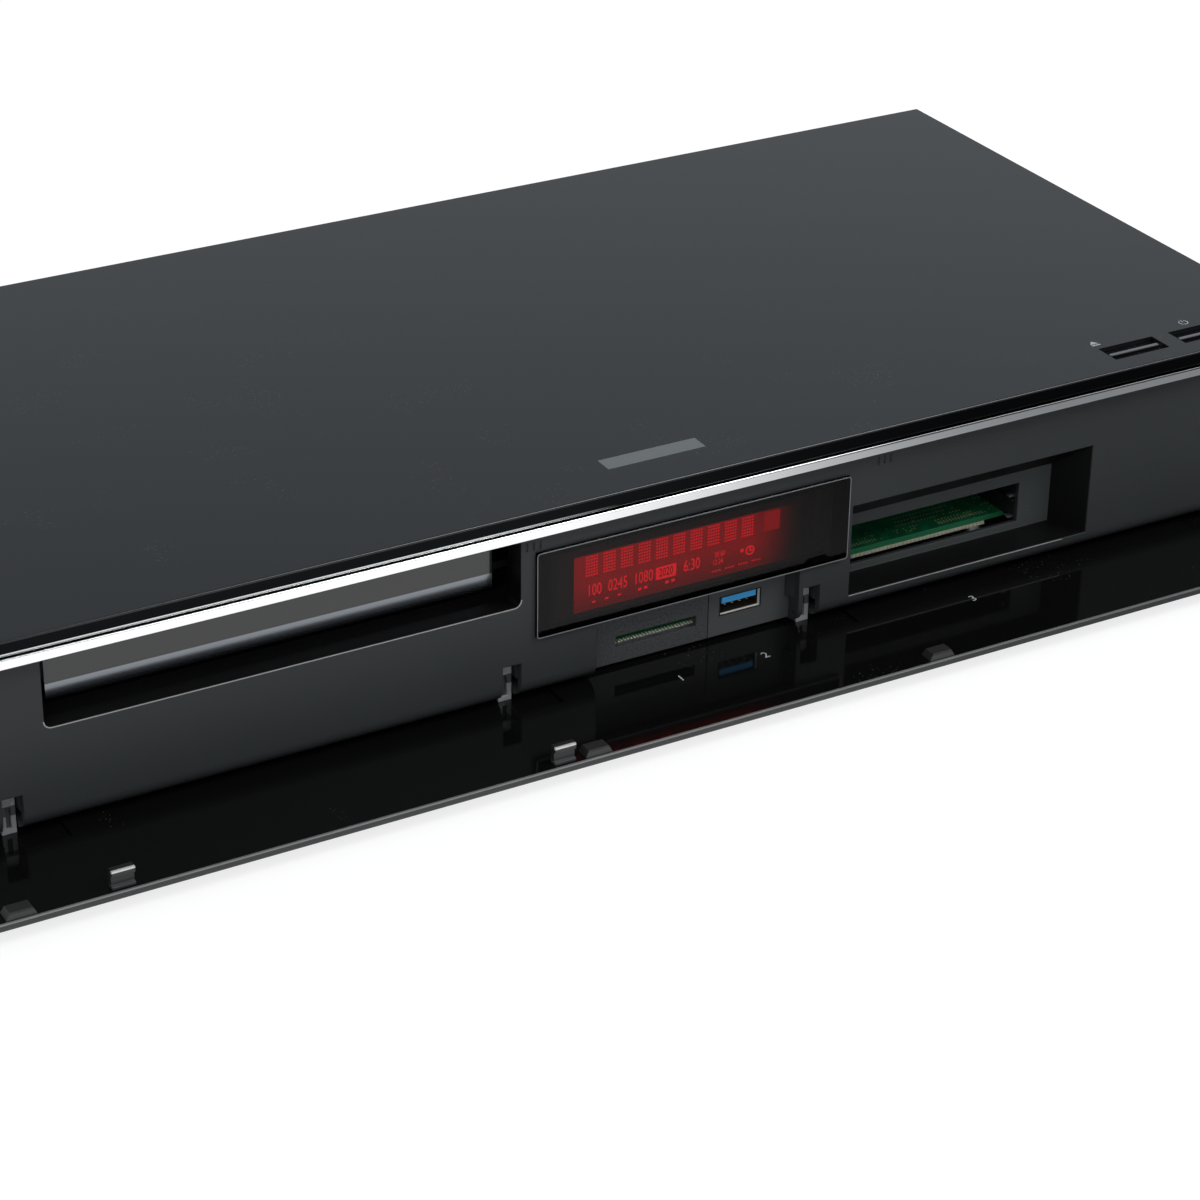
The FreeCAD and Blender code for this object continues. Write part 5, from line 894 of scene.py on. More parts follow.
class Rules:
    """The repeat rules used on the recorder.

    Attributes:
        LEVELS: what the lattice repeats, from the finest.
        CROWD: points tried in a square metre before those that are too near go.
        SMALLEST: the smallest part's size, as a share of the mean.
        CAN: a round part's radius, height and number of sides, in millimetres.
        CLUSTER_SCALE: how fine the clusters of solder pads are.
        CLUSTER_EDGE: how far a cluster reaches.
        CLUSTER_SLOPE: how fast the pads thin out at its edge.
        PAD_SIDES: sides of a solder pad.
    """

    LEVELS = ("Row", "Rank", "Block")
    CROWD = 100000.0
    SMALLEST = 0.5
    CAN = (1.0, 4.0, 16)
    CLUSTER_SCALE = 110.0
    CLUSTER_EDGE = 0.12
    CLUSTER_SLOPE = 6.0
    PAD_SIDES = 6
    _made: dict[str, bpy.types.NodeTree] = {}

    @classmethod
    def lattice(cls) -> bpy.types.NodeTree:
        """Bars in rows, rows in ranks and ranks in blocks.

        Returns:
            The tree: Corner, Bar, and for each of three levels a count and a step.
        """
        if "lattice" in cls._made:
            return cls._made["lattice"]
        rule = Rule("lattice")
        add = rule.graph.add
        corner = rule.entry("Corner", "Vector")
        bar = rule.entry("Bar", "Vector")
        half = add("ShaderNodeVectorMath", {0: bar, "Scale": 0.5}, operation="SCALE").outputs[0]
        shape = rule.move(add("GeometryNodeMeshCube", {"Size": bar}).outputs["Mesh"], half)
        for level in cls.LEVELS:
            count = rule.entry(f"{level} Count", "Int")
            step = rule.entry(f"{level} Step", "Vector")
            line = add("GeometryNodeMeshLine", {"Count": count, "Offset": step}, mode="OFFSET").outputs[0]
            shape = add("GeometryNodeRealizeInstances", {0: rule.repeat(line, shape)}).outputs[0]
        cls._made["lattice"] = rule.close(rule.move(shape, corner))
        return cls._made["lattice"]

    @classmethod
    def scatter(cls) -> bpy.types.NodeTree:
        """Small flat chips laid over a rectangle with a fixed seed, none nearer than a gap.

        Returns:
            The tree: Centre, Length, Width, Gap, Chip, Spread, Seed, Round.
        """
        if "scatter" in cls._made:
            return cls._made["scatter"]
        rule = Rule("scatter")
        add = rule.graph.add
        centre = rule.entry("Centre", "Vector")
        length = rule.entry("Length")
        width = rule.entry("Width")
        gap = rule.entry("Gap")
        chip = rule.entry("Chip", "Vector")
        spread = rule.entry("Spread")
        seed = rule.entry("Seed", "Int")
        is_round = rule.entry("Round", "Bool")
        sheet = add("GeometryNodeMeshGrid", {"Size X": length, "Size Y": width}).outputs[0]
        points = add(
            "GeometryNodeDistributePointsOnFaces",
            {"Mesh": rule.move(sheet, centre), "Distance Min": gap, "Density Max": cls.CROWD, "Seed": seed},
            distribute_method="POISSON",
        ).outputs["Points"]
        cube = add("GeometryNodeMeshCube", {"Size": chip}).outputs["Mesh"]
        lift = add("ShaderNodeVectorMath", {0: chip, 1: (0.0, 0.0, 0.5)}, operation="MULTIPLY").outputs[0]
        radius, height, sides = cls.CAN
        can = add(
            "GeometryNodeMeshCylinder", {"Vertices": sides, "Radius": radius * MM, "Depth": height * MM}
        ).outputs["Mesh"]
        part = add(
            "GeometryNodeSwitch",
            {
                "Switch": is_round,
                "False": rule.move(cube, lift),
                "True": rule.move(can, (0.0, 0.0, height / 2 * MM)),
            },
            input_type="GEOMETRY",
        ).outputs[0]
        largest = rule.graph.maths("ADD", 1.0, spread)
        size = add(
            "FunctionNodeRandomValue",
            {
                0: (cls.SMALLEST,) * 3,
                1: add("ShaderNodeCombineXYZ", {0: largest, 1: largest, 2: 1.0}).outputs[0],
                "Seed": seed,
            },
            data_type="FLOAT_VECTOR",
        ).outputs[0]
        turn = add("FunctionNodeRandomValue", {4: 0, 5: 1, "Seed": seed}, data_type="INT").outputs[2]
        quarter = rule.graph.maths("MULTIPLY", turn, math.pi / 2)
        angle = add("ShaderNodeCombineXYZ", {2: quarter}).outputs[0]
        cls._made["scatter"] = rule.close(rule.repeat(points, part, Rotation=angle, Scale=size))
        return cls._made["scatter"]

    @classmethod
    def pads(cls) -> bpy.types.NodeTree:
        """Small round pads at the crossings of a grid, some left out, with a fixed seed.

        Returns:
            The tree: Centre, Length, Width, Columns, Rows, Keep, Radius, Height, Seed.
        """
        if "pads" in cls._made:
            return cls._made["pads"]
        rule = Rule("pads")
        add, maths = rule.graph.add, rule.graph.maths
        centre = rule.entry("Centre", "Vector")
        length = rule.entry("Length")
        width = rule.entry("Width")
        columns = rule.entry("Columns", "Int")
        rows = rule.entry("Rows", "Int")
        keep = rule.entry("Keep")
        radius = rule.entry("Radius")
        height = rule.entry("Height")
        seed = rule.entry("Seed", "Int")
        sheet = add(
            "GeometryNodeMeshGrid",
            {"Size X": length, "Size Y": width, "Vertices X": columns, "Vertices Y": rows},
        ).outputs[0]
        place = add("GeometryNodeInputPosition").outputs[0]
        noise = add("ShaderNodeTexNoise", {"Vector": place, "Scale": cls.CLUSTER_SCALE}).outputs[0]
        odds = maths("ADD", maths("SUBTRACT", noise, 0.5), cls.CLUSTER_EDGE)
        odds = maths("MULTIPLY", maths("MULTIPLY", odds, cls.CLUSTER_SLOPE), keep)
        chance = add("FunctionNodeRandomValue", {"Seed": seed}, data_type="FLOAT").outputs[1]
        chosen = add(
            "FunctionNodeCompare", {0: chance, 1: odds}, data_type="FLOAT", operation="LESS_THAN"
        ).outputs[0]
        pad = add(
            "GeometryNodeMeshCylinder", {"Vertices": cls.PAD_SIDES, "Radius": radius, "Depth": height}
        ).outputs["Mesh"]
        laid = rule.repeat(rule.move(sheet, centre), pad, Selection=chosen)
        cls._made["pads"] = rule.close(laid)
        return cls._made["pads"]


def grow(name: str, tree: bpy.types.NodeTree, values: dict[str, object]) -> bpy.types.Object:
    """Runs a repeat rule and keeps its result as a plain mesh.

    Args:
        name: the piece's name.
        tree: the rule.
        values: input name to its value.

    Returns:
        The piece.
    """
    piece = bpy.data.objects.new(name, bpy.data.meshes.new(name))
    bpy.context.scene.collection.objects.link(piece)
    modifier = piece.modifiers.new("rule", "NODES")
    modifier.node_group = tree
    for item in tree.interface.items_tree:
        if item.item_type == "SOCKET" and item.in_out == "INPUT" and item.name in values:
            modifier[item.identifier] = values[item.name]
    graph = bpy.context.evaluated_depsgraph_get()
    result = bpy.data.meshes.new_from_object(piece.evaluated_get(graph), depsgraph=graph)
    piece.modifiers.remove(modifier)
    piece.data = result
    result.name = name
    return piece


def add_piece(name: str, mesh: bpy.types.Mesh) -> bpy.types.Object:
    """Puts a mesh in the scene as a piece at the origin.

    Args:
        name: the piece's name.
        mesh: its mesh, in place.

    Returns:
        The piece.
    """
    mesh.name = name
    piece = bpy.data.objects.new(name, mesh)
    bpy.context.scene.collection.objects.link(piece)
    return piece


def placing(middle: Triple, facing: Facing) -> Matrix:
    """Returns the move that takes a flat form to its place.

    Args:
        middle: the place, in millimetres.
        facing: which way the form looks there.

    Returns:
        The matrix.
    """
    return Matrix.Translation(Vector(middle) * MM) @ Euler(facing.value).to_matrix().to_4x4()


def place_form(name: str, form: bmesh.types.BMesh, middle: Triple, facing: Facing) -> bpy.types.Object:
    """Makes a piece of a flat form, and lets the form go.

    Args:
        name: the piece's name.
        form: the form, flat at the origin.
        middle: the place, in millimetres.
        facing: which way it looks there.

    Returns:
        The piece.
    """
    form.transform(placing(middle, facing))
    bmesh.ops.recalc_face_normals(form, faces=form.faces)
    mesh = bpy.data.meshes.new(name)
    form.to_mesh(mesh)
    form.free()
    return add_piece(name, mesh)


def raise_print(
    name: str, words: str, height: float, middle: Triple, facing: Facing, narrow: float = 1.0
) -> bpy.types.Object:
    """Makes plain figures as a thin raised print.

    Args:
        name: the piece's name.
        words: the figures.
        height: their height in millimetres.
        middle: the print's middle, in millimetres.
        facing: which way it looks.
        narrow: times its plain width.

    Returns:
        The piece.
    """
    curve = bpy.data.curves.new(name, "FONT")
    curve.body = words
    curve.size = height * MM / DIGIT_SHARE
    curve.extrude = PRINT * MM / 2
    curve.align_x = "CENTER"
    curve.align_y = "CENTER"
    curve.resolution_u = 3
    text = bpy.data.objects.new(name + "_text", curve)
    bpy.context.scene.collection.objects.link(text)
    graph = bpy.context.evaluated_depsgraph_get()
    mesh = bpy.data.meshes.new_from_object(text.evaluated_get(graph), depsgraph=graph)
    bpy.data.objects.remove(text)
    mesh.transform(placing(middle, facing) @ Matrix.Diagonal((narrow, 1.0, 1.0, 1.0)))
    return add_piece(name, mesh)


def outline_piece(
    name: str, shapes: list[list[Pair]], middle: Triple, facing: Facing, depth: float
) -> bpy.types.Object:
    """Makes thin flat signs from outlines, each with a wall all round.

    Args:
        name: the piece's name.
        shapes: closed outlines in millimetres, anticlockwise.
        middle: the sign's middle, in millimetres.
        facing: which way it looks.
        depth: its thickness in millimetres.

    Returns:
        The piece.
    """
    form = bmesh.new()
    for shape in shapes:
        under, over = (
            [form.verts.new(metres((x, y, side * depth / 2))) for x, y in shape] for side in (-1, 1)
        )
        form.faces.new(over)
        form.faces.new(list(reversed(under)))
        for i in range(len(shape)):
            j = (i + 1) % len(shape)
            form.faces.new((under[i], under[j], over[j], over[i]))
    return place_form(name, form, middle, facing)


def ring_piece(
    name: str,
    outer: list[Pair],
    inner: list[Pair],
    middle: Triple,
    facing: Facing,
    depth: float,
) -> bpy.types.Object:
    """Makes a thin flat ring between two closed outlines with as many points each.

    Args:
        name: the piece's name.
        outer: the outer outline in millimetres, anticlockwise.
        inner: the inner outline, point for point.
        middle: the ring's middle, in millimetres.
        facing: which way it looks.
        depth: its thickness in millimetres.

    Returns:
        The piece.
    """
    form = bmesh.new()
    loops = [
        [form.verts.new(metres((x, y, side * depth / 2))) for x, y in shape]
        for shape, side in ((outer, 1), (inner, 1), (inner, -1), (outer, -1))
    ]
    for k in range(4):
        first, second = loops[k], loops[(k + 1) % 4]
        for i in range(len(outer)):
            j = (i + 1) % len(outer)
            form.faces.new((first[i], first[j], second[j], second[i]))
    return place_form(name, form, middle, facing)


def box_shape(left: float, low: float, right: float, high: float) -> list[Pair]:
    """Returns a rectangle's outline.

    Args:
        left: its left side.
        low: its lower side.
        right: its right side.
        high: its upper side.

    Returns:
        The outline's points, anticlockwise.
    """
    return [(left, low), (right, low), (right, high), (left, high)]


def rounded_shape(width: float, height: float, radius: float, steps: int = 5) -> list[Pair]:
    """Returns the outline of a rectangle with round corners.

    Args:
        width: its width.
        height: its height.
        radius: its corners' radius.
        steps: how many runs a corner has.

    Returns:
        The outline's points, anticlockwise.
    """
    points = []
    for corner, (side, level) in enumerate(((1, -1), (1, 1), (-1, 1), (-1, -1))):
        x, y = side * (width / 2 - radius), level * (height / 2 - radius)
        for i in range(steps + 1):
            turn = math.radians(90 * (corner - 1 + i / steps))
            points.append((x + radius * math.cos(turn), y + radius * math.sin(turn)))
    return points


def lip_shape(length: float, radius: float, width: float, steps: int = 6) -> list[Pair]:
    """Returns the outline of a lip along an opening's lower edge, turned up round both corners.

    Args:
        length: the opening's width.
        radius: its corners' radius.
        width: the lip's width.
        steps: how many runs a corner has.

    Returns:
        The outline's points, anticlockwise, from a lower edge at 0.
    """
    turns = [math.radians(180 + 90 * i / steps) for i in range(steps + 1)]
    reach = length / 2 - radius

    def run(size: float) -> list[Pair]:
        """Returns the points of one side of the lip."""
        left = [(-reach + size * math.cos(t), radius + size * math.sin(t)) for t in turns]
        return left + [(-x, y) for x, y in reversed(left)]

    return run(radius) + list(reversed(run(radius - width)))


def arc_shape(radius: float, width: float, start: float, end: float, steps: int) -> list[Pair]:
    """Returns the outline of a flat arc.

    Args:
        radius: its outer radius.
        width: its width.
        start: its first angle in degrees.
        end: its last angle in degrees.
        steps: how many runs it has.

    Returns:
        The outline's points.
    """
    turns = [math.radians(start + (end - start) * i / steps) for i in range(steps + 1)]
    outer = [(radius * math.cos(t), radius * math.sin(t)) for t in turns]
    inner = [((radius - width) * math.cos(t), (radius - width) * math.sin(t)) for t in reversed(turns)]
    return outer + inner


@dataclass(frozen=True)
class Palette:
    """Every finish of the recorder.

    Attributes:
        finishes: slot of the record to the finish that dresses it.
        own: node to a finish of its own, other than its slot's.
    """

    finishes: tuple[tuple[str, object], ...] = (
        ("lid_gloss", Finish(
            "lid_gloss", (0.006, 0.0075, 0.009), 0.17, relief=0.000003, drift=0.05, dust=0.1,
            smears=0.04, edge=0.0, zones=(
                # The front band; then the bead under it, painted dark all along and painted bright on its
                # left half, a painted reflection.
                Zone((-220, -92, 62.5), (220, -89.4, 65.4), (0.006, 0.007, 0.008), 1.0, 0.4),
                Zone((-220, -92, 60), (220, -88.0, 62.5), (0.004, 0.005, 0.005), 1.0, 0.6),
                Zone(
                    (-400, -92, 60), (-20, -88.0, 62.5), (0.62, 0.64, 0.64), 1.0, 0.9,
                    soft=(40, SHARP, SHARP),
                ),
            ),
        )),
        ("polished_strip", Finish(
            "polished_strip", (0.93, 0.94, 0.95), 0.12, metallic=1.0, grain=Grain.BRUSHED_X,
            relief=0.000002, drift=0.03, dust=0.0, smears=0.04, edge=0.0, zones=(
                # Painted reflection: to the right the upper edge is painted dark and the face darker and
                # duller.
                Zone(
                    (12, -95, 60.35), (400, -85, 61), (0.13, 0.135, 0.14), 1.0, 2.0,
                    soft=(60, SHARP, SHARP),
                ),
                Zone(
                    (30, -95, 57), (400, -85, 60.35), (0.8, 0.83, 0.86), 1.0, 1.2,
                    soft=(60, SHARP, SHARP),
                ),
            ),
        )),
        ("zinc_steel", Finish(
            "zinc_steel", (0.52, 0.53, 0.54), 0.36, metallic=1.0, grain=Grain.BRUSHED_X,
            relief=0.000006, drift=0.1, dust=0.1,
        )),
        ("black_steel", Finish(
            "black_steel", (0.022, 0.022, 0.024), 0.42, grain=Grain.CAST, grain_scale=1800.0,
            relief=0.00002,
        )),
        ("panel_satin", Finish(
            "panel_satin", (0.031, 0.034, 0.035), 0.42, specular=0.2, grain=Grain.MOULDED,
            grain_scale=3200.0, relief=0.000008, dust=0.06, smears=0.04, edge=0.00035, zones=(
                # Painted shade inside the tray's mouth and on the card recess's walls, and painted light on
                # the recess's back wall.
                Zone((-182.5, -85.5, 36), (-46.5, -60, 58), (0.003, 0.003, 0.003)),
                Zone((57, -85.4, 12.9), (142, -73.95, 42), (0.004, 0.004, 0.004)),
                Zone((57, -73.95, 12.9), (142, -73.4, 42), (0.058, 0.063, 0.062)),
            ),
        )),
        ("flap_gloss", Finish(
            "flap_gloss", (0.003, 0.003, 0.003), 0.06, specular=0.35, relief=0.000002, drift=0.04,
            dust=0.08, smears=0.03, edge=0.0, zones=(
                # The satin front edge, and a painted highlight along its upper line.
                Zone((-220, -122, 0), (220, -119.9, 6.55), (0.032, 0.033, 0.034), 0.0, 6.0),
                Zone((-220, -122, 6.55), (220, -119.7, 8), (0.2, 0.2, 0.2), 0.4, 5.0),
            ),
        )),
        ("black_plastic", Finish(
            "black_plastic", (0.009, 0.009, 0.0095), 0.4, grain=Grain.MOULDED, relief=0.00001,
        )),
        ("grained_plastic", Finish(
            "grained_plastic", (0.05, 0.053, 0.055), 0.5, grain=Grain.MOULDED,
            grain_scale=1500.0, relief=0.00012, mottle=1.1,
        )),
        ("tray_gloss", Finish(
            "tray_gloss", (0.010, 0.011, 0.012), 0.1, specular=0.35, coat=0.75, relief=0.000003,
            dust=0.1, smears=0.05, zones=(
                # A painted reflection across the tray's front slope, and painted shade on the foot under
                # it.
                Zone((-180, -80, 40.4), (-50, -76, 43.6), (0.19, 0.21, 0.235), 1.0, 1.6),
                Zone((-180, -80, 38), (-50, -76, 39.3), (0.004, 0.004, 0.004), 0.0, 3.0),
            ),
        )),
        ("hook_steel", Finish(
            "hook_steel", (0.020, 0.020, 0.022), 0.3, metallic=0.2, grain=Grain.BRUSHED_X,
            relief=0.000005, edge=0.0003, zones=(
                # A painted highlight on the bent top, and painted light on the foot.
                Zone((-220, -120, 11.7), (220, -118.0, 12.4), (0.6, 0.59, 0.57), 0.3),
                Zone((-220, -120, 7.0), (220, -116, 8.1), (0.07, 0.07, 0.072), 0.3),
            ),
        )),
        ("pin_steel", Finish(
            "pin_steel", (0.6, 0.6, 0.61), 0.22, metallic=1.0, grain=Grain.BRUSHED_X,
            relief=0.000003,
        )),
        ("smoked_window", ClearFinish("smoked_window", (0.13, 0.1, 0.1), 0.002, 1.24)),
        ("display_tube", GlowFinish("display_tube", (1.0, 0.006, 0.01), 1.05)),
        ("green_board", BoardFinish(
            "green_board", (0.004, 0.095, 0.038), 0.35, relief=0.00001, dust=0.1, zones=(
                # The card board's header, its front edge, and painted light on its inner part, which is
                # painted paler because little light gets in.
                Zone((60, -66.3, 12), (130, -63.6, 13.68), (0.6, 0.58, 0.44)),
                Zone((60, -66.4, 13.68), (130, -65.9, 15.5), (0.025, 0.2, 0.085)),
                Zone((60, -60, 13), (130, 60, 16), (0.03, 0.3, 0.14), soft=(SHARP, 16, SHARP)),
            ),
        )),
        ("blue_plastic", Finish(
            "blue_plastic", (0.07, 0.45, 0.9), 0.35, grain=Grain.MOULDED, zones=(
                # The tongue's underside, just above the springs.
                Zone((10, -85, 17), (40, -60, 17.58), (0.6, 0.42, 0.16), 0.6, 0.7),
            ),
        )),
        ("white_plastic", Finish(
            "white_plastic", (0.72, 0.72, 0.69), 0.42, grain=Grain.MOULDED,
        )),
        ("key_plastic", Finish(
            "key_plastic", (0.003, 0.003, 0.0035), 0.3, specular=0.25, relief=0.000004, dust=0.1,
            edge=0.0, zones=(
                # A painted highlight on the raised line along each key.
                Zone((140, -90, 65.3), (200, -60, 66), (0.13, 0.135, 0.15)),
            ),
        )),
        ("cast_alloy", Finish(
            "cast_alloy", (0.56, 0.57, 0.58), 0.45, metallic=1.0, grain=Grain.CAST,
            grain_scale=1500.0, relief=0.00003,
        )),
        ("grey_rubber", Finish(
            "grey_rubber", (0.035, 0.035, 0.036), 0.75, grain=Grain.CAST, relief=0.00003,
        )),
        ("sled_plastic", Finish(
            "sled_plastic", (0.04, 0.04, 0.044), 0.45, grain=Grain.MOULDED,
        )),
        ("lens_glass", ClearFinish("lens_glass", (0.5, 0.55, 0.85), 0.004, 1.6)),
    )
    own: tuple[tuple[str, object], ...] = (
        ("usb_shell", Finish(
            "shell_painted_highlights", (0.06, 0.05, 0.035), 0.3, metallic=0.5, grain=Grain.BRUSHED_Y,
            relief=0.000003, dust=0.0, edge=0.0, zones=(
                # The dark front rim, then painted highlights on the lower and right walls just behind it.
                Zone((17, -82, 13), (33, -80.5, 21), (0.008, 0.008, 0.008)),
                Zone((18.1, -80.5, 14.3), (31.6, -79.6, 15.1), (0.95, 0.93, 0.86)),
                Zone((30.9, -80.5, 14.3), (31.6, -79.3, 20.1), (0.8, 0.8, 0.78)),
            ),
        )),
        ("usb_bezel", Finish(
            "bezel_satin", (0.072, 0.076, 0.078), 0.42, specular=0.25, grain=Grain.MOULDED,
            relief=0.00001, edge=0.0003,
        )),
        ("button_well", Finish(
            "well_black", (0.003, 0.003, 0.003), 0.5, specular=0.2, grain=Grain.MOULDED,
            relief=0.00001, edge=0.0,
        )),
        ("flap_bumpers", Finish(
            "bumper_plastic", (0.012, 0.0118, 0.0115), 0.5, grain=Grain.CAST, relief=0.00003,
            edge=0.0003, zones=(
                # Painted light on the side that looks to the front.
                Zone((-220, -121, 7.0), (220, -118.9, 8.4), (0.034, 0.034, 0.033)),
            ),
        )),
        ("hinge_arms", Finish(
            "arm_satin", (0.11, 0.112, 0.116), 0.25, specular=0.8, grain=Grain.MOULDED,
            relief=0.000006, edge=0.0004, zones=(
                # Painted highlights on the knuckle and the foot.
                Zone((-200, -82, 14.4), (200, -76, 18.8), (0.6, 0.6, 0.62), 0.3),
                Zone((-200, -82, 6.3), (200, -80.6, 11.5), (0.6, 0.6, 0.62), 0.3),
            ),
        )),
        ("lan_socket", Finish(
            "network_shell", (0.52, 0.53, 0.54), 0.36, metallic=1.0, grain=Grain.BRUSHED_X,
            relief=0.000006, dust=0.1, zones=(
                # The opening's inside.
                Zone((66.5, 101.6, 15.8), (81.5, 117.2, 27.8), (0.014, 0.014, 0.015)),
            ),
        )),
        ("tuner", Finish(
            "tuner_can", (0.5, 0.5, 0.49), 0.3, metallic=1.0, grain=Grain.BRUSHED_Y,
            relief=0.000005, dust=0.1, zones=(
                # Painted shade on the floors of both bores.
                Zone((-19.2, 116.0, 18.6), (5.2, 116.4, 27.0), (0.01, 0.01, 0.01)),
            ),
        )),
        ("hinge_pins", Finish(
            "pin_dark", (0.02, 0.02, 0.021), 0.3, metallic=0.5, grain=Grain.BRUSHED_X,
            relief=0.000003,
        )),
    )

    def build(self) -> dict[str, bpy.types.Material]:
        """Makes every finish once.

        Returns:
            Slot name, or the name of a node with a finish of its own, to material.
        """
        return {name: finish.build() for name, finish in self.finishes + self.own}


@dataclass(frozen=True)
class Row:
    """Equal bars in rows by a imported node.

    Attributes:
        name: the piece's name.
        node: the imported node.
        start: the first bar's lowest corner from that node's lowest corner.
        bar: a bar's size.
        levels: pairs of a count and a step.
        finish: the name of their finish, where an assembly has more than one.
    """

    name: str
    node: str
    start: Triple
    bar: Triple
    levels: Levels
    finish: str = ""


@dataclass
class Assembly:
    """A sub-assembly that builds pieces and dresses them.

    Attributes:
        materials: slot name to material.
        body: the body that its pieces ride on.
    """

    materials: dict[str, bpy.types.Material]
    body: str = "case"

    def finish_piece(
        self, piece: bpy.types.Object, material: bpy.types.Material, slot: str, body: str | None = None
    ) -> None:
        """Gives a piece its material and its body.

        Args:
            piece: the piece.
            material: its material.
            slot: the record's slot that it belongs to; not used.
            body: the body it rides on, where that isn't the assembly's own.
        """
        piece.data.materials.clear()
        piece.data.materials.append(material)
        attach(piece, body or self.body)
        LOG.info("piece %s: %d faces", piece.name, len(piece.data.polygons))

    def bars(
        self,
        name: str,
        corner: Triple,
        bar: Triple,
        levels: Levels,
        slot: str,
        material: bpy.types.Material,
    ) -> None:
        """Makes one piece of repeated bars.

        Args:
            name: the piece's name.
            corner: the first bar's lowest corner, in millimetres.
            bar: a bar's size, in millimetres.
            levels: up to three pairs of a count and a step in millimetres.
            slot: its slot.
            material: its material.
        """
        values: dict[str, object] = {"Material": material, "Corner": metres(corner), "Bar": metres(bar)}
        filled = levels + ((1, (0.0, 0.0, 0.0)),) * (len(Rules.LEVELS) - len(levels))
        for label, (count, step) in zip(Rules.LEVELS, filled):
            values[f"{label} Count"] = count
            values[f"{label} Step"] = metres(step)
        self.finish_piece(grow(name, Rules.lattice(), values), material, slot)

    def row(self, row: Row, slot: str, material: bpy.types.Material) -> None:
        """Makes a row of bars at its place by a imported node.

        Args:
            row: its values.
            slot: its slot.
            material: its material.
        """
        low, _ = extent(row.node)
        self.bars(row.name, tuple(low + Vector(row.start)), row.bar, row.levels, slot, material)


@dataclass(frozen=True)
class Figures:
    """A group of plain figures in the display's second row.

    Attributes:
        words: the figures.
        across: their middle, from the glass's left side.
        lift: how far above the row's middle they stand.
        height: their height.
    """

    words: str
    across: float
    lift: float = 0.0
    height: float = 3.6


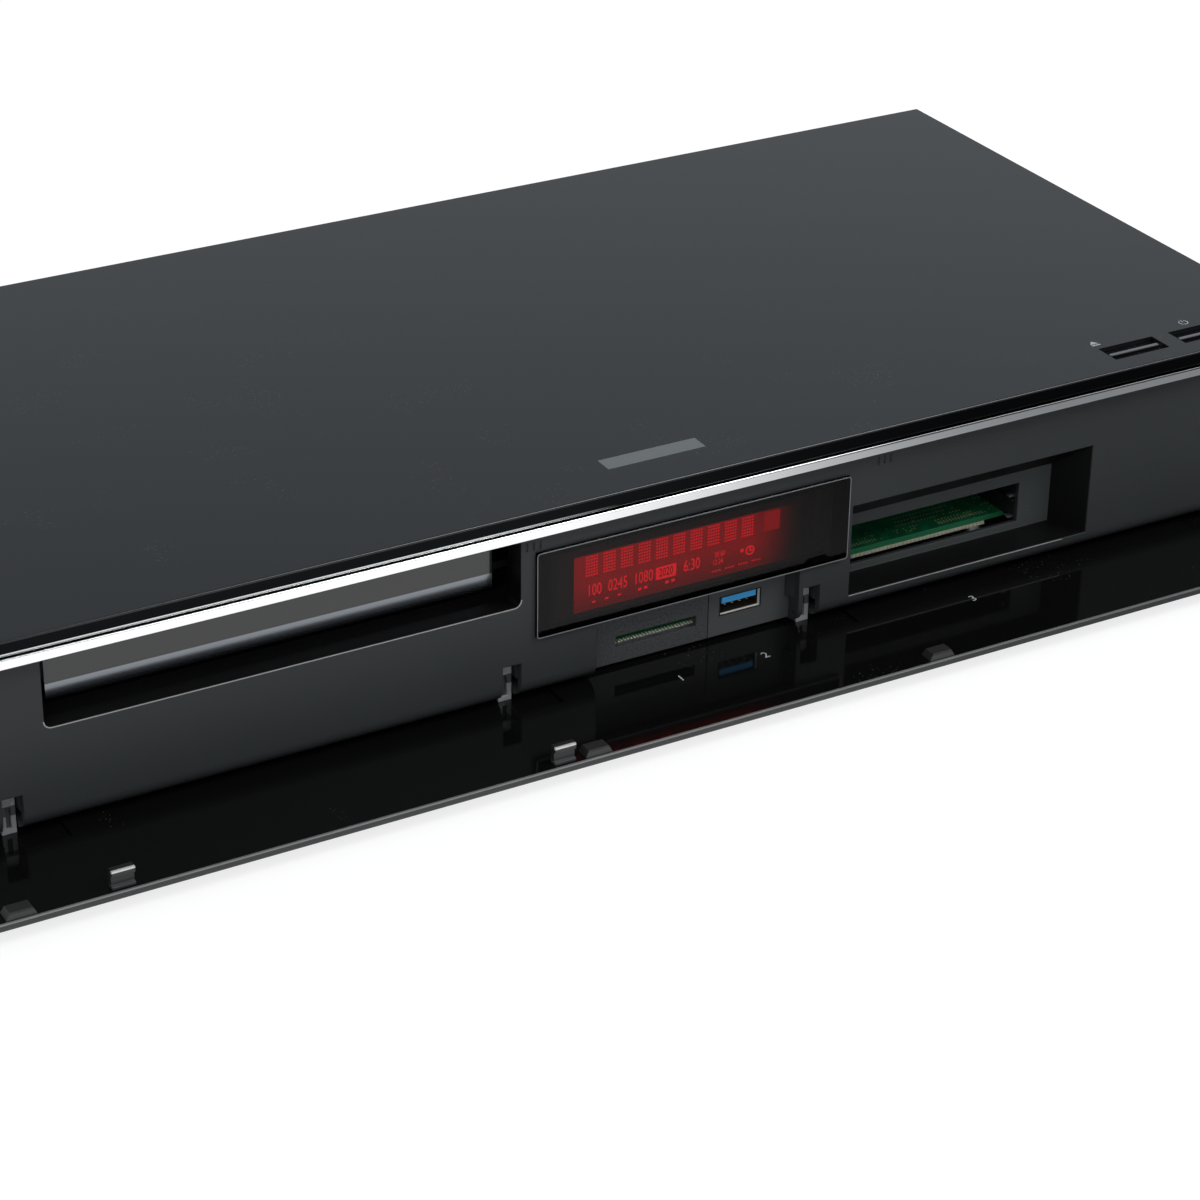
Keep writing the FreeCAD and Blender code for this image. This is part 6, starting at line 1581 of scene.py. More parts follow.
@dataclass
class Display(Assembly):
    """Lit blocks, figures and marks on the display's glass, and a painted highlight round the pane's front
    face.

    All places are in millimetres from the glass's lower left corner.

    Attributes:
        gap: from the glass to the lit faces.
        skin: thickness of a lit form.
        left: left edge of the first block.
        top: upper edge of the first row.
        block_count: number of blocks.
        block_pitch: from one block to the next.
        block_dots: dots in a block across and up.
        dot_pitch: from one dot to the next across and up.
        dot: a dot's width and height.
        dim_gap: from the last block's pitch to the dim block.
        dim_width: the dim block's width.
        second_row: height of the second row's middle.
        figures: the figures of the second row.
        narrow: times the figures' plain width.
        box: width and height of the lit box in that row.
        box_figures: the dark figures in the middle of it.
        clock: outer and inner width of the clock's rim.
        clock_across: the clock's middle.
        hands: the clock's hands, from its middle.
        beside: the dot beside the clock: its place from the clock's middle and its width.
        beside_corner: the dot's corners' radius.
        small_marks: the rows of marks under the figures.
        pane_highlight_width: width of the painted highlight line round the pane's front face.
        pane_corners: its outer and inner corners' radius.
        pane_proud: how far it stands out past the pane's sides.
    """

    gap: float = 0.1
    skin: float = 0.05
    left: float = 8.4
    top: float = 16.4
    block_count: int = 10
    block_pitch: float = 5.46
    block_dots: tuple[int, int] = (5, 7)
    dot_pitch: Pair = (0.79, 0.92)
    dot: float = 0.46
    dim_gap: float = 1.6
    dim_width: float = 5.2
    second_row: float = 5.8
    figures: tuple[Figures, ...] = (
        Figures("100", 11.1),
        Figures("0245", 18.4),
        Figures("1080", 26.4),
        Figures("6:30", 41.7),
        Figures("50 60", 50.6, 1.2, 1.7),
        Figures("12 24", 50.0, -1.1, 1.7),
    )
    narrow: float = 0.62
    box: Pair = (6.4, 3.8)
    box_figures: Figures = Figures("2020", 33.5, height=2.6)
    clock: Pair = (2.9, 2.1)
    clock_across: float = 60.4
    hands: tuple[Box, Box] = ((-0.2, -0.1, 0.2, 1.0), (-0.2, -0.3, 0.8, 0.1))
    beside: Triple = (-2.6, 0.5, 1.1)
    beside_corner: float = 0.5
    small_marks: tuple[Row, ...] = (
        Row(
            "display_marks", "display_glass", (10.4, -0.1, 2.0), (1.1, 0.05, 0.5),
            ((3, (4.0, 0.0, 0.1)),),
        ),
        Row(
            "display_pairs", "display_glass", (24.8, -0.1, 2.1), (1.0, 0.05, 0.8),
            ((2, (1.9, 0.0, 0.1)), (2, (8.6, 0.0, 0.0))),
        ),
        Row(
            "display_points", "display_glass", (48.2, -0.1, 1.8), (0.4, 0.05, 0.4),
            ((4, (0.8, 0.0, 0.0)), (4, (4.3, 0.0, 0.1))),
        ),
    )
    pane_highlight_width: float = 0.22
    pane_corners: Pair = (0.9, 0.7)
    pane_proud: float = 0.02

    def build(self) -> None:
        """Makes the lit pieces and the painted highlight round the pane."""
        lit = GlowFinish("lit_dots", (1.0, 0.012, 0.02), 4.0, fade=(25.0, 38.0), floor=0.9).build()
        self.blocks(lit)
        self.figure_row(lit)
        self.signs(lit)
        for row in self.small_marks:
            self.row(row, "display_tube", lit)
        self.pane_highlight_ring()

    def spot(self, across: float, up: float, sink: float = 0.0) -> Triple:
        """Returns a place on the lit faces.

        Args:
            across: how far right of the glass's left side.
            up: how far above its lower side.
            sink: how far behind the lit faces.

        Returns:
            The place, in millimetres.
        """
        low, _ = extent("display_glass")
        return (low.x + across, low.y - self.gap + sink, low.z + up)

    def blocks(self, lit: bpy.types.Material) -> None:
        """Makes blocks of dots and the dim block after them.

        Args:
            lit: the lit material.
        """
        columns, rows = self.block_dots
        across, up = self.dot_pitch
        rise = (rows - 1) * up + self.dot
        levels = (
            (columns, (across, 0.0, 0.0)),
            (rows, (0.0, 0.0, up)),
            (self.block_count, (self.block_pitch, 0.0, 0.0)),
        )
        corner = self.spot(self.left, self.top - rise)
        self.bars("display_blocks", corner, (self.dot, self.skin, self.dot), levels, "display_tube", lit)
        faint = GlowFinish("lit_faint", (1.0, 0.008, 0.014), 1.3, fade=(34.0, 41.0), floor=0.9).build()
        end = self.left + self.block_count * self.block_pitch + self.dim_gap
        self.bars(
            "display_dim_block", self.spot(end, self.top - rise), (self.dim_width, self.skin, rise), (),
            "display_tube", faint,
        )

    def figure_row(self, lit: bpy.types.Material) -> None:
        """Makes the second row's figures and its lit box with dark ones.

        Args:
            lit: the lit material.
        """
        for i, group in enumerate(self.figures):
            middle = self.spot(group.across, self.second_row + group.lift, PRINT / 2)
            piece = raise_print(
                f"display_figures_{i}", group.words, group.height, middle, Facing.FRONT, narrow=self.narrow
            )
            self.finish_piece(piece, lit, "display_tube")
        width, height = self.box
        shape = box_shape(-width / 2, -height / 2, width / 2, height / 2)
        inner = self.box_figures
        middle = self.spot(inner.across, self.second_row, PRINT / 2)
        box = outline_piece("display_box", [shape], middle, Facing.FRONT, self.skin)
        self.finish_piece(box, lit, "display_tube")
        dark = Finish("dark_figures", (0.01, 0.004, 0.004), 0.4, relief=0.000002, edge=0.0).build()
        middle = self.spot(inner.across, self.second_row, PRINT / 2 - self.skin)
        inside = raise_print(
            "display_box_figures", inner.words, inner.height, middle, Facing.FRONT, narrow=self.narrow
        )
        self.finish_piece(inside, dark, "display_tube")

    def signs(self, lit: bpy.types.Material) -> None:
        """Makes the clock's rim, its two hands and the dot beside it.

        Args:
            lit: the lit material.
        """
        middle = self.spot(self.clock_across, self.second_row, PRINT / 2)
        outer, inner = (rounded_shape(size, size, size / 2) for size in self.clock)
        clock = ring_piece("display_clock", outer, inner, middle, Facing.FRONT, self.skin)
        self.finish_piece(clock, lit, "display_tube")
        across, up, size = self.beside
        dot = rounded_shape(size, size, self.beside_corner)
        shapes = [box_shape(*hand) for hand in self.hands] + [[(x + across, z + up) for x, z in dot]]
        signs = outline_piece("display_signs", shapes, middle, Facing.FRONT, self.skin)
        self.finish_piece(signs, lit, "display_tube")

    def pane_highlight_ring(self) -> None:
        """Makes the painted highlight, a thin light grey ring round the pane's front face that stands in
        for the light its edge catches.
        """
        low, high = extent("display_window")
        size = high - low
        # Painted highlight: a light grey ring in place of the light caught by the pane's edge.
        ground = Finish(
            "pane_painted_highlight", (0.16, 0.165, 0.17), 0.35, relief=0.000003, dust=0.0, edge=0.0
        ).build()
        proud, inset = 2 * self.pane_proud, 2 * self.pane_highlight_width
        outer = rounded_shape(size.x + proud, size.z + proud, self.pane_corners[0])
        inner = rounded_shape(size.x - inset, size.z - inset, self.pane_corners[1])
        middle = ((low.x + high.x) / 2, low.y, (low.z + high.z) / 2)
        ring = ring_piece("window_edge", outer, inner, middle, Facing.FRONT, 2 * self.skin)
        self.finish_piece(ring, ground, "smoked_window")


@dataclass
class Front(Assembly):
    """Painted highlights: thin light lips under the tray's mouth and under the card recess, in place of the
    light caught by their edges.

    Attributes:
        mouth_margin: from the tray's face to the mouth's side.
        mouth_low: height of the mouth's lower edge.
        mouth_corner: its corners' radius.
        recess_middle: the card recess's middle across the case.
        recess_low: height of its lower edge.
        recess_reach: half the recess lip's length.
        recess_skew: how much shorter that lip is at its upper right end.
        recess_lip: the recess lip's width.
        lip: the mouth lip's width.
        proud: thickness of both, half of it in front of the panel.
    """

    mouth_margin: float = 3.95
    mouth_low: float = 36.6
    mouth_corner: float = 2.0
    recess_middle: float = 95.4
    recess_low: float = 12.9
    recess_reach: float = 37.5
    recess_skew: float = 1.0
    recess_lip: float = 0.3
    lip: float = 0.32
    proud: float = 0.06

    def build(self) -> None:
        """Makes both lips."""
        face = extent("front_panel")[0].y
        low, high = extent("tray_face")
        # Painted highlight: the lips' light grey stands in for the light caught by the edges.
        edge_highlight = Finish(
            "lip_painted_highlight", (0.3, 0.3, 0.29), 0.4, grain=Grain.MOULDED, relief=0.000004, dust=0.0, edge=0.0
        ).build()
        length = high.x - low.x + 2 * (self.mouth_margin + self.lip)
        mouth = lip_shape(length, self.mouth_corner + self.lip, self.lip)
        reach, up = self.recess_reach, self.recess_lip
        recess = [(-reach, 0.0), (reach, 0.0), (reach - self.recess_skew, up), (-reach, up)]
        lips = (
            ("mouth_lip", mouth, ((low.x + high.x) / 2, face, self.mouth_low - self.lip)),
            ("recess_lip", recess, (self.recess_middle, face, self.recess_low)),
        )
        for name, shape, middle in lips:
            piece = outline_piece(name, [shape], middle, Facing.FRONT, self.proud)
            self.finish_piece(piece, edge_highlight, "panel_satin")


@dataclass
class Sockets(Assembly):
    """Contacts in the card slots and in the sockets at the front and back.

    Attributes:
        contacts: every row of contacts.
        slot_board: the small slot's board: left, front, right and back from its middle.
        slot_middle: its middle, from the small slot's lowest corner.
        slot_skin: its thickness.
        aerials: middles of the aerial sockets, from the tuner's left side.
        aerial_up: their height above its underside.
        insert_back: from the sockets' ends to the insulating inserts' middle.
        insert_depth: an insert's thickness.
        insert_size: across an insert.
        insert_hole: across its hole.
        insert_steps: how many runs a quarter of its rim has.
    """

    contacts: tuple[Row, ...] = (
        Row(
            "small_slot_contacts", "sd_socket", (1.0, -0.45, 0.98), (0.5, 1.5, 0.2),
            ((25, (1.02, 0.0, 0.0)),), "tinned",
        ),
        Row(
            "header_contacts", "card_board", (8.0, -0.15, 0.05), (0.6, 0.14, 1.05),
            ((34, (1.38, 0.0, 0.0)),), "tinned",
        ),
        Row(
            "usb_springs", "usb_tongue", (1.3, 0.85, -0.9), (0.6, 6.0, 0.25),
            ((4, (2.4, 0.0, 0.0)),), "gilt",
        ),
        Row(
            "network_contacts", "lan_socket", (4.6, 0.55, 10.9), (0.35, 14.0, 0.3),
            ((8, (0.93, 0.0, 0.0)),), "gilt",
        ),
        Row(
            "video_contacts", "hdmi_sockets", (4.1, 2.15, 3.42), (0.3, 13.0, 0.1),
            ((9, (0.75, 0.0, 0.0)), (2, (20.0, 0.0, 0.0))), "gilt",
        ),
    )
    slot_board: Box = (-13.0, -5.0, 12.6, 4.0)
    slot_middle: Triple = (13.5, 5.65, 1.05)
    slot_skin: float = 0.2
    aerials: Pair = (17.0, 33.0)
    aerial_up: float = 7.5
    insert_back: float = 3.55
    insert_depth: float = 0.7
    insert_size: float = 7.4
    insert_hole: float = 1.5
    insert_steps: int = 10

    def build(self) -> None:
        """Makes the small slot's board, every row of contacts and the aerial sockets' inserts."""
        metals = {
            "gilt": Finish(
                "gilt_contact", (0.75, 0.56, 0.27), 0.3, metallic=0.8, relief=0.000002, dust=0.0
            ).build(),
            "tinned": Finish("tinned_contact", (0.72, 0.70, 0.56), 0.4, relief=0.000002, dust=0.0).build(),
        }
        low, _ = extent("sd_socket")
        board = outline_piece(
            "small_slot_board", [box_shape(*self.slot_board)], tuple(low + Vector(self.slot_middle)),
            Facing.UP, self.slot_skin,
        )
        green = Finish("slot_green", (0.03, 0.24, 0.1), 0.4, relief=0.000002, dust=0.0).build()
        self.finish_piece(board, green, "green_board")
        for row in self.contacts:
            self.row(row, "zinc_steel", metals[row.finish])
        self.inserts()

    def inserts(self) -> None:
        """Makes the ring that insulates each aerial socket's middle."""
        low, high = extent("tuner")
        outer, hole = (
            rounded_shape(size, size, size / 2, self.insert_steps)
            for size in (self.insert_size, self.insert_hole)
        )
        for i, across in enumerate(self.aerials):
            middle = (low.x + across, high.y - self.insert_back, low.z + self.aerial_up)
            insert = ring_piece(f"aerial_insert_{i}", outer, hole, middle, Facing.BACK, self.insert_depth)
            self.finish_piece(insert, self.materials["white_plastic"], "zinc_steel")


@dataclass(frozen=True)
class Patch:
    """A rectangle of a board with small parts scattered over it.

    Attributes:
        name: the piece's name.
        low: the rectangle's lowest corner across and along, in millimetres.
        high: its highest corner.
        part: a part's mean size, in millimetres.
        gap: least distance between middles, in millimetres.
        seed: the fixed seed.
        finish: the name of the parts' finish.
    """

    name: str
    low: Pair
    high: Pair
    part: Triple
    gap: float
    seed: int
    finish: str


@dataclass(frozen=True)
class PadField:
    """A rectangle of the card board with solder pads.

    Attributes:
        name: the piece's name.
        low: the rectangle's lowest corner across and along, in millimetres.
        high: its highest corner.
        counts: pads across and along.
        keep: how many of them are there, more with a higher value.
        seed: the fixed seed.
    """

    name: str
    low: Pair
    high: Pair
    counts: tuple[int, int]
    keep: float
    seed: int


@dataclass
class Boards(Assembly):
    """Solder pads and parts on the circuit boards.

    Attributes:
        patches: where small parts are scattered.
        spread: how much larger than the mean a part can be.
        pad_fields: where solder pads lie.
        pad_radius: a solder pad's radius.
        pad_height: its height, half of it in the board.
    """

    patches: tuple[Patch, ...] = (
        Patch("main_chips", (120, 24), (144, 96), (3.4, 3.4, 0.9), 7.0, 3, "chip"),
        Patch("main_ceramics", (78, 80), (114, 99), (1.2, 0.7, 0.5), 2.2, 5, "ceramic"),
        Patch("main_cans", (66, 22), (74, 66), (1, 1, 1), 6.0, 8, "can"),
        Patch("power_ceramics", (155, -50), (167, 22), (2.0, 1.2, 1.1), 4.2, 2, "ceramic"),
        Patch("power_cans", (191, -50), (203, 22), (1, 1, 1), 6.0, 6, "can"),
        Patch("power_chips", (156, 60), (202, 96), (5.0, 3.0, 2.4), 9.0, 7, "chip"),
    )
    spread: float = 0.6
    pad_fields: tuple[PadField, ...] = (
        PadField("card_board_pads", (66.5, -62.0), (124.0, 2.0), (52, 30), 0.8, 4),
        PadField("card_board_rows", (68.0, -64.2), (122.0, -63.4), (54, 2), 1.6, 9),
    )
    pad_radius: float = 0.22
    pad_height: float = 0.1

    def build(self) -> None:
        """Makes the pads of the card board and the parts of the main and power boards."""
        for field in self.pad_fields:
            self.pads(field)
        finishes = {
            "chip": Finish(
                "chip_black", (0.02, 0.02, 0.021), 0.45, grain=Grain.MOULDED, relief=0.000008, dust=0.1
            ),
            "ceramic": Finish(
                "ceramic_brown", (0.32, 0.22, 0.13), 0.4, grain=Grain.CAST, relief=0.000005, dust=0.0
            ),
            "can": Finish(
                "capacitor_can", (0.6, 0.61, 0.62), 0.3, metallic=0.9, grain=Grain.BRUSHED_X,
                relief=0.000004, dust=0.0,
            ),
        }
        materials = {name: finish.build() for name, finish in finishes.items()}
        for patch in self.patches:
            self.scatter(patch, materials[patch.finish])

    def ground(self, area: Patch | PadField) -> dict[str, object]:
        """Returns the rules' inputs that lay a rectangle on the boards' upper face.

        Args:
            area: the rectangle and what lies on it.

        Returns:
            Input name to value.
        """
        top = extent("card_board")[1].z
        (left, front), (right, back) = area.low, area.high
        return {
            "Centre": metres(((left + right) / 2, (front + back) / 2, top)),
            "Length": (right - left) * MM,
            "Width": (back - front) * MM,
            "Seed": area.seed,
        }

    def scatter(self, patch: Patch, material: bpy.types.Material) -> None:
        """Lays small parts over a rectangle of a board.

        Args:
            patch: the rectangle and its parts.
            material: the parts' material.
        """
        values = {
            **self.ground(patch),
            "Material": material,
            "Gap": patch.gap * MM,
            "Chip": metres(patch.part),
            "Spread": self.spread,
            "Round": patch.finish == "can",
        }
        self.finish_piece(grow(patch.name, Rules.scatter(), values), material, "green_board")

    def pads(self, field: PadField) -> None:
        """Lays solder pads over a rectangle of the card board.

        Args:
            field: the rectangle and its pads.
        """
        solder = Finish(
            f"{field.name}_solder", (0.62, 0.56, 0.26), 0.4, relief=0.000002, dust=0.0, edge=0.0
        ).build()
        values = {
            **self.ground(field),
            "Material": solder,
            "Columns": field.counts[0],
            "Rows": field.counts[1],
            "Keep": field.keep,
            "Radius": self.pad_radius * MM,
            "Height": self.pad_height * MM,
        }
        self.finish_piece(grow(field.name, Rules.pads(), values), solder, "green_board")


@dataclass(frozen=True)
class Label:
    """A plain figure beside a socket.

    Attributes:
        words: the figure.
        node: the socket's node.
        across: from that node's left side to the figure's middle.
    """

    words: str
    node: str
    across: float


@dataclass
class Prints(Assembly):
    """Plain figures and signs, and the bare plate on the lid.

    Attributes:
        skin: thickness of a sign on the lid.
        flap_figures: figures on the flap and their places across the case.
        flap_line: the flap figures' place from the open flap's front edge.
        slot_figures: figures beside the card slot and their heights.
        slot_place: their place across the case and in depth.
        back_labels: figures over the sockets at the back.
        back_rise: from a socket's top to its figure's middle.
        heights: the figures' heights on the flap, by the slot and at the back.
        sign_places: each key's sign from the left end of the key's rear edge.
        plate: the plate's width and depth.
        plate_corner: its corners' radius.
        plate_middle: its place on the lid.
    """

    skin: float = 0.02
    flap_figures: tuple[tuple[str, float], ...] = (("1", -2.3), ("2", 24.9), ("3", 95.0))
    flap_line: float = 25.65
    slot_figures: tuple[tuple[str, float], ...] = (("1", 24.2), ("2", 19.0))
    slot_place: Pair = (127.8, -73.77)
    back_labels: tuple[Label, ...] = (
        Label("1", "hdmi_sockets", 7.5),
        Label("2", "hdmi_sockets", 27.5),
        Label("3", "lan_socket", 8.0),
        Label("4", "audio_socket", 5.5),
    )
    back_rise: float = 4.2
    heights: Triple = (3.0, 2.0, 3.0)
    sign_places: tuple[Pair, Pair] = ((0.9, 3.55), (8.5, 4.05))
    plate: Pair = (30.4, 6.0)
    plate_corner: float = 0.3
    plate_middle: Pair = (-0.7, -73.6)

    def build(self) -> None:
        """Makes the figures on the flap, in the recess and on the back, and the lid's signs."""
        ink = self.ink("grey_ink", (0.36, 0.37, 0.37))
        self.flap_prints(ink)
        self.slot_prints(self.ink("dim_ink", (0.06, 0.062, 0.064)))
        self.back_prints(ink)
        self.signs(ink)

    def ink(self, name: str, color: Triple, roughness: float = 0.5) -> bpy.types.Material:
        """Makes a printing ink.

        Args:
            name: its name.
            color: its colour.
            roughness: its roughness.

        Returns:
            The material.
        """
        return Finish(
            name, color, roughness, grain=Grain.MOULDED, relief=0.000004, dust=0.0, edge=0.0
        ).build()

    def flap_prints(self, ink: bpy.types.Material) -> None:
        """Prints the figures on the open flap.

        Args:
            ink: their material.
        """
        low, high = extent("flap_door")
        for words, x in self.flap_figures:
            middle = (x, low.y + self.flap_line, high.z + PRINT / 2)
            piece = raise_print(f"flap_figure_{words}", words, self.heights[0], middle, Facing.UP)
            self.finish_piece(piece, ink, "flap_gloss", "flap")

    def slot_prints(self, ink: bpy.types.Material) -> None:
        """Prints the figures beside the card slot.

        Args:
            ink: their material.
        """
        for words, z in self.slot_figures:
            middle = (*self.slot_place, z)
            piece = raise_print(f"slot_figure_{words}", words, self.heights[1], middle, Facing.FRONT)
            self.finish_piece(piece, ink, "panel_satin")

    def back_prints(self, ink: bpy.types.Material) -> None:
        """Prints a figure over each socket at the back.

        Args:
            ink: their material.
        """
        face = extent("rear_panel")[1].y + PRINT / 2
        for label in self.back_labels:
            low, high = extent(label.node)
            middle = (low.x + label.across, face, high.z + self.back_rise)
            name = f"back_figure_{label.words}"
            piece = raise_print(name, label.words, self.heights[2], middle, Facing.BACK)
            self.finish_piece(piece, ink, "black_steel")

    def signs(self, ink: bpy.types.Material) -> None:
        """Makes the eject and power signs behind the keys and the bare plate on the lid.

        Args:
            ink: the signs' material.
        """
        top = extent("top_cover")[1].z
        eject = [[(-1.5, 0.1), (1.5, 0.1), (0.0, 1.9)], box_shape(-1.5, -1.0, 1.5, -0.4)]
        power = [arc_shape(1.5, 0.3, 125, 415, 28), box_shape(-0.15, 0.2, 0.15, 1.7)]
        for name, shapes, (across, back) in zip(("eject", "power"), (eject, power), self.sign_places):
            low, high = extent(f"{name}_button")
            middle = (low.x + across, high.y + back, top)
            piece = outline_piece(f"{name}_sign", shapes, middle, Facing.UP, self.skin)
            self.finish_piece(piece, ink, "lid_gloss")
        shape = rounded_shape(*self.plate, self.plate_corner)
        plate = outline_piece("lid_plate", [shape], (*self.plate_middle, top), Facing.UP, self.skin)
        self.finish_piece(plate, self.ink("plate_ink", (0.12, 0.13, 0.135), 0.45), "lid_gloss")


@dataclass(frozen=True)
class Lamp:
    """A soft square lamp that looks at the recorder's foot.

    Attributes:
        name: its name.
        spot: its place in metres.
        size: its side in metres.
        power: its power in watts.
    """

    name: str
    spot: Triple
    size: float
    power: float


@dataclass(frozen=True)
class Studio:
    """Floor, lights, background and camera.

    Attributes:
        floor_reach: half the floor's side, in metres.
        paper: the darkest and lightest grey of the floor's paper.
        mirror_span: from where to where across, in metres, the stops below run.
        mirror_stops: how bright the floor looks in a gloss face, by its share of that span.
        mirror_share: how much of that light a gloss face gets, the rest being the paper itself.
        floor_white: how white the floor looks, and the share of it that isn't the lit paper.
        sky: the world's light on the object: its colour and its level.
        sky_gloss: the two levels of the world in a gloss face, low and high up.
        sky_rise: between which heights of the direction the one turns into the other.
        lamps: the lamps.
        photo_width: the photograph's width in pixels.
        photo_focus: its focal length in pixels.
        film: the camera's film width in millimetres.
        eye: the camera's place in metres.
        aim: its turn to the right, its tilt down and its roll, in degrees.
    """

    floor_reach: float = 4.0
    paper: Pair = (0.86, 0.9)
    mirror_span: Pair = (-0.3, 0.5)
    mirror_stops: tuple[Pair, ...] = (
        (0.0, 1.15), (0.4, 1.1), (0.452, 0.82), (0.51, 0.48), (0.567, 0.28), (0.625, 0.19), (1.0, 0.145),
    )
    mirror_share: float = 0.9
    floor_white: Pair = (1.1, 0.72)
    sky: tuple[Triple, float] = ((0.94, 1.0, 1.05), 0.44)
    sky_gloss: Pair = (0.47, 0.3)
    sky_rise: Pair = (0.38, 0.48)
    lamps: tuple[Lamp, ...] = (
        Lamp("key_lamp", (-1.1, -1.3, 1.7), 1.2, 12.0),
        Lamp("edge_lamp", (0.95, -0.95, 1.6), 1.0, 20.0),
        Lamp("back_lamp", (-1.2, 1.3, 1.5), 1.2, 9.0),
    )
    photo_width: float = 1200
    photo_focus: float = 3346.67
    film: float = 36.0
    eye: Triple = (-0.41846, -0.77311, 0.46209)
    aim: Triple = (29.9, 28.45, 0.84)

    def build(self) -> None:
        """Makes the whole studio."""
        self.floor()
        self.world()
        for lamp in self.lamps:
            self.hang(lamp)
        self.camera()

    def floor(self) -> None:
        """Lays a pale floor that keeps the shadow and looks white around the recorder."""
        mesh = bpy.data.meshes.new("floor")
        reach = self.floor_reach
        corners = [(x, y, 0.0) for x, y in box_shape(-reach, -reach, reach, reach)]
        mesh.from_pydata(corners, [], [(0, 1, 2, 3)])
        floor = add_piece("floor", mesh)
        dark, light = self.paper
        material, graph, place = start_material("floor_paper", (light, light, light))
        cloud = graph.add("ShaderNodeTexNoise", {"Vector": place, "Scale": 3.0}).outputs[0]
        paper = graph.add(
            "ShaderNodeBsdfPrincipled",
            {
                "Base Color": graph.blend(cloud, grey(dark), grey(light)),
                "Roughness": 0.9,
                "Specular IOR Level": 0.1,
            },
        )
        rays = graph.add("ShaderNodeLightPath").outputs
        shine = graph.add("ShaderNodeEmission", {"Color": self.mirror_ramp(graph, place), "Strength": 1.0})
        share = graph.maths("MULTIPLY", rays["Is Glossy Ray"], self.mirror_share)
        mirrored = graph.add("ShaderNodeMixShader", {0: share, 1: paper.outputs[0], 2: shine.outputs[0]})
        white, cover = self.floor_white
        glow = graph.add("ShaderNodeEmission", {"Color": grey(1.0), "Strength": white})
        seen = graph.maths("MAXIMUM", rays["Is Camera Ray"], rays["Is Transmission Ray"])
        share = graph.maths("MULTIPLY", seen, cover)
        mixed = graph.add("ShaderNodeMixShader", {0: share, 1: mirrored.outputs[0], 2: glow.outputs[0]})
        graph.end(mixed.outputs[0])
        mesh.materials.append(material)

    def mirror_ramp(self, graph: Graph, place: bpy.types.NodeSocket) -> bpy.types.NodeSocket:
        """Makes the floor's brightness in gloss faces, which falls from left to right.

        Args:
            graph: the floor's nodes.
            place: the position socket.

        Returns:
            The colour's socket.
        """
        across = graph.add("ShaderNodeSeparateXYZ", {0: place}).outputs[0]
        left, right = self.mirror_span
        way = graph.add("ShaderNodeMapRange", {"Value": across, "From Min": left, "From Max": right})
        ramp = graph.add("ShaderNodeValToRGB", {0: way.outputs[0]})
        points = ramp.color_ramp.elements
        first, *between, last = self.mirror_stops
        for point, (spot, level) in zip(points, (first, last)):
            point.position, point.color = spot, grey(level)
        for spot, level in between:
            points.new(spot).color = grey(level)
        return ramp.outputs[0]

    def world(self) -> None:
        """Surrounds the recorder with soft light, and with white where it is seen."""
        world = bpy.data.worlds.new("studio")
        bpy.context.scene.world = world
        world.use_nodes = True
        graph = Graph(world.node_tree)
        rays = graph.add("ShaderNodeLightPath").outputs
        way = graph.add("ShaderNodeTexCoord").outputs["Generated"]
        rise = graph.add("ShaderNodeSeparateXYZ", {0: way}).outputs[2]
        span = dict(zip(("From Min", "From Max", "To Min", "To Max"), self.sky_rise + self.sky_gloss))
        mirrored = graph.add("ShaderNodeMapRange", {"Value": rise, **span}).outputs[0]
        color, strength = self.sky
        glossy = rays["Is Glossy Ray"]
        even = graph.maths("MULTIPLY", graph.maths("SUBTRACT", 1.0, glossy), strength)
        level = graph.maths("ADD", even, graph.maths("MULTIPLY", glossy, mirrored))
        soft = graph.add("ShaderNodeBackground", {"Color": opaque(color), "Strength": level})
        white = graph.add("ShaderNodeBackground", {"Color": grey(1.0), "Strength": 1.0})
        seen = graph.maths("MAXIMUM", rays["Is Camera Ray"], rays["Is Transmission Ray"])
        mixed = graph.add("ShaderNodeMixShader", {0: seen, 1: soft.outputs[0], 2: white.outputs[0]})
        graph.end(mixed.outputs[0], "ShaderNodeOutputWorld")

    def hang(self, lamp: Lamp) -> None:
        """Hangs one lamp.

        Args:
            lamp: its values.
        """
        light = bpy.data.lights.new(lamp.name, "AREA")
        light.size = lamp.size
        light.energy = lamp.power
        item = bpy.data.objects.new(lamp.name, light)
        item.location = lamp.spot
        item.rotation_euler = (-Vector(lamp.spot)).to_track_quat("-Z", "Y").to_euler()
        bpy.context.scene.collection.objects.link(item)

    def camera(self) -> None:
        """Places the camera as the photograph's was."""
        yaw, pitch, roll = (math.radians(angle) for angle in self.aim)
        ahead = Vector((math.sin(yaw) * math.cos(pitch), math.cos(yaw) * math.cos(pitch), -math.sin(pitch)))
        right = Vector((math.cos(yaw), -math.sin(yaw), 0.0))
        up = right.cross(ahead)
        level = math.cos(roll) * right + math.sin(roll) * up
        upright = -math.sin(roll) * right + math.cos(roll) * up
        lens = bpy.data.cameras.new("photo_camera")
        lens.sensor_width = self.film
        lens.sensor_fit = "HORIZONTAL"
        lens.lens = self.photo_focus / self.photo_width * self.film
        lens.clip_start = 0.01
        item = bpy.data.objects.new("photo_camera", lens)
        turn = Matrix((level, upright, -ahead)).transposed()
        item.matrix_world = Matrix.Translation(self.eye) @ turn.to_4x4()
        bpy.context.scene.collection.objects.link(item)
        bpy.context.scene.camera = item


def dress_nodes(materials: dict[str, bpy.types.Material]) -> None:
    """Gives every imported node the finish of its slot.

    Args:
        materials: slot name to material.
    """
    for part in frame["record"]["subparts"]:
        node = frame["nodes"][part["node"]]
        material = materials.get(part["node"], materials[part["material_slot"]])
        if not node.material_slots:
            node.data.materials.append(material)
        for slot in node.material_slots:
            slot.material = material
        LOG.info("node %s: %s", part["node"], part["material_slot"])


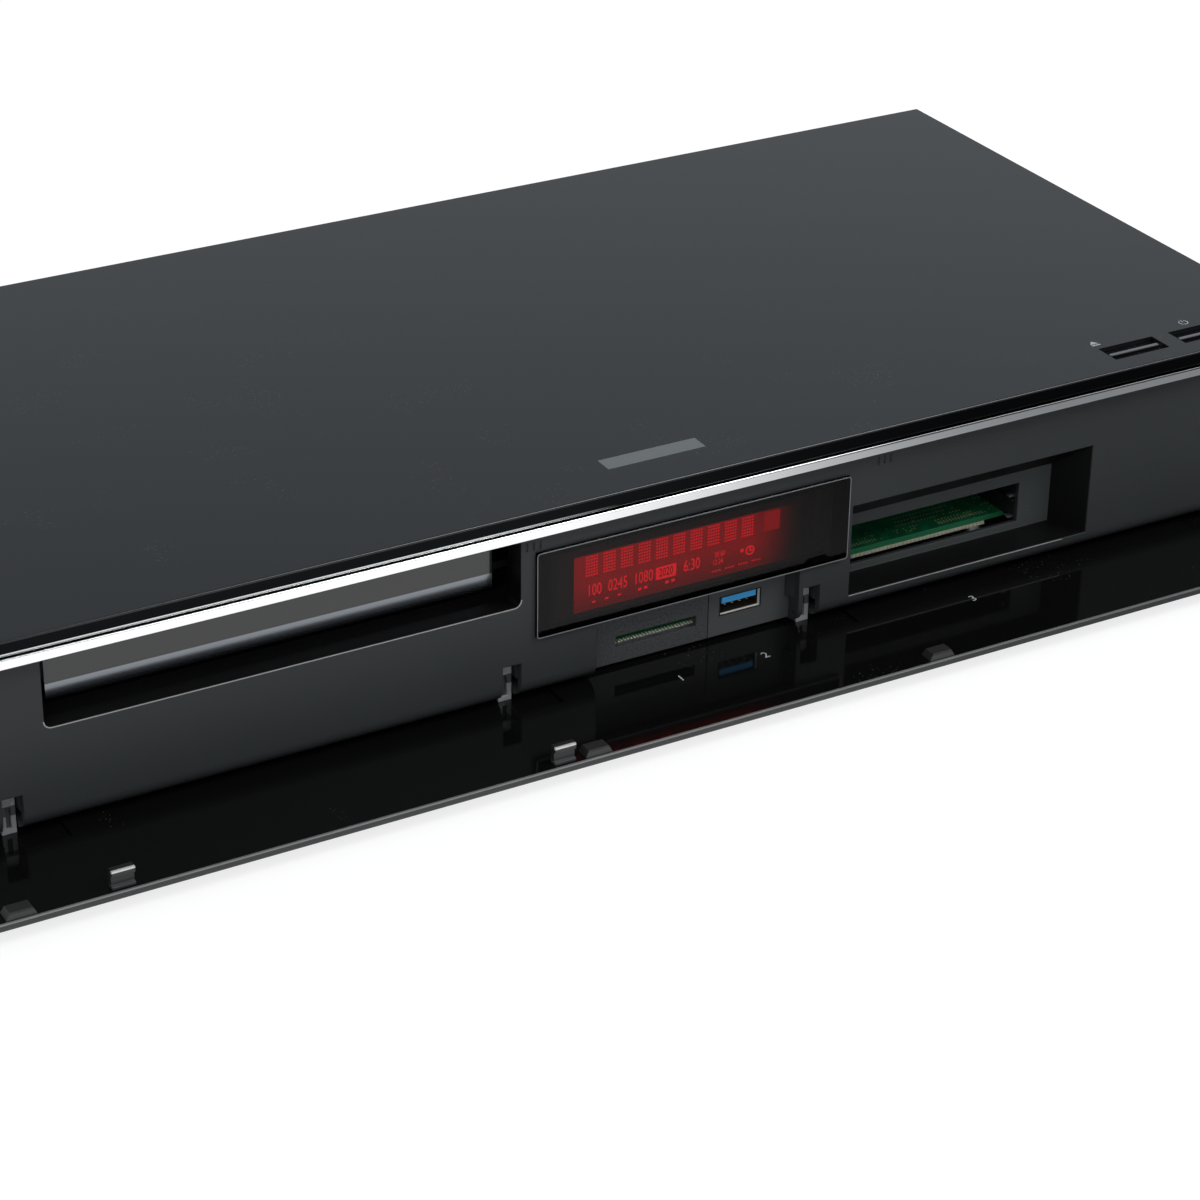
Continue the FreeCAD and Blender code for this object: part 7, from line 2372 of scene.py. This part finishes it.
def main() -> None:
    """Builds the looks in order."""
    logging.basicConfig(level=logging.INFO, format="%(name)s %(message)s")
    bpy.context.scene.view_settings.view_transform = "Standard"
    Studio().build()
    materials = Palette().build()
    dress_nodes(materials)
    for assembly in (Display, Front, Sockets, Boards, Prints):
        assembly(materials).build()


if __name__ == "__main__":
    main()
